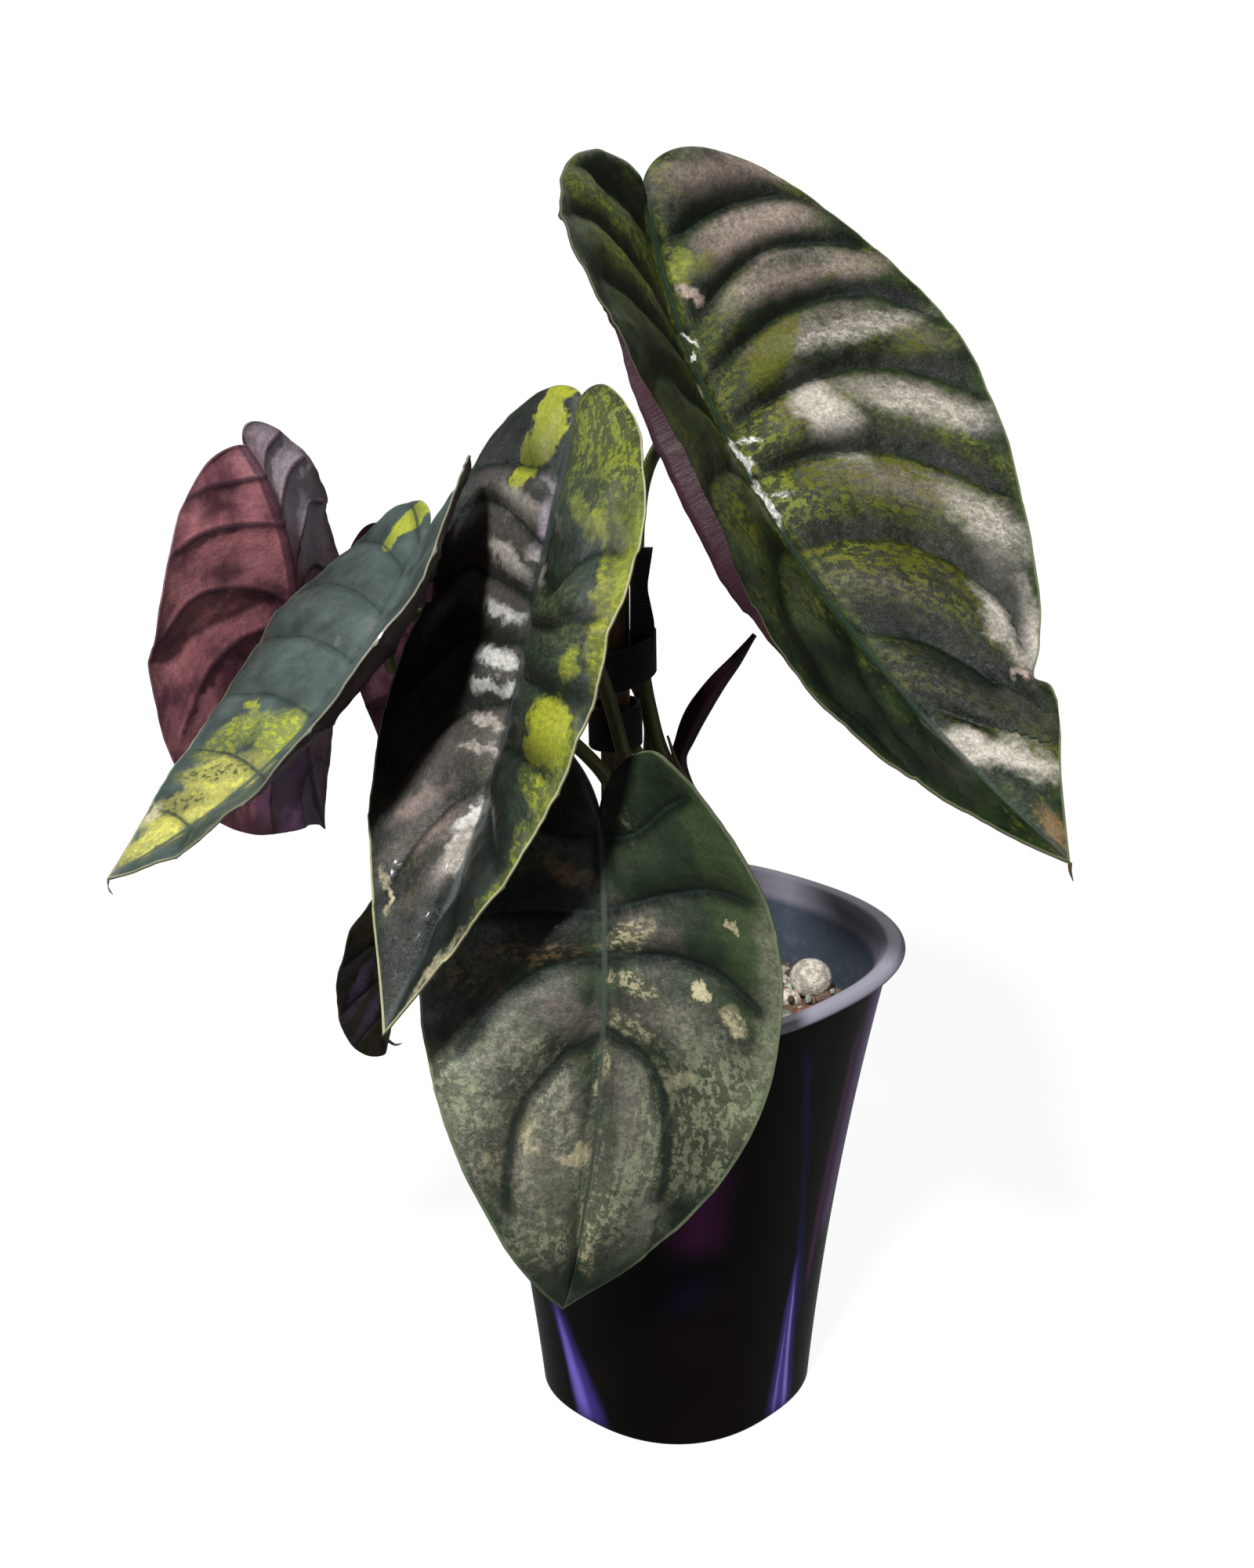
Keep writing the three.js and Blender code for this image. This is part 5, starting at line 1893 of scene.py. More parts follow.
LEAVES = (
    LeafShape("right", (10, -17.5, 342), 36, 51, 9.5, 176.5, 63, (70, 77), (80.5, 84.5), 18.5, 12,
              (0.21, 0.37), (-17.5, -6), -42, (22, -13), 7.5, (25.5, 13.5, 12.5), (17, 22, 15.5),
              (11, 14.5), 9, 3.5, 256, 70,
              (Notch(1, 0.787, 2, 0.02), Notch(1, 0.812, 5.5, 0.014), Notch(1, 0.868, -2.2, 0.03)),
              (0.35, 0.72, 4.6), ((0.2, 0.0, -2.5), (1.2, 0.3, -5.5))),
    LeafShape("centre", (-38.5, -62, 286.5), -36, 70.5, -15.5, 126, 61.5, (66, 65.5), (57, 57), 11.5, -6.5,
              (0.18, 0.31), (-13.5, -14.5), 12.5, (2, -6), -17.5, (-6, 25, 3.5), (35.5, 45.5, 11.5),
              (5, -38), 9, 3.0, 220, 60, (), None, ((1.2, 0.4, -1.6), (3.2, 0.2, -2.9), (5.2, -0.5, -2.2))),
    LeafShape("front", (-20.5, -81, 201), -2.5, 77.5, 0, 133.5, 30, (56, 49.5), (55.5, 53.5), 24, 13.5,
              (0.18, 0.33), (28, 2.5), 2, (-13, -2.5), -28.5, (13, 18, -23), (14.5, 12.5, 34.5),
              (-46.5, 13), 8, 2.9, 210, 60),
    LeafShape("back_left", (-117.5, 19, 273), 189.5, 69.5, 54, 110, 50.5, (56, 53), (50, 60), 9, 30.5,
              (0.31, 0.11), (0, -0.5), -78, (-7.5, -9.5), -7, (22, 0, 18.5), (22.5, -16.5, 16),
              (-9.5, -10.5), 8, 1.5, 168, 48),
    LeafShape("front_left", (-83.5, -40.5, 279.5), -40, 46.5, -3.5, 109.5, 31, (49.5, 43), (57.5, 61.5), 23.5,
              12.5, (0.18, 0.28), (-28, 9), 19, (-32, 1), -1.5, (4.5, -3, -7), (17.5, 28, 28.5),
              (-28, 39), 8, 1.3, 168, 48, (), None, ((-0.4, 0.5, -2.5), (0.8, 1.0, -5.0))),
    LeafShape("low_left", (-84, 15.5, 164.5), 246.5, 65.5, 0.5, 62, 17.5, (25, 25), (28, 29.5), 12, 7.5,
              (0.03, 0.33), (13, 0.5), -3, (-10, -10), -1.5, (15, 15, 15), (20, 13.5, 15),
              (-10, -6.5), 6, 0.7, 110, 30),
    LeafShape("behind", (-76.5, 49, 259.5), 177, 78, -8, 80.5, 18, (26, 26), (37.5, 37.5), 16, 8.5,
              (0.14, 0.28), (19.5, 0.5), 0, (-1, -3.5), -5.5, (15, 15, 15), (27, 9.5, 15),
              (-10, 5), 6, 0.8, 110, 30),
)

VEINS: dict[str, tuple[tuple[Line, ...], tuple[Line, ...]]] = {
    "right": ((), (
        ((-47.5, 0), (-48.6, 8.9), (-53.7, 18.4), (-58.6, 31), (-60, 45.9), (-54.5, 59.6)),
        ((-19, 0), (-19.8, 5.4), (-33.6, 22.4), (-41.1, 36), (-42.6, 52.4), (-37.3, 69.9)),
        ((-2, 0), (-2.8, 4.2), (-10.6, 18.8), (-17.5, 34.3), (-20.9, 49.3), (-20.6, 57.2), (-15.8, 68.6),
         (1.1, 81.9)),
        ((15, 0), (14.3, 2.8), (9.4, 23.7), (7.2, 40.7), (10.4, 55.4), (18.9, 67.7), (33.9, 79.8)),
        ((32, 0), (31.9, 2.6), (31.3, 15.1), (33.6, 27.4), (40.2, 43.3), (50.5, 53.5), (68.4, 62.9)),
        ((55.4, 0), (55.6, 0.6), (59, 12.4), (65.3, 25.3), (75.4, 35.1), (87.9, 40.4), (105, 42.2), (120.1, 36.9)),
        ((83.2, 0), (83.7, 0.5), (92.1, 8.3), (100.3, 16.4), (112.2, 21.2), (122.7, 23.9)),
        ((113.8, 0), (119.8, 5.6), (132, 12.8)),
    )),
    "centre": ((
        ((-41.2, 0), (-41.2, 7), (-42, 31.5), (-39.1, 45.9)),
        ((-20, 0), (-20.9, 3.8), (-26.9, 17.3), (-30.7, 31.9), (-27.1, 43.4), (-21.7, 54.3)),
        ((-4, 0), (-6, 7), (-9.1, 24), (-11, 36), (-6.5, 45), (7.5, 54)),
        ((7.4, 0), (7.8, 3.1), (9.2, 15.3), (7.9, 27.3), (14.6, 35.4), (27.2, 44)),
        ((23.9, 0), (27.7, 10.8), (33, 21.7), (44.8, 29), (60.3, 34)),
        ((47, 0), (52.4, 7.2), (62.1, 14.6), (75.4, 19.5), (88, 21)),
    ), (
        ((-26, 0), (-18, 8), (-6.8, 20.6), (-15.2, 33.2), (-19.7, 41.1), (-20.4, 49.9)),
        ((-3, 0), (2, 10), (2.1, 28.4), (-0.8, 38.8), (-3, 55.5)),
        ((14, 0), (17, 8), (18, 21), (19.4, 32.2), (22, 50)),
        ((32, 0), (37, 9), (38.5, 21.1), (42, 38.3), (50, 50)),
        ((52, 0), (57, 10), (64, 22), (76, 33)),
        ((76, 0), (83, 8), (93, 14)),
    )),
    "front": ((
        ((-26, 0), (-27, 12), (-34, 26), (-38, 36)),
        ((-2.3, 0), (-3.8, 9.1), (-4, 22), (-2, 38)),
        ((10.9, 0), (10.9, 9.2), (15.3, 20.8), (26, 32.5), (39.3, 41)),
        ((33.6, 0), (37.7, 9), (45.2, 16.7), (53.8, 22.5), (65.7, 25.3), (78, 25.8), (87.6, 25.6)),
    ), (
        ((-24, 0), (-26, 12), (-33, 24), (-37, 34)),
        ((-3.5, 0), (-5.6, 8.4), (-9, 20), (-11, 36), (-8, 48)),
        ((9.7, 0), (8.7, 10.7), (8.4, 20.5), (12, 34), (21, 47)),
        ((31.5, 0), (35.8, 8.3), (40.8, 14.8), (49.3, 18.5), (59.8, 20.8), (73, 21.7), (83.5, 21.4)),
    )),
    "back_left": ((), (
        ((-40.3, 0), (-43.5, 10.4), (-45.9, 17.8), (-47, 30)),
        ((-24.3, 0), (-30.1, 13), (-34, 25.4), (-33.7, 38)),
        ((7, 0), (5, 1), (-6.5, 12.1), (-14.4, 27.9), (-15.5, 37.1), (-9.1, 48)),
        ((9.5, 0), (8, 21.5), (10.1, 33.9), (16.2, 42.5), (22.9, 52)),
        ((30, 0), (31, 16), (37, 31), (48, 41)),
        ((52, 0), (55, 14), (63, 26), (74, 33)),
        ((75, 0), (80, 9), (89, 16)),
    )),
}

SKINS: dict[str, LeafSkin] = {
    "right": LeafSkin(
        dark=(0.004, 0.010, 0.004), green=(0.028, 0.050, 0.012), bloom_and_highlight=(0.46, 0.385, 0.345), bloom_and_highlight_left=0.08,
        bloom_and_highlight_right=0.75, bloom_and_highlight_from=6.0, foil=0.62, gold_share=0.30, shade=0.95, metal=0.35, coat=0.0, gloss=0.2,
        under=(0.045, 0.018, 0.026), under_light=(0.10, 0.042, 0.055), margin_width=0.6,
        patches=(
            Patch(104, 24, 34, 17, 5, Tone.DARK, 0.92, 0.5, 0.1),
            Patch(68, 22, 27, 14, 30, Tone.DARK, 0.85, 0.6, 0.25),
            Patch(114, 8, 20, 13.0, 22, Tone.DARK, 0.85, 0.6, 0),
            Patch(30, 4, 52, 20, 4, Tone.GOLD, 0.9, 0.7, 0.92),
            Patch(-30, -6, 30, 12, 0, Tone.GOLD, 0.7, 0.7, 0.95),
            Patch(40, 40, 40, 16, 30, Tone.GOLD, 0.75, 0.7, 0.9),
            Patch(80, 30, 34, 12, 12, Tone.GOLD, 0.75, 0.7, 0.9),
            Patch(4, 62, 16, 9, 70, Tone.GOLD, 0.7, 0.7, 0.85),
            Patch(-67, 27, 19, 6.5, -83, Tone.ROSE, 0.9, 0.8, 0.2),
            Patch(-46, 32, 19, 6.0, -69, Tone.ROSE, 0.8, 0.8, 0.2),
            Patch(-29, 49, 24, 5.0, -85, Tone.ROSE, 0.55, 0.8, 0.3),
            # Silver patches: metallic bloom, partly painted highlight on swellings facing the light.
            Patch(-5, 53, 22, 4.5, 88, Tone.SILVER_AND_HIGHLIGHT, 0.7, 0.7, 0.5),
            Patch(22, 32, 16, 7.0, 7, Tone.SILVER_AND_HIGHLIGHT, 0.95, 0.5, 0.1),
            Patch(32, 62, 20, 6.0, 45, Tone.SILVER_AND_HIGHLIGHT, 0.8, 0.7, 0.4),
            Patch(53, 39, 15, 4.0, 39, Tone.MAUVE, 0.5, 0.8, 0.6),
            Patch(79, 56, 15, 6.0, 12, Tone.SILVER_AND_HIGHLIGHT, 0.75, 0.7, 0.4),
            Patch(107, 43, 20, 7.5, -17, Tone.SILVER_AND_HIGHLIGHT, 0.95, 0.5, 0.1),
            Patch(140, 9, 18, 4.0, 28, Tone.SILVER_AND_HIGHLIGHT, 0.95, 0.6, 0.1),
            Patch(78, 15, 15, 4.0, 43, Tone.MAUVE, 0.3, 0.8, 0.6),
            Patch(-5, 26, 15, 5.5, -47, Tone.GOLD, 0.85, 0.25, 0.15),
            Patch(8, 65, 7, 3.0, 85, Tone.GOLD, 0.8, 0.5, 0.4),
            Patch(-27, 53, 3, 2.2, -53, Tone.GOLD, 0.7, 0.6, 0.2),
            Patch(-39, 13, 5, 3.5, -69, Tone.GOLD, 0.7, 0.5, 0.2),
            Patch(66, 32, 16, 7.0, 29, Tone.GOLD, 0.8, 0.6, 0.6),
            Patch(41, 29, 18, 4.0, 64, Tone.GOLD, 0.7, 0.7, 0.9),
            Patch(63, 10, 13, 4.0, 42, Tone.GOLD, 0.8, 0.7, 0.9),
            Patch(54, 66, 18, 4.0, 19, Tone.GOLDY, 0.7, 0.7, 0.85),
            Patch(66, 32, 16, 4.0, 29, Tone.GOLDY, 0.7, 0.6, 0.85),
            Patch(20, 14, 16, 6.0, -30, Tone.GOLDY, 0.5, 0.7, 0.95),
            Patch(46, 10, 20, 6.0, 20, Tone.GOLDY, 0.5, 0.7, 0.95),
            Patch(108, 21, 3, 2.2, 28, Tone.GOLD, 0.9, 0.3, 0),
            Patch(120, 10, 24, 5.0, 20, Tone.GOLD, 0.5, 0.8, 1),
            Patch(-36, 0, 28, 5.0, -10, Tone.GOLD, 0.6, 0.7, 1),
            Patch(-24, -26, 20, 6.0, 4, Tone.GOLD, 0.5, 0.8, 1),
            Patch(44, -45, 21, 8.0, 26, Tone.GOLD, 0.7, 0.8, 0.9),
            Patch(51, -34, 20, 8.0, 18, Tone.GOLD, 0.7, 0.7, 0.9),
            Patch(117, -29, 42, 14.0, 25, Tone.DARK, 0.7, 0.6, 0.1),
            Patch(-14, -39, 26, 6.0, -30, Tone.DARK, 0.6, 0.7, 0),
            Patch(-46, -38, 20, 16.0, 31, Tone.GREEN, 0.9, 0.7, 0.3),
            Patch(-43, -35, 20, 12.0, 41, Tone.GOLDY, 0.8, 0.8, 0.9),
            Patch(-30, -45, 20, 10.0, 10, Tone.GOLD, 0.6, 0.8, 0.8),
            Patch(169, 2, 9, 3.0, -21, Tone.TAN, 0.8, 0.6, 0.1),
            Patch(126, 31, 2, 1.8, 1, Tone.ROSE, 0.9, 0.5, 0),
            # Painted glints: white highlights along the midrib.
            Patch(-15, 3, 2.2, 1.3, 30, Tone.WHITE, 0.85, 0.4, 0.3, Layer.GLINT),
            Patch(-9, 1, 1.8, 1.1, -50, Tone.WHITE, 0.85, 0.4, 0.3, Layer.GLINT),
            Patch(4, -8, 4.5, 1.8, -75, Tone.WHITE, 0.85, 0.4, 0.2, Layer.GLINT),
            Patch(24, 1, 5.5, 1.7, 2, Tone.WHITE, 0.9, 0.4, 0.5, Layer.GLINT),
            Patch(41, 1, 7.5, 1.4, 2, Tone.WHITE, 0.9, 0.4, 0.6, Layer.GLINT),
            Patch(21, 6, 2.5, 1.2, 70, Tone.WHITE, 0.8, 0.4, 0.7, Layer.GLINT),
            Patch(40, 7, 2.5, 1.0, 70, Tone.WHITE, 0.7, 0.4, 0.7, Layer.GLINT),
            Patch(-30, 7, 3.5, 2.0, 40, Tone.ROSE, 0.8, 0.5, 0.3, Layer.GLINT),
            Patch(-38, 6, 5, 3.0, 0, Tone.GOLDY, 0.8, 0.5, 0.4, Layer.GLINT),
        ),
    ),
    "centre": LeafSkin(
        dark=(0.006, 0.011, 0.009), green=(0.022, 0.034, 0.024), bloom_and_highlight=(0.085, 0.078, 0.080), bloom_and_highlight_left=0.3,
        bloom_and_highlight_right=0.2, foil=0.8, gold_share=0.12, shade=0.65, metal=0.25, rough=0.33, coat=0.08, gloss=0.3,
        rib=(0.040, 0.055, 0.052), rib_half=2.3, margin=(0.42, 0.42, 0.24), margin_width=0.6,
        patches=(
            Patch(0, -8, 50, 9, 4, Tone.MAUVE, 0.25, 0.8, 0),
            Patch(55, -14, 32, 12, -8, Tone.MAUVE, 0.4, 0.8, 0.2),
            Patch(-26, -30, 18, 16, 0, Tone.MAUVE, 0.4, 0.7, 0.2),
            Patch(-55, -10, 13, 6.5, -3, Tone.LIME, 1, 0.12, 0),
            Patch(-43, -17, 9, 5.5, -13, Tone.LIME, 1, 0.12, 0.1),
            # Painted highlights: silver and white streaks on the swellings beside the midrib.
            Patch(-30, -15, 11, 4.0, 70, Tone.SILVER_AND_HIGHLIGHT, 0.6, 0.6, 0),
            Patch(-15, -17, 11, 3.0, 67, Tone.SILVER_AND_HIGHLIGHT, 0.75, 0.5, 0.2),
            Patch(0, -13, 9, 2.2, 81, Tone.WHITE, 0.75, 0.55, 0.2),
            Patch(14, -11, 9, 3.0, 84, Tone.WHITE, 0.8, 0.4, 0.2),
            Patch(22, -9, 8, 2.0, -89, Tone.WHITE, 0.8, 0.4, 0.2),
            Patch(32, -9, 8, 2.0, 84, Tone.SILVER_AND_HIGHLIGHT, 0.75, 0.5, 0.4),
            Patch(40, -7, 8, 1.5, 87, Tone.SILVER_AND_HIGHLIGHT, 0.6, 0.5, 0.4),
            Patch(57, -2, 10, 2.4, -40, Tone.WHITE, 0.85, 0.4, 0.2),
            Patch(71, -5, 9, 2.8, -12, Tone.SILVER_AND_HIGHLIGHT, 0.75, 0.5, 0.3),
            Patch(64, -16, 9, 5.0, -64, Tone.ROSE, 0.45, 0.8, 0.4),
            Patch(58, -20, 10, 3.0, -44, Tone.ROSE, 0.5, 0.6, 0.1),
            Patch(72, -19, 9, 3.0, -41, Tone.ROSE, 0.45, 0.6, 0.1),
            Patch(85, -9, 12, 3.0, -30, Tone.ROSE, 0.2, 0.8, 0.1),
            Patch(104, -4, 22, 12.0, 20, Tone.DARK, 0.85, 0.7, 0),
            Patch(96, 18, 14, 8.0, -28, Tone.DARK, 0.6, 0.7, 0),
            Patch(-9, -33, 20, 8.0, 71, Tone.MAUVE, 0.55, 0.8, 0.3),
            Patch(49, -28, 15, 8.0, -28, Tone.MAUVE, 0.45, 0.8, 0.3),
            Patch(-26, -3, 8, 3.0, -3, Tone.SLATE, 0.6, 0.6, 0),
            Patch(-32, 7, 15, 2.0, 60, Tone.SLATE, 0.45, 0.5, 0),
            Patch(-13, 5, 12, 2.0, 67, Tone.SILVER_AND_HIGHLIGHT, 0.5, 0.5, 0.2),
            Patch(-53, 27, 22, 9.0, 63, Tone.GOLDY, 0.9, 0.5, 0.85),
            Patch(-28, 32, 10, 3.0, 55, Tone.LIME, 0.8, 0.3, 0.5),
            Patch(-22, 49, 16, 6.0, 33, Tone.GOLDY, 0.95, 0.5, 0.6),
            Patch(-1, 34, 18, 8.0, 69, Tone.GOLD, 0.8, 0.8, 0.9),
            Patch(44, 38, 10, 5.0, 70, Tone.GOLDY, 0.9, 0.5, 0.7),
            Patch(62, 38, 11, 4.0, -22, Tone.GOLDY, 0.8, 0.6, 0.85),
            Patch(5, 30, 62, 17, 12, Tone.MOSS, 0.55, 0.6, 0.5),
            Patch(-50, 19, 13, 9.0, 11, Tone.GOLDY, 0.8, 0.7, 0.8),
            Patch(-40, 38, 14, 8.0, 17, Tone.GOLDY, 0.8, 0.7, 0.8),
            Patch(-26, 39, 5, 2.6, 32, Tone.LIME, 0.9, 0.3, 0),
            Patch(-22, 52, 14, 3.2, 15, Tone.GOLDY, 0.9, 0.6, 0.4),
            Patch(0, 54, 14, 4.0, 6, Tone.LIME, 0.8, 0.6, 0.5),
            Patch(11, 44, 5, 4.0, -18, Tone.LIME, 0.8, 0.4, 0.3),
            Patch(-10, 48, 8, 2.0, 27, Tone.LIME, 0.7, 0.5, 0.5),
            Patch(30, 39, 11, 8.0, 38, Tone.LIME, 1, 0.15, 0.1),
            Patch(37, 32, 6, 3.5, 78, Tone.LIME, 1, 0.15, 0),
            Patch(46, 39, 5, 4.0, 12, Tone.LIME, 0.8, 0.5, 0.8),
            Patch(42, 46, 16, 2.5, -14, Tone.GOLDY, 0.9, 0.6, 0.6),
            Patch(72, 34, 21, 2.5, -28, Tone.GOLDY, 0.9, 0.6, 0.7),
            Patch(105, 13, 14, 1.5, -29, Tone.CREAM, 0.8, 0.6, 0.4),
            Patch(88, -20, 6, 1.2, 29, Tone.CREAM, 0.9, 0.5, 0.1),
        ),
    ),
    "front": LeafSkin(
        dark=(0.010, 0.018, 0.012), green=(0.046, 0.070, 0.038), bloom_and_highlight=(0.33, 0.31, 0.265), bloom_and_highlight_left=0.65,
        bloom_and_highlight_right=0.62, foil=0.45, gold=(0.20, 0.21, 0.12), gold_share=0.18, shade=0.5, valley_shade=0.9,
        valley_shade_reach=4.6, metal=0.3, rough=0.38, coat=0.08, gloss=0.3, rib=(0.055, 0.075, 0.060), rib_half=0.9,
        vein=(0.018, 0.032, 0.026), margin=(0.15, 0.19, 0.11), margin_width=0.9,
        patches=(
            Patch(-28, 26, 26, 24, 0, Tone.FERN, 0.9, 0.5, 0),
            Patch(8, 34, 16, 14, 20, Tone.FERN, 0.7, 0.6, 0.1),
            Patch(-7, 43, 38, 9.0, 11, Tone.GREEN, 0.8, 0.5, 0.1),
            # Painted shadow: the shade that the centre blade casts on this blade's upper left.
            Patch(-2, -14, 22, 11.0, -32, Tone.DARK, 0.9, 0.5, 0),
            Patch(92, 10, 24, 10.0, 5, Tone.DARK, 0.25, 0.8, 0.3),
            Patch(0, 13, 10, 5.0, 65, Tone.MAUVE, 0.85, 0.7, 0.2),
            Patch(27, -10, 10, 6.0, 53, Tone.MAUVE, 0.9, 0.7, 0.15),
            Patch(26, 13, 9, 5.0, 89, Tone.MAUVE, 0.7, 0.8, 0.3),
            Patch(64, 12, 29, 6.0, 15, Tone.MAUVE, 0.75, 0.7, 0.15),
            Patch(30, 26, 10, 6.0, 60, Tone.ASH, 0.45, 0.7, 0.3),
            Patch(35, -33, 9, 8.0, -74, Tone.ASH, 0.45, 0.7, 0.5),
            Patch(66, -31, 24, 12.0, 34, Tone.ASH, 0.9, 0.7, 0.5),
            Patch(60, -11, 25, 10.0, 27, Tone.ASH, 0.9, 0.6, 0.65),
            # Painted highlight: a pale sheen along the right margin.
            Patch(16, 50, 24, 4.0, -4, Tone.ASH, 0.5, 0.8, 0.2),
            Patch(46, 31, 17, 12.0, 83, Tone.MINT, 0.8, 0.8, 0.8),
            Patch(62, 28, 17, 13.0, -72, Tone.MINT, 0.8, 0.8, 0.8),
            Patch(92, -4, 20, 12.0, -58, Tone.MINT, 0.7, 0.8, 0.8),
            Patch(75, 22, 13, 7.0, -64, Tone.MINT, 0.6, 0.7, 0.9),
            Patch(50, -42, 12, 5.0, 45, Tone.MINT, 0.7, 0.8, 0.8),
            Patch(47, 44, 24, 4.0, -22, Tone.MINT, 0.5, 0.7, 0.6),
            Patch(50, -6, 22, 3.0, 6, Tone.DARK, 0.6, 0.7, 0.85),
            Patch(84, -10, 16, 4.0, 30, Tone.DARK, 0.5, 0.7, 0.9),
            Patch(43, 23, 5, 3.0, -79, Tone.CREAM, 0.9, 0.3, 0.35),
            Patch(71, -7, 5, 3.2, -85, Tone.CREAM, 0.9, 0.3, 0.35),
            Patch(64, -21, 6, 2.5, 21, Tone.CREAM, 0.7, 0.4, 0.5),
            Patch(18, 29, 3, 2.2, -3, Tone.CREAM, 1, 0.2, 0),
            Patch(24, 38, 4, 2.5, 28, Tone.CREAM, 0.7, 0.4, 0.6),
            Patch(-1, 40, 2, 1.2, 16, Tone.CREAM, 0.9, 0.3, 0),
            Patch(-15, -10, 7, 3.5, 73, Tone.TAN, 0.7, 0.4, 0.5),
            Patch(18, -39, 12, 5.0, 83, Tone.TAN, 0.5, 0.6, 0.95),
            Patch(9, -20, 16, 3.5, -89, Tone.TAN, 0.6, 0.6, 0.9),
            Patch(-29, 12, 4, 2.2, 33, Tone.CREAM, 0.4, 0.5, 0.9),
            Patch(3, 8, 8, 3.5, -67, Tone.CREAM, 0.8, 0.5, 0.85),
            Patch(17, 9, 7, 3.0, 72, Tone.CREAM, 0.7, 0.5, 0.9),
            Patch(30, 9, 7, 3.5, 72, Tone.CREAM, 0.8, 0.5, 0.85),
            Patch(44, 0, 10, 2.0, -4, Tone.CREAM, 0.7, 0.5, 0.8),
            Patch(101, 1, 12, 3.0, 9, Tone.CREAM, 0.6, 0.6, 0.8),
            Patch(72, -32, 2, 2.0, 36, Tone.CREAM, 0.7, 0.5, 0.3),
        ),
    ),
    "back_left": LeafSkin(
        under=(0.125, 0.042, 0.060), under_light=(0.47, 0.185, 0.215), under_vein=(0.050, 0.017, 0.030),
        margin=(0.05, 0.02, 0.03), rough=0.4,
        patches=(
            Patch(-22, -24, 44, 17.0, -16, Tone.SLATE, 0.97, 0.4, 0, layer=Layer.LOWER),
            Patch(-26, -10, 13, 3.0, 8, Tone.SILVER_AND_HIGHLIGHT, 0.35, 0.9, 0, layer=Layer.LOWER),
            Patch(-27, 19, 19, 5.0, -67, Tone.PINK, 0.6, 0.9, 0.1, layer=Layer.LOWER),
            Patch(-9, 31, 16, 6.0, -43, Tone.PINK, 0.7, 0.9, 0.1, layer=Layer.LOWER),
            Patch(5, 39, 7, 5.0, 76, Tone.PINK, 0.5, 0.9, 0.1, layer=Layer.LOWER),
            Patch(75, 11, 34, 17.0, -27, Tone.VIOLET, 0.95, 0.6, 0, layer=Layer.LOWER),
            Patch(14, -20, 7, 3.0, -54, Tone.LIME, 0.8, 0.5, 0, layer=Layer.LOWER),
        ),
    ),
    "front_left": LeafSkin(
        dark=(0.034, 0.054, 0.050), green=(0.072, 0.106, 0.098), bloom_and_highlight=(0.11, 0.14, 0.135), bloom_and_highlight_left=0.6,
        bloom_and_highlight_right=0.6, gold_share=0.0, shade=0.45, valley_shade=0.4, metal=0.1, rough=0.42, coat=0.15,
        rib=(0.05, 0.075, 0.07), rib_half=1.1, vein=(0.016, 0.030, 0.028), margin=(0.32, 0.34, 0.22),
        margin_width=0.6, under=(0.03, 0.012, 0.018), under_light=(0.07, 0.03, 0.04),
        patches=(
            Patch(-38, -9, 10, 5.5, -20, Tone.LIME, 1, 0.12, 0),
            Patch(-29, -13, 5, 3.5, -8, Tone.LIME, 1, 0.15, 0),
            Patch(45, -6, 10, 6.0, 4, Tone.LIME, 0.95, 0.3, 0.5),
            Patch(53, -21, 15, 7.0, -30, Tone.LIME, 0.9, 0.3, 0.6),
            Patch(65, -11, 15, 7.0, -52, Tone.YELLOW, 0.95, 0.3, 0.35),
            Patch(81, -8, 14, 7.0, -26, Tone.YELLOW, 0.95, 0.3, 0.3),
            Patch(92, -4, 12, 5.0, -8, Tone.YELLOW, 0.95, 0.3, 0.4),
            Patch(66, -13, 16, 3.5, -48, Tone.FERN, 0.9, 0.5, 0.85),
            Patch(84, -12, 14, 3.0, -28, Tone.FERN, 0.9, 0.5, 0.85),
            Patch(52, -14, 10, 3.0, 30, Tone.FERN, 0.85, 0.5, 0.85),
            Patch(89, -15, 4, 3.0, 25, Tone.CREAM, 0.8, 0.4, 0),
            Patch(41, -27, 5, 2.0, 80, Tone.LIME, 0.9, 0.4, 0),
            Patch(107, -1, 3, 2.0, 35, Tone.ROSE, 0.8, 0.5, 0),
            Patch(3, -2, 3, 3.0, -18, Tone.MAUVE, 0.5, 0.8, 0.1),
        ),
    ),
    "low_left": LeafSkin(
        dark=(0.008, 0.008, 0.004), green=(0.028, 0.026, 0.010), bloom_and_highlight_left=0.2, bloom_and_highlight_right=0.2, gold_share=0.0,
        under=(0.11, 0.09, 0.018), under_light=(0.27, 0.22, 0.050), rough=0.38,
        patches=tuple(
            Patch(*ellipse, tone, strength, soft, 0, layer)
            for layer in (Layer.LOWER, Layer.UPPER)
            for ellipse, tone, strength, soft in (
                ((12, 21, 17, 12.0, -45), Tone.OLIVE, 0.8, 0.7),
                ((26, 17, 11, 3.0, 22), Tone.LILAC, 0.9, 0.6),
                ((40, 9, 10, 3.0, 34), Tone.LILAC, 0.9, 0.6),
                ((59, 2, 5, 3.0, -31), Tone.TAN, 0.9, 0.5),
            )
        ),
    ),
    "behind": LeafSkin(
        under=(0.030, 0.010, 0.018), under_light=(0.080, 0.035, 0.055), margin=(0.06, 0.03, 0.04),
    ),
}


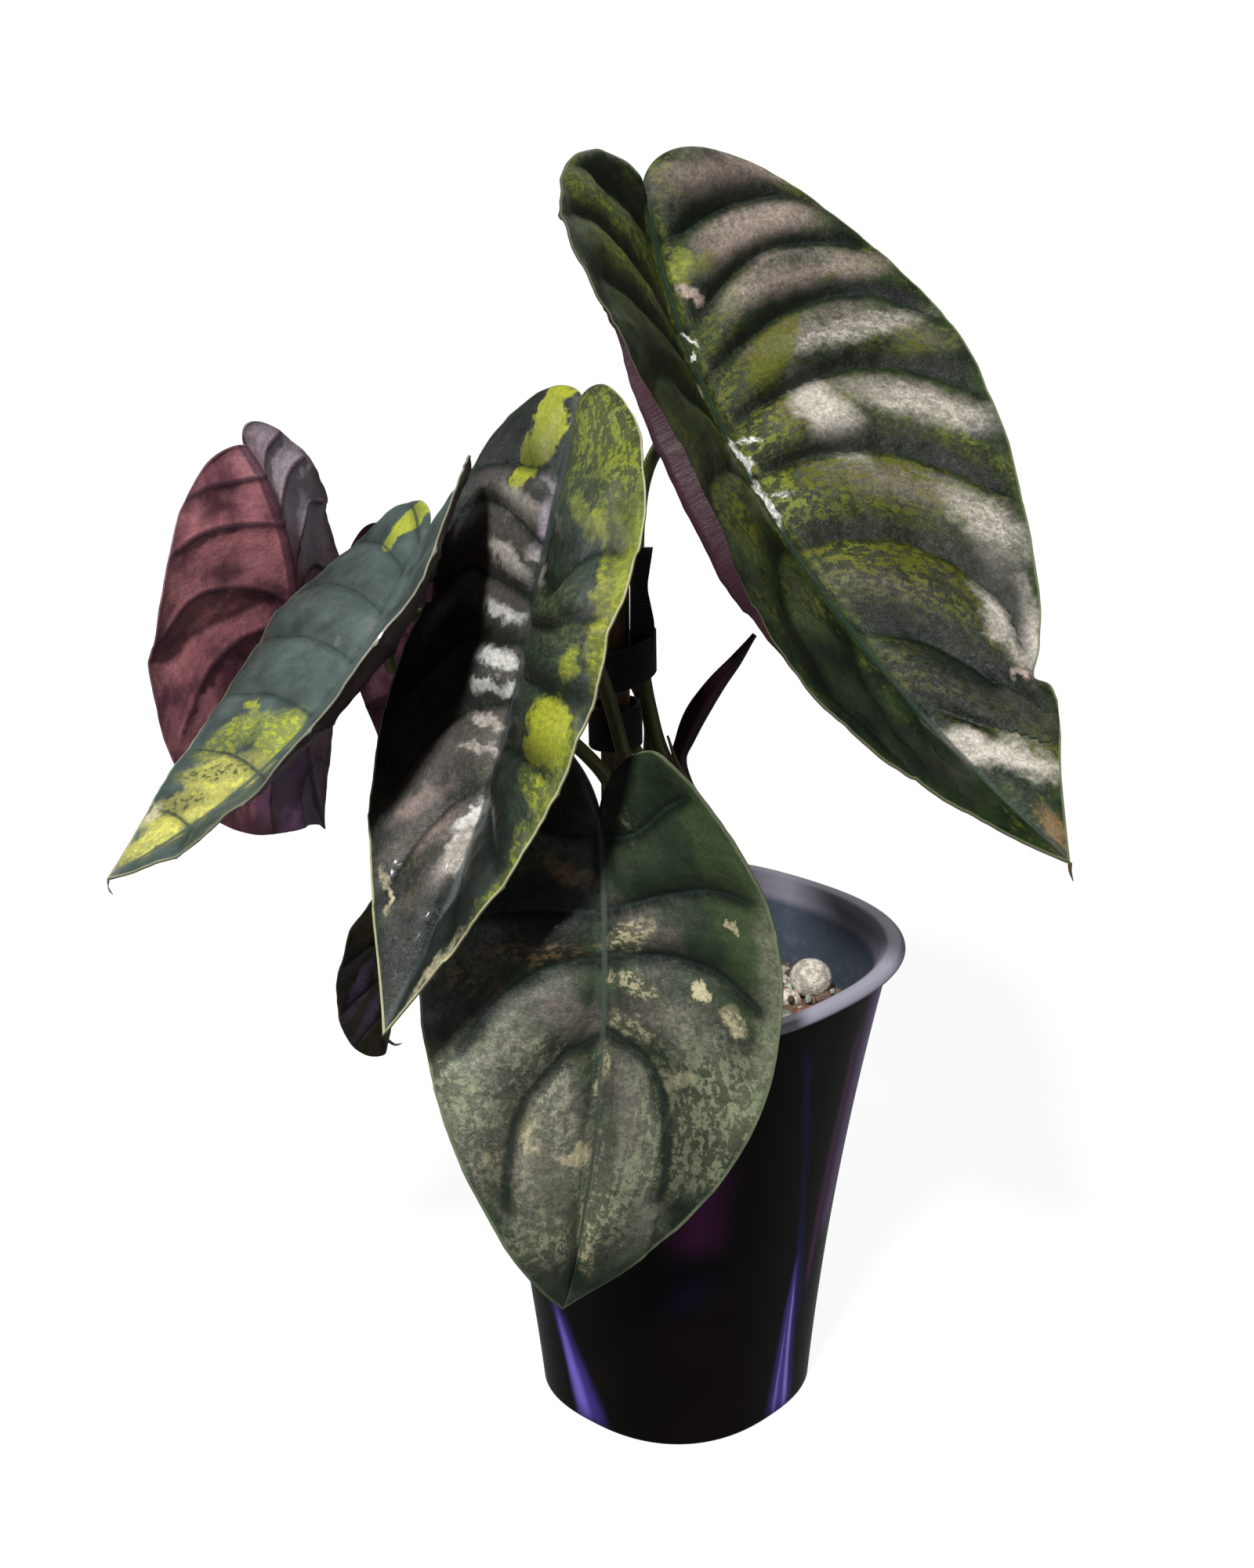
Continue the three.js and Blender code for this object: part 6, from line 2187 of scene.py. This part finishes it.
@dataclass
class Foliage:
    """The seven open blades.

    Args:
        thickness, margin_thickness: between the skins, and what is left of it at the margin.
        rim: how far in from the margin the blade reaches its full thickness.
        ridge, ridge_width: how high the midrib stands above the blade, and its width.
        groove, groove_at, groove_width: how deep the groove beside it is, how far out, and its width.
        vein, vein_width: the same for the side veins, above.
        rib_depth, rib_width: how far the midrib stands out below, and its width.
        vein_depth, vein_below: the same for the side veins, below.
        rib_start: how far past the sinus the midrib and the veins reach their full height.
        vein_start: how far from the midrib the side veins start to rise and have risen.
        quilt_power: below 1 the quilting is flat-topped with narrow valleys.
        quilt_foot: the share of the half width over which the quilting rises beside the midrib.
        quilt_fade: how much of the quilting is gone at the margin.
        wave: the margin's wave, over the bulge.
        coarse, fine: the length of the longest ripples, and their height.
        tail_radius, tail_taper: the drip tip's radius, and how much of it is lost by its end.
        bead, bead_run, hem_radius: the hem's radius and run where it is only a bead, and what its radius gains.
        hem_ease: the share of the margin over which the hem grows.
        hem_turn: how far the hem turns up.
        end_bay: the missing distance to the next vein before the first and past the last one.
        tear_leaf, tear_at, tear_half: the torn blade, and its slit's middle and half sizes in X and Z.
        box_inset: how far inside the CAD's box a blade stays.
    """

    thickness: float = 0.8
    margin_thickness: float = 0.6
    rim: float = 4.0
    ridge: float = 0.55
    ridge_width: float = 1.5
    groove: float = 0.3
    groove_at: float = 3.2
    groove_width: float = 1.3
    vein: float = 0.18
    vein_width: float = 0.7
    rib_depth: float = 1.3
    rib_width: float = 1.8
    vein_depth: float = 0.5
    vein_below: float = 0.9
    rib_start: float = 12.0
    vein_start: tuple[float, float] = (1.5, 4.0)
    quilt_power: float = 0.6
    quilt_foot: float = 0.16
    quilt_fade: float = 0.78
    wave: float = 0.07
    coarse: tuple[float, float] = (34.0, 0.45)
    fine: tuple[float, float] = (9.0, 0.10)
    tail_radius: float = 0.62
    tail_taper: float = 0.5
    bead: float = 0.3
    bead_run: float = 0.05
    hem_radius: float = 1.1
    hem_ease: float = 0.16
    hem_turn: float = 104.0
    end_bay: float = 25.0
    tear_leaf: str = "centre"
    tear_at: tuple[float, float] = (-71.5, 284.0)
    tear_half: tuple[float, float] = (1.6, 5.2)
    box_inset: float = 0.02

    def side_veins(self, leaf: LeafShape, side: int) -> Array:
        """Works out a half's side veins in the flat blade.

        Veins that are listed for the half are smoothed. A half without a list takes the other half's, drawn
        to its own width, and a blade without one has evenly spread veins along its rows.

        Args:
            leaf: the blade's sizes.
            side: -1 for the left half and 1 for the right one.

        Returns:
            An array of veins, points along each, and x and y in mm, with y outwards.
        """
        count = 48
        lists = VEINS.get(leaf.name, ((), ()))
        lines = lists[side > 0] or lists[side < 0]
        if not lines:
            return leaf.flat_rows(side, np.arange(1, leaf.bays) / leaf.bays, np.linspace(0, 1, count))
        scale = 1.0 if lists[side > 0] else leaf.half[side > 0] / leaf.half[side < 0]
        flat = [np.pad(np.array(line, float) * (1, scale), ((0, 0), (0, 1))) for line in lines]
        return np.stack([smooth_path(line, count)[:, :2] for line in flat])

    def bays(self, veins: Array, flat: Array) -> tuple[Array, Array]:
        """Measures where points lie among the side veins.

        Args:
            veins: the half's side veins.
            flat: the points, x and y in the flat blade.

        Returns:
            The distance to the nearest vein, and the bay: the number of the vein on the sinus side plus the share
            of the way from it to the next one, d1 / (d1 + d2). Which side of its nearest vein a point lies on is
            the sign of the cross product of the vein's direction and the point's offset from it.
        """
        points = flat.reshape(-1, 1, 2)
        every = np.arange(len(points))
        reach, past = [], []
        for vein in veins:
            offset = points - vein[None]
            length = np.linalg.norm(offset, axis=-1)
            near = length.argmin(1)
            along, away = np.gradient(vein, axis=0)[near], offset[every, near]
            reach.append(length[every, near])
            past.append(along[:, 1] * away[:, 0] > along[:, 0] * away[:, 1])
        reach = np.stack(reach)
        nearest = reach.argmin(0)
        low = np.where(np.stack(past)[nearest, every], nearest, nearest - 1)
        padded = np.pad(reach, ((1, 1), (0, 0)), constant_values=self.end_bay)
        to_low, to_high = padded[low + 1, every], padded[low + 2, every]
        bay = low + to_low / np.maximum(to_low + to_high, 1e-6)
        return reach.min(0).reshape(flat.shape[:-1]), bay.reshape(flat.shape[:-1])

    def ripple(self, flat: Array, longest: float, seed: int) -> Array:
        """Makes random waves.

        Args:
            flat: where they are read in the flat blade.
            longest: the longest wave in mm; the shortest is 0.4 of it.
            seed: the random numbers' seed.

        Returns:
            Values of about -1 to 1: a sum of sines with scattered directions and lengths, over the root of
            their number.
        """
        count = 26
        rng = np.random.default_rng(seed)
        angle, shift = rng.uniform(0, TURN, (2, count))
        rate = TURN / (longest * rng.uniform(0.4, 1, count))
        phase = flat @ np.stack([rate * np.cos(angle), rate * np.sin(angle)]) + shift
        return np.sin(phase).sum(-1) / np.sqrt(count)

    def hemmed(self, leaf: LeafShape, u: Array, flat: Array, height: Array) -> tuple[Array, Array]:
        """Turns a half's margin up from the blade.

        Past the margin the sheet follows an arc upwards and then runs straight on, a little past square to
        the blade. Its radius and its run grow from a thin bead to the hem's full size between its two ends.

        Args:
            leaf: the blade's sizes.
            u: the rows' shares of the margin.
            flat: the half's flat points.
            height: how high each is raised.

        Returns:
            The flat points and heights with the hem's columns added.
        """
        start, stop, width = leaf.hem
        grown = smoothstep(start, start + self.hem_ease, u) * smoothstep(stop, stop - self.hem_ease, u)
        share = grown[:, None]
        radius, run = self.bead + self.hem_radius * share, self.bead_run + width * share
        along = unit(np.gradient(flat[:, -1], axis=0))
        out = np.stack([-along[:, 1], along[:, 0]], -1)[:, None]
        turn = np.radians(self.hem_turn) * (0.25 + 0.75 * share)
        angle = turn * np.linspace(0, 1, 8)[None, 1:]
        back = np.linspace(0, 1, 6)[None, 1:]
        reach = np.concatenate([radius * np.sin(angle), radius * np.sin(turn) + run * back * np.cos(turn)], 1)
        rise = np.concatenate([radius * (1 - np.cos(angle)),
                               radius * (1 - np.cos(turn)) + run * back * np.sin(turn)], 1)
        more = flat[:, -1:] + out * reach[..., None]
        return np.concatenate([flat, more], 1), np.concatenate([height, height[:, -1:] + rise], 1)

    def half(self, leaf: LeafShape, side: int, u: Array, v: Array) -> dict[str, Array]:
        """Works out one half of a blade's middle surface.

        Between two side veins the blade swells by the bulge times sin(pi times the share of the way)^0.6, less
        near the midrib and the margin, and two scales of ripples and a wave along the margin ride on it. All
        of it fades over the first twelfth and the last eighth of the rows.

        Args:
            leaf: the blade's sizes.
            side: -1 for the left half and 1 for the right one.
            u: the rows' shares of the margin.
            v: the columns' shares of the way from the midrib to the margin.

        Returns:
            Grids of the points and of each mark.
        """
        ends = np.minimum(1, np.minimum(8 * (1 - u), 12 * u))[:, None]
        flat = leaf.flat_rows(side, u, v)
        gap, bay = self.bays(self.side_veins(leaf, side), flat)
        foot = 1 - np.exp(-((v / self.quilt_foot) ** 2))
        swell = np.sin(np.pi * (bay % 1)) ** self.quilt_power
        share = swell * foot * (1 - self.quilt_fade * v**4) * ends
        coarse = self.ripple(flat, self.coarse[0], 3 * leaf.bays + side)
        fine = self.ripple(flat, self.fine[0], 7 * leaf.rows + side)
        height = leaf.bulge * share + ends * foot * (self.coarse[1] * coarse + self.fine[1] * fine)
        height = height + self.wave * leaf.bulge * (np.sin(TURN * bay) * v**5 * ends)
        if leaf.hem and side < 0:
            flat, height = self.hemmed(leaf, u, flat, height)
        more = flat.shape[1] - len(v)
        gap, bay, share = (np.pad(grid, ((0, 0), (0, more)), "edge") for grid in (gap, bay, share))
        across = np.broadcast_to(np.pad(v, (0, more), "edge"), gap.shape)
        run = np.linalg.norm(np.diff(flat, axis=1), axis=-1)
        edge = np.cumsum(np.pad(run, ((0, 0), (0, 1)))[:, ::-1], 1)[:, ::-1]
        rib = np.where(np.arange(flat.shape[1]) < len(v), flat[..., 1], flat[:, len(v) - 1, None, 1])
        return {
            "point": leaf.bent(side, flat, height),
            "flat": np.stack([flat[..., 0], side * flat[..., 1], 0 * gap], -1),
            "vein": np.stack([bay, 3 * across, 5.0 * side * np.minimum(1, across * 20)], -1),
            "gap": gap, "rib": rib, "edge": edge, "lift": share,
        }

    def sheet(self, leaf: LeafShape) -> tuple[Array, Array, dict[str, Array]]:
        """Works out a blade's middle surface.

        Rows run from the midrib to the margin, and columns from the left margin over the midrib to the right
        one. The first and last rows shrink to single points at the sinus and tip.

        Args:
            leaf: the blade's sizes.

        Returns:
            The points, the corner numbers of the grid, and the marks of each point.
        """
        u = np.linspace(0, 1, leaf.rows + 1)
        v = np.linspace(0, 1, leaf.columns + 1) ** 1.25
        left = {k: grid[:, ::-1] for k, grid in self.half(leaf, -1, u, v).items()}
        right = {k: grid[:, 1:] for k, grid in self.half(leaf, 1, u, v).items()}
        whole = {k: np.concatenate([left[k], right[k]], 1) for k in left}
        columns = whole["gap"].shape[1]
        middle = slice(left["gap"].shape[1] - 1, left["gap"].shape[1])
        inner = {k: np.concatenate([g[0, middle], g[1:-1].reshape(-1, *g.shape[2:]), g[-1, middle]])
                 for k, g in whole.items()}
        index = 1 + np.arange((leaf.rows - 1) * columns).reshape(leaf.rows - 1, columns)
        return inner.pop("point"), index, inner

    def faces(self, index: Array, last: int) -> list[Array]:
        """Joins the sheet's points.

        Args:
            index: the corner numbers of the grid.
            last: the tip's corner number; the sinus has 0.

        Returns:
            The quads, and the fans of triangles at the two ends.
        """
        zero = np.zeros(index.shape[1] - 1, int)
        first = np.stack([zero, index[0, :-1], index[0, 1:]], -1)
        final = np.stack([zero + last, index[-1, 1:], index[-1, :-1]], -1)
        return [quads_of(index, flip=True), np.concatenate([first, final])]

    def torn(self, points: Array, faces: list[Array]) -> list[Array]:
        """Opens the slit: drops the faces inside an ellipse in X and Z and moves its rim onto the ellipse.

        Args:
            points: the sheet's points; those on the rim are moved.
            faces: its faces.

        Returns:
            The faces that are left.
        """
        offset = (points[:, [0, 2]] - self.tear_at) / self.tear_half
        far = np.linalg.norm(offset, axis=1)
        kept = []
        for group in faces:
            inside = far[group].mean(1) < 1
            kept.append(group[~inside])
            used = np.intersect1d(group[inside], group[~inside])
            moved = offset[used] / np.maximum(far[used], 1e-6)[:, None] * self.tear_half + self.tear_at
            points[used[:, None], [0, 2]] = moved
        return kept

    def normals(self, points: Array, faces: list[Array]) -> Array:
        """Works out which way the sheet faces.

        Args:
            points: the sheet's points.
            faces: its faces.

        Returns:
            Each point's mean face direction, from the cross product of each quad's diagonals or each
            triangle's sides.
        """
        total = np.zeros_like(points)
        for group in faces:
            a, b, c, d = (points[group[:, i]] for i in (0, 1, 2, group.shape[1] - 1))
            face = np.cross(c - a, d - b) if group.shape[1] == 4 else np.cross(b - a, c - a)
            for corner in group.T:
                np.add.at(total, corner, face)
        return unit(total)

    def relief(self, leaf: LeafShape, marks: dict[str, Array]) -> tuple[Array, Array]:
        """Works out how far each skin lies from the middle surface.

        The skins are nearer together at the margin. The midrib stands up as a low ridge between two shallow
        grooves on top, and below as a rib that fades to the tip with the root of the way left. Ridges and
        grooves are bells: e to the minus squared distance over the width.

        Args:
            leaf: the blade's sizes.
            marks: the sheet's marks.

        Returns:
            The distances of the upper and the lower skin.
        """
        def bell(distance: Array, width: float) -> Array:
            """Returns e to the minus squared distance over the width."""
            return np.exp(-((distance / width) ** 2))

        along, rib, gap = marks["flat"][:, 0], marks["rib"], marks["gap"]
        full = smoothstep(0, self.rim, marks["edge"])
        half = (self.margin_thickness + (self.thickness - self.margin_thickness) * full) / 2
        to_tip = np.clip(1 - along / leaf.length, 0, 1)
        fade = np.sqrt(to_tip) * smoothstep(-leaf.sinus, -leaf.sinus + self.rib_start, along)
        groove = self.groove * bell(rib - self.groove_at, self.groove_width)
        ridge = fade * (self.ridge * bell(rib, self.ridge_width) - groove)
        vein = self.vein * fade * bell(gap, self.vein_width) * smoothstep(*self.vein_start, rib)
        below = fade * (self.rib_depth * bell(rib, self.rib_width) + self.vein_depth * bell(gap, self.vein_below))
        return half + ridge + vein, half + below

    def tail(self, leaf: LeafShape, tip: Array, marks: dict[str, Array]) -> Shape:
        """Makes the blade's curled drip tip.

        Args:
            leaf: the blade's sizes.
            tip: the blade's last point.
            marks: the sheet's marks.

        Returns:
            A thin rod from the tip through the tail's points, whose radius falls with the power 1.3 of the way
            and whose marks are the tip's own, far from any vein or margin.
        """
        count, far = 24, 9.0
        path = smooth_path(tip + np.array([(0.0, 0.0, 0.0), *leaf.tail]), count)
        radius = self.tail_radius - self.tail_taper * np.linspace(0, 1, count) ** 1.3
        shape = rod(path, radius, radius, 10)
        size = len(shape.points)
        shape.marks = {k: np.repeat(m[-1:], size, 0) for k, m in marks.items()}
        shape.marks |= {name: np.full(size, far) for name in ("gap", "rib", "edge")}
        shape.marks["under"] = np.zeros(size)
        return shape

    def blade(self, leaf: LeafShape) -> Shape:
        """Gives the sheet its two skins, and closes its open edges with a narrow wall.

        An edge is open where no face runs along it the other way.

        Args:
            leaf: the blade's sizes.

        Returns:
            The blade, kept inside the CAD's box.
        """
        points, index, marks = self.sheet(leaf)
        faces = self.faces(index, len(points) - 1)
        tip = points[-1].copy()
        if leaf.name == self.tear_leaf:
            faces = self.torn(points, faces)
        normal = self.normals(points, faces)
        above, below = self.relief(leaf, marks)
        count = len(points)
        edges = np.concatenate([np.stack([g, np.roll(g, -1, 1)], -1).reshape(-1, 2) for g in faces])
        forward = edges[:, 0] * count + edges[:, 1]
        backward = edges[:, 1] * count + edges[:, 0]
        a, b = edges[~np.isin(forward, backward)].T
        wall = np.stack([b, a, count + a, count + b], -1)
        turned = [count + g[:, ::-1] for g in faces]
        both = {k: np.concatenate([m, m]) for k, m in marks.items()}
        both["under"] = np.repeat([0.0, 1.0], count)
        skins = np.concatenate([points + normal * above[:, None], points - normal * below[:, None]])
        shape = Shape(skins, [*faces, *turned, wall], both)
        if leaf.tail:
            shape = Shape.joined([shape, self.tail(leaf, tip, marks)])
        low, high = (np.array(corner) / MM for corner in CAD_BOX)
        shape.points = np.clip(shape.points, low + self.box_inset, high - self.box_inset)
        return shape

    def build(self) -> None:
        """Makes every blade with its own skin."""
        for leaf in LEAVES:
            skin = SKINS[leaf.name].material(f"skin_{leaf.name}")
            slot = "leaf_maroon" if leaf.name in ("back_left", "low_left", "behind") else "leaf_green"
            self.blade(leaf).piece(f"blade_{leaf.name}", skin, slot, (f"leaf_{leaf.name}",), BLADE_CREASE)


# Studio


class LampKind(Enum):
    """The kinds of lamp."""

    SUN = "SUN"
    AREA = "AREA"


@dataclass(frozen=True)
class Lamp:
    """A lamp that looks at a target.

    Args:
        name: its name.
        kind: its kind.
        at, target: where it hangs and what it looks at, in metres.
        power: its strength.
        colour: its colour.
        size: an area lamp's width in metres, or the angle in degrees over which the sun is spread.
    """

    name: str
    kind: LampKind
    at: Point
    power: float
    colour: Colour
    size: float
    target: Point = (0.0, 0.0, 0.2)

    def hang(self) -> None:
        """Makes the lamp: an area lamp is 1.6 times as long as it is wide."""
        data = bpy.data.lights.new(self.name, self.kind.value)
        data.energy = self.power
        data.color = self.colour
        if self.kind == LampKind.SUN:
            data.angle = np.radians(self.size)
        else:
            data.shape = "RECTANGLE"
            data.size, data.size_y = self.size, self.size * 1.6
        lamp = bpy.data.objects.new(self.name, data)
        aim = (Vector(self.target) - Vector(self.at)).to_track_quat("-Z", "Y")
        lamp.matrix_world = Matrix.Translation(Vector(self.at)) @ aim.to_matrix().to_4x4()
        bpy.context.scene.collection.objects.link(lamp)


@dataclass
class Studio:
    """The white floor, the light and the camera.

    Args:
        eye: the camera's place.
        pitch, roll: how far it looks down and leans, in degrees.
        lens, sensor: its focal length and film width.
        floor_rings: the floor's rings, in metres.
        around: points round each of them.
        glow: how much the floor shines by itself.
        surround: how bright the white surround is for the object; the camera sees it at 1.
        lamps: the lamps.
    """

    eye: Point = (-13.4, -735.2, 477.0)
    pitch: float = 19.7
    roll: float = -1.0
    lens: float = 57.0
    sensor: float = 36.0
    floor_rings: tuple[float, ...] = (0.3, 1.0, 2.5, 6.0)
    around: int = 96
    glow: float = 0.93
    surround: float = 0.13
    lamps: tuple[Lamp, ...] = (
        Lamp("key", LampKind.SUN, (-0.42, -1.55, 1.95), 4.4, (1.0, 0.985, 0.95), 5.0),
        Lamp("window", LampKind.AREA, (-1.15, 0.0, 0.66), 5.0, (0.97, 0.98, 1.0), 0.36, (-0.05, -0.06, 0.27)),
        Lamp("sky", LampKind.AREA, (0.30, 0.15, 1.6), 0.7, (0.97, 0.98, 1.0), 0.34, (0.05, -0.05, 0.3)),
        Lamp("fill", LampKind.AREA, (1.5, -1.5, 0.8), 5.0, (1.0, 0.97, 0.97), 1.1),
        Lamp("back", LampKind.AREA, (0.3, 1.9, 1.3), 6.0, (0.98, 0.98, 1.0), 1.1),
    )

    def camera(self) -> None:
        """Sets the camera at the photograph's place and angle.

        It looks along +Y, down by the pitch. Its right and up directions are turned about that by the roll.
        """
        p, r = np.radians([self.pitch, self.roll])
        ahead = np.array([0, np.cos(p), -np.sin(p)])
        level = np.array([1.0, 0, 0])
        rise = np.array([0, np.sin(p), np.cos(p)])
        right = np.cos(r) * level + np.sin(r) * rise
        up = -np.sin(r) * level + np.cos(r) * rise
        turn = Matrix([[right[i], up[i], -ahead[i]] for i in range(3)]).to_4x4()
        data = bpy.data.cameras.new("camera")
        data.lens = self.lens
        data.sensor_width = self.sensor
        data.sensor_fit = "AUTO"
        data.clip_start, data.clip_end = 0.05, 50.0
        camera = bpy.data.objects.new("camera", data)
        camera.matrix_world = Matrix.Translation(Vector(self.eye) * MM) @ turn
        bpy.context.scene.collection.objects.link(camera)
        bpy.context.scene.camera = camera

    def floor(self) -> None:
        """Lays the floor: a wide white sheet, a disc of rings round a middle point."""
        rows, columns = len(self.floor_rings), self.around
        angle = round_turn(columns)
        radius = np.array(self.floor_rings)[:, None] / MM
        rings = np.stack([radius * np.cos(angle), radius * np.sin(angle), np.zeros((rows, columns))], -1)
        index = np.arange(rows * columns).reshape(rows, columns)
        index = np.hstack([index, index[:, :1]])
        middle = np.stack([np.full(columns, rows * columns), index[0, :-1], index[0, 1:]], -1)
        points = np.concatenate([rings.reshape(-1, 3), [[0, 0, 0]]])
        w = Wiring.fresh("white_floor")
        tint = w.lay((0.07, 0.07, 0.07), (0.085, 0.085, 0.085), w.noise(w.place(), 0.002, 1.0))
        material = w.finish(Base_Color=tint, Roughness=0.95, Specular_IOR_Level=0.0,
                            Emission_Color=(1.0, 1.0, 1.0), Emission_Strength=self.glow)
        mesh = bpy.data.meshes.new("floor")
        mesh.from_pydata((points * MM).tolist(), [], [*quads_of(index, flip=True).tolist(), *middle.tolist()])
        mesh.materials.append(material)
        thing = bpy.data.objects.new("floor", mesh)
        bpy.context.scene.collection.objects.link(thing)
        thing.visible_diffuse = thing.visible_glossy = False

    def light(self) -> None:
        """Lights the scene: a surround that is white for the camera and dimmer for the object, and the lamps."""
        world = bpy.data.worlds.new("surround")
        bpy.context.scene.world = world
        world.use_nodes = True
        tree = world.node_tree
        back = tree.nodes["Background"]
        path = tree.nodes.new("ShaderNodeLightPath")
        strength = tree.nodes.new("ShaderNodeMapRange")
        strength.inputs["To Min"].default_value = self.surround
        strength.inputs["To Max"].default_value = 1.0
        tree.links.new(path.outputs["Is Camera Ray"], strength.inputs["Value"])
        tree.links.new(strength.outputs["Result"], back.inputs["Strength"])
        back.inputs["Color"].default_value = (1, 1, 1, 1)
        for lamp in self.lamps:
            lamp.hang()
        bpy.context.scene.view_settings.view_transform = "Standard"
        bpy.context.scene.view_settings.look = "None"

    def build(self) -> None:
        """Sets up the camera, floor and light."""
        self.camera()
        self.floor()
        self.light()


def main() -> None:
    """Builds the pot, the plant and the studio."""
    logging.basicConfig(level=logging.INFO, format="%(name)s: %(message)s")
    Studio().build()
    planter = Planter()
    planter.build()
    Bed(planter).build()
    Support().build()
    Stems().build()
    Foliage().build()


if __name__ == "__main__":
    main()
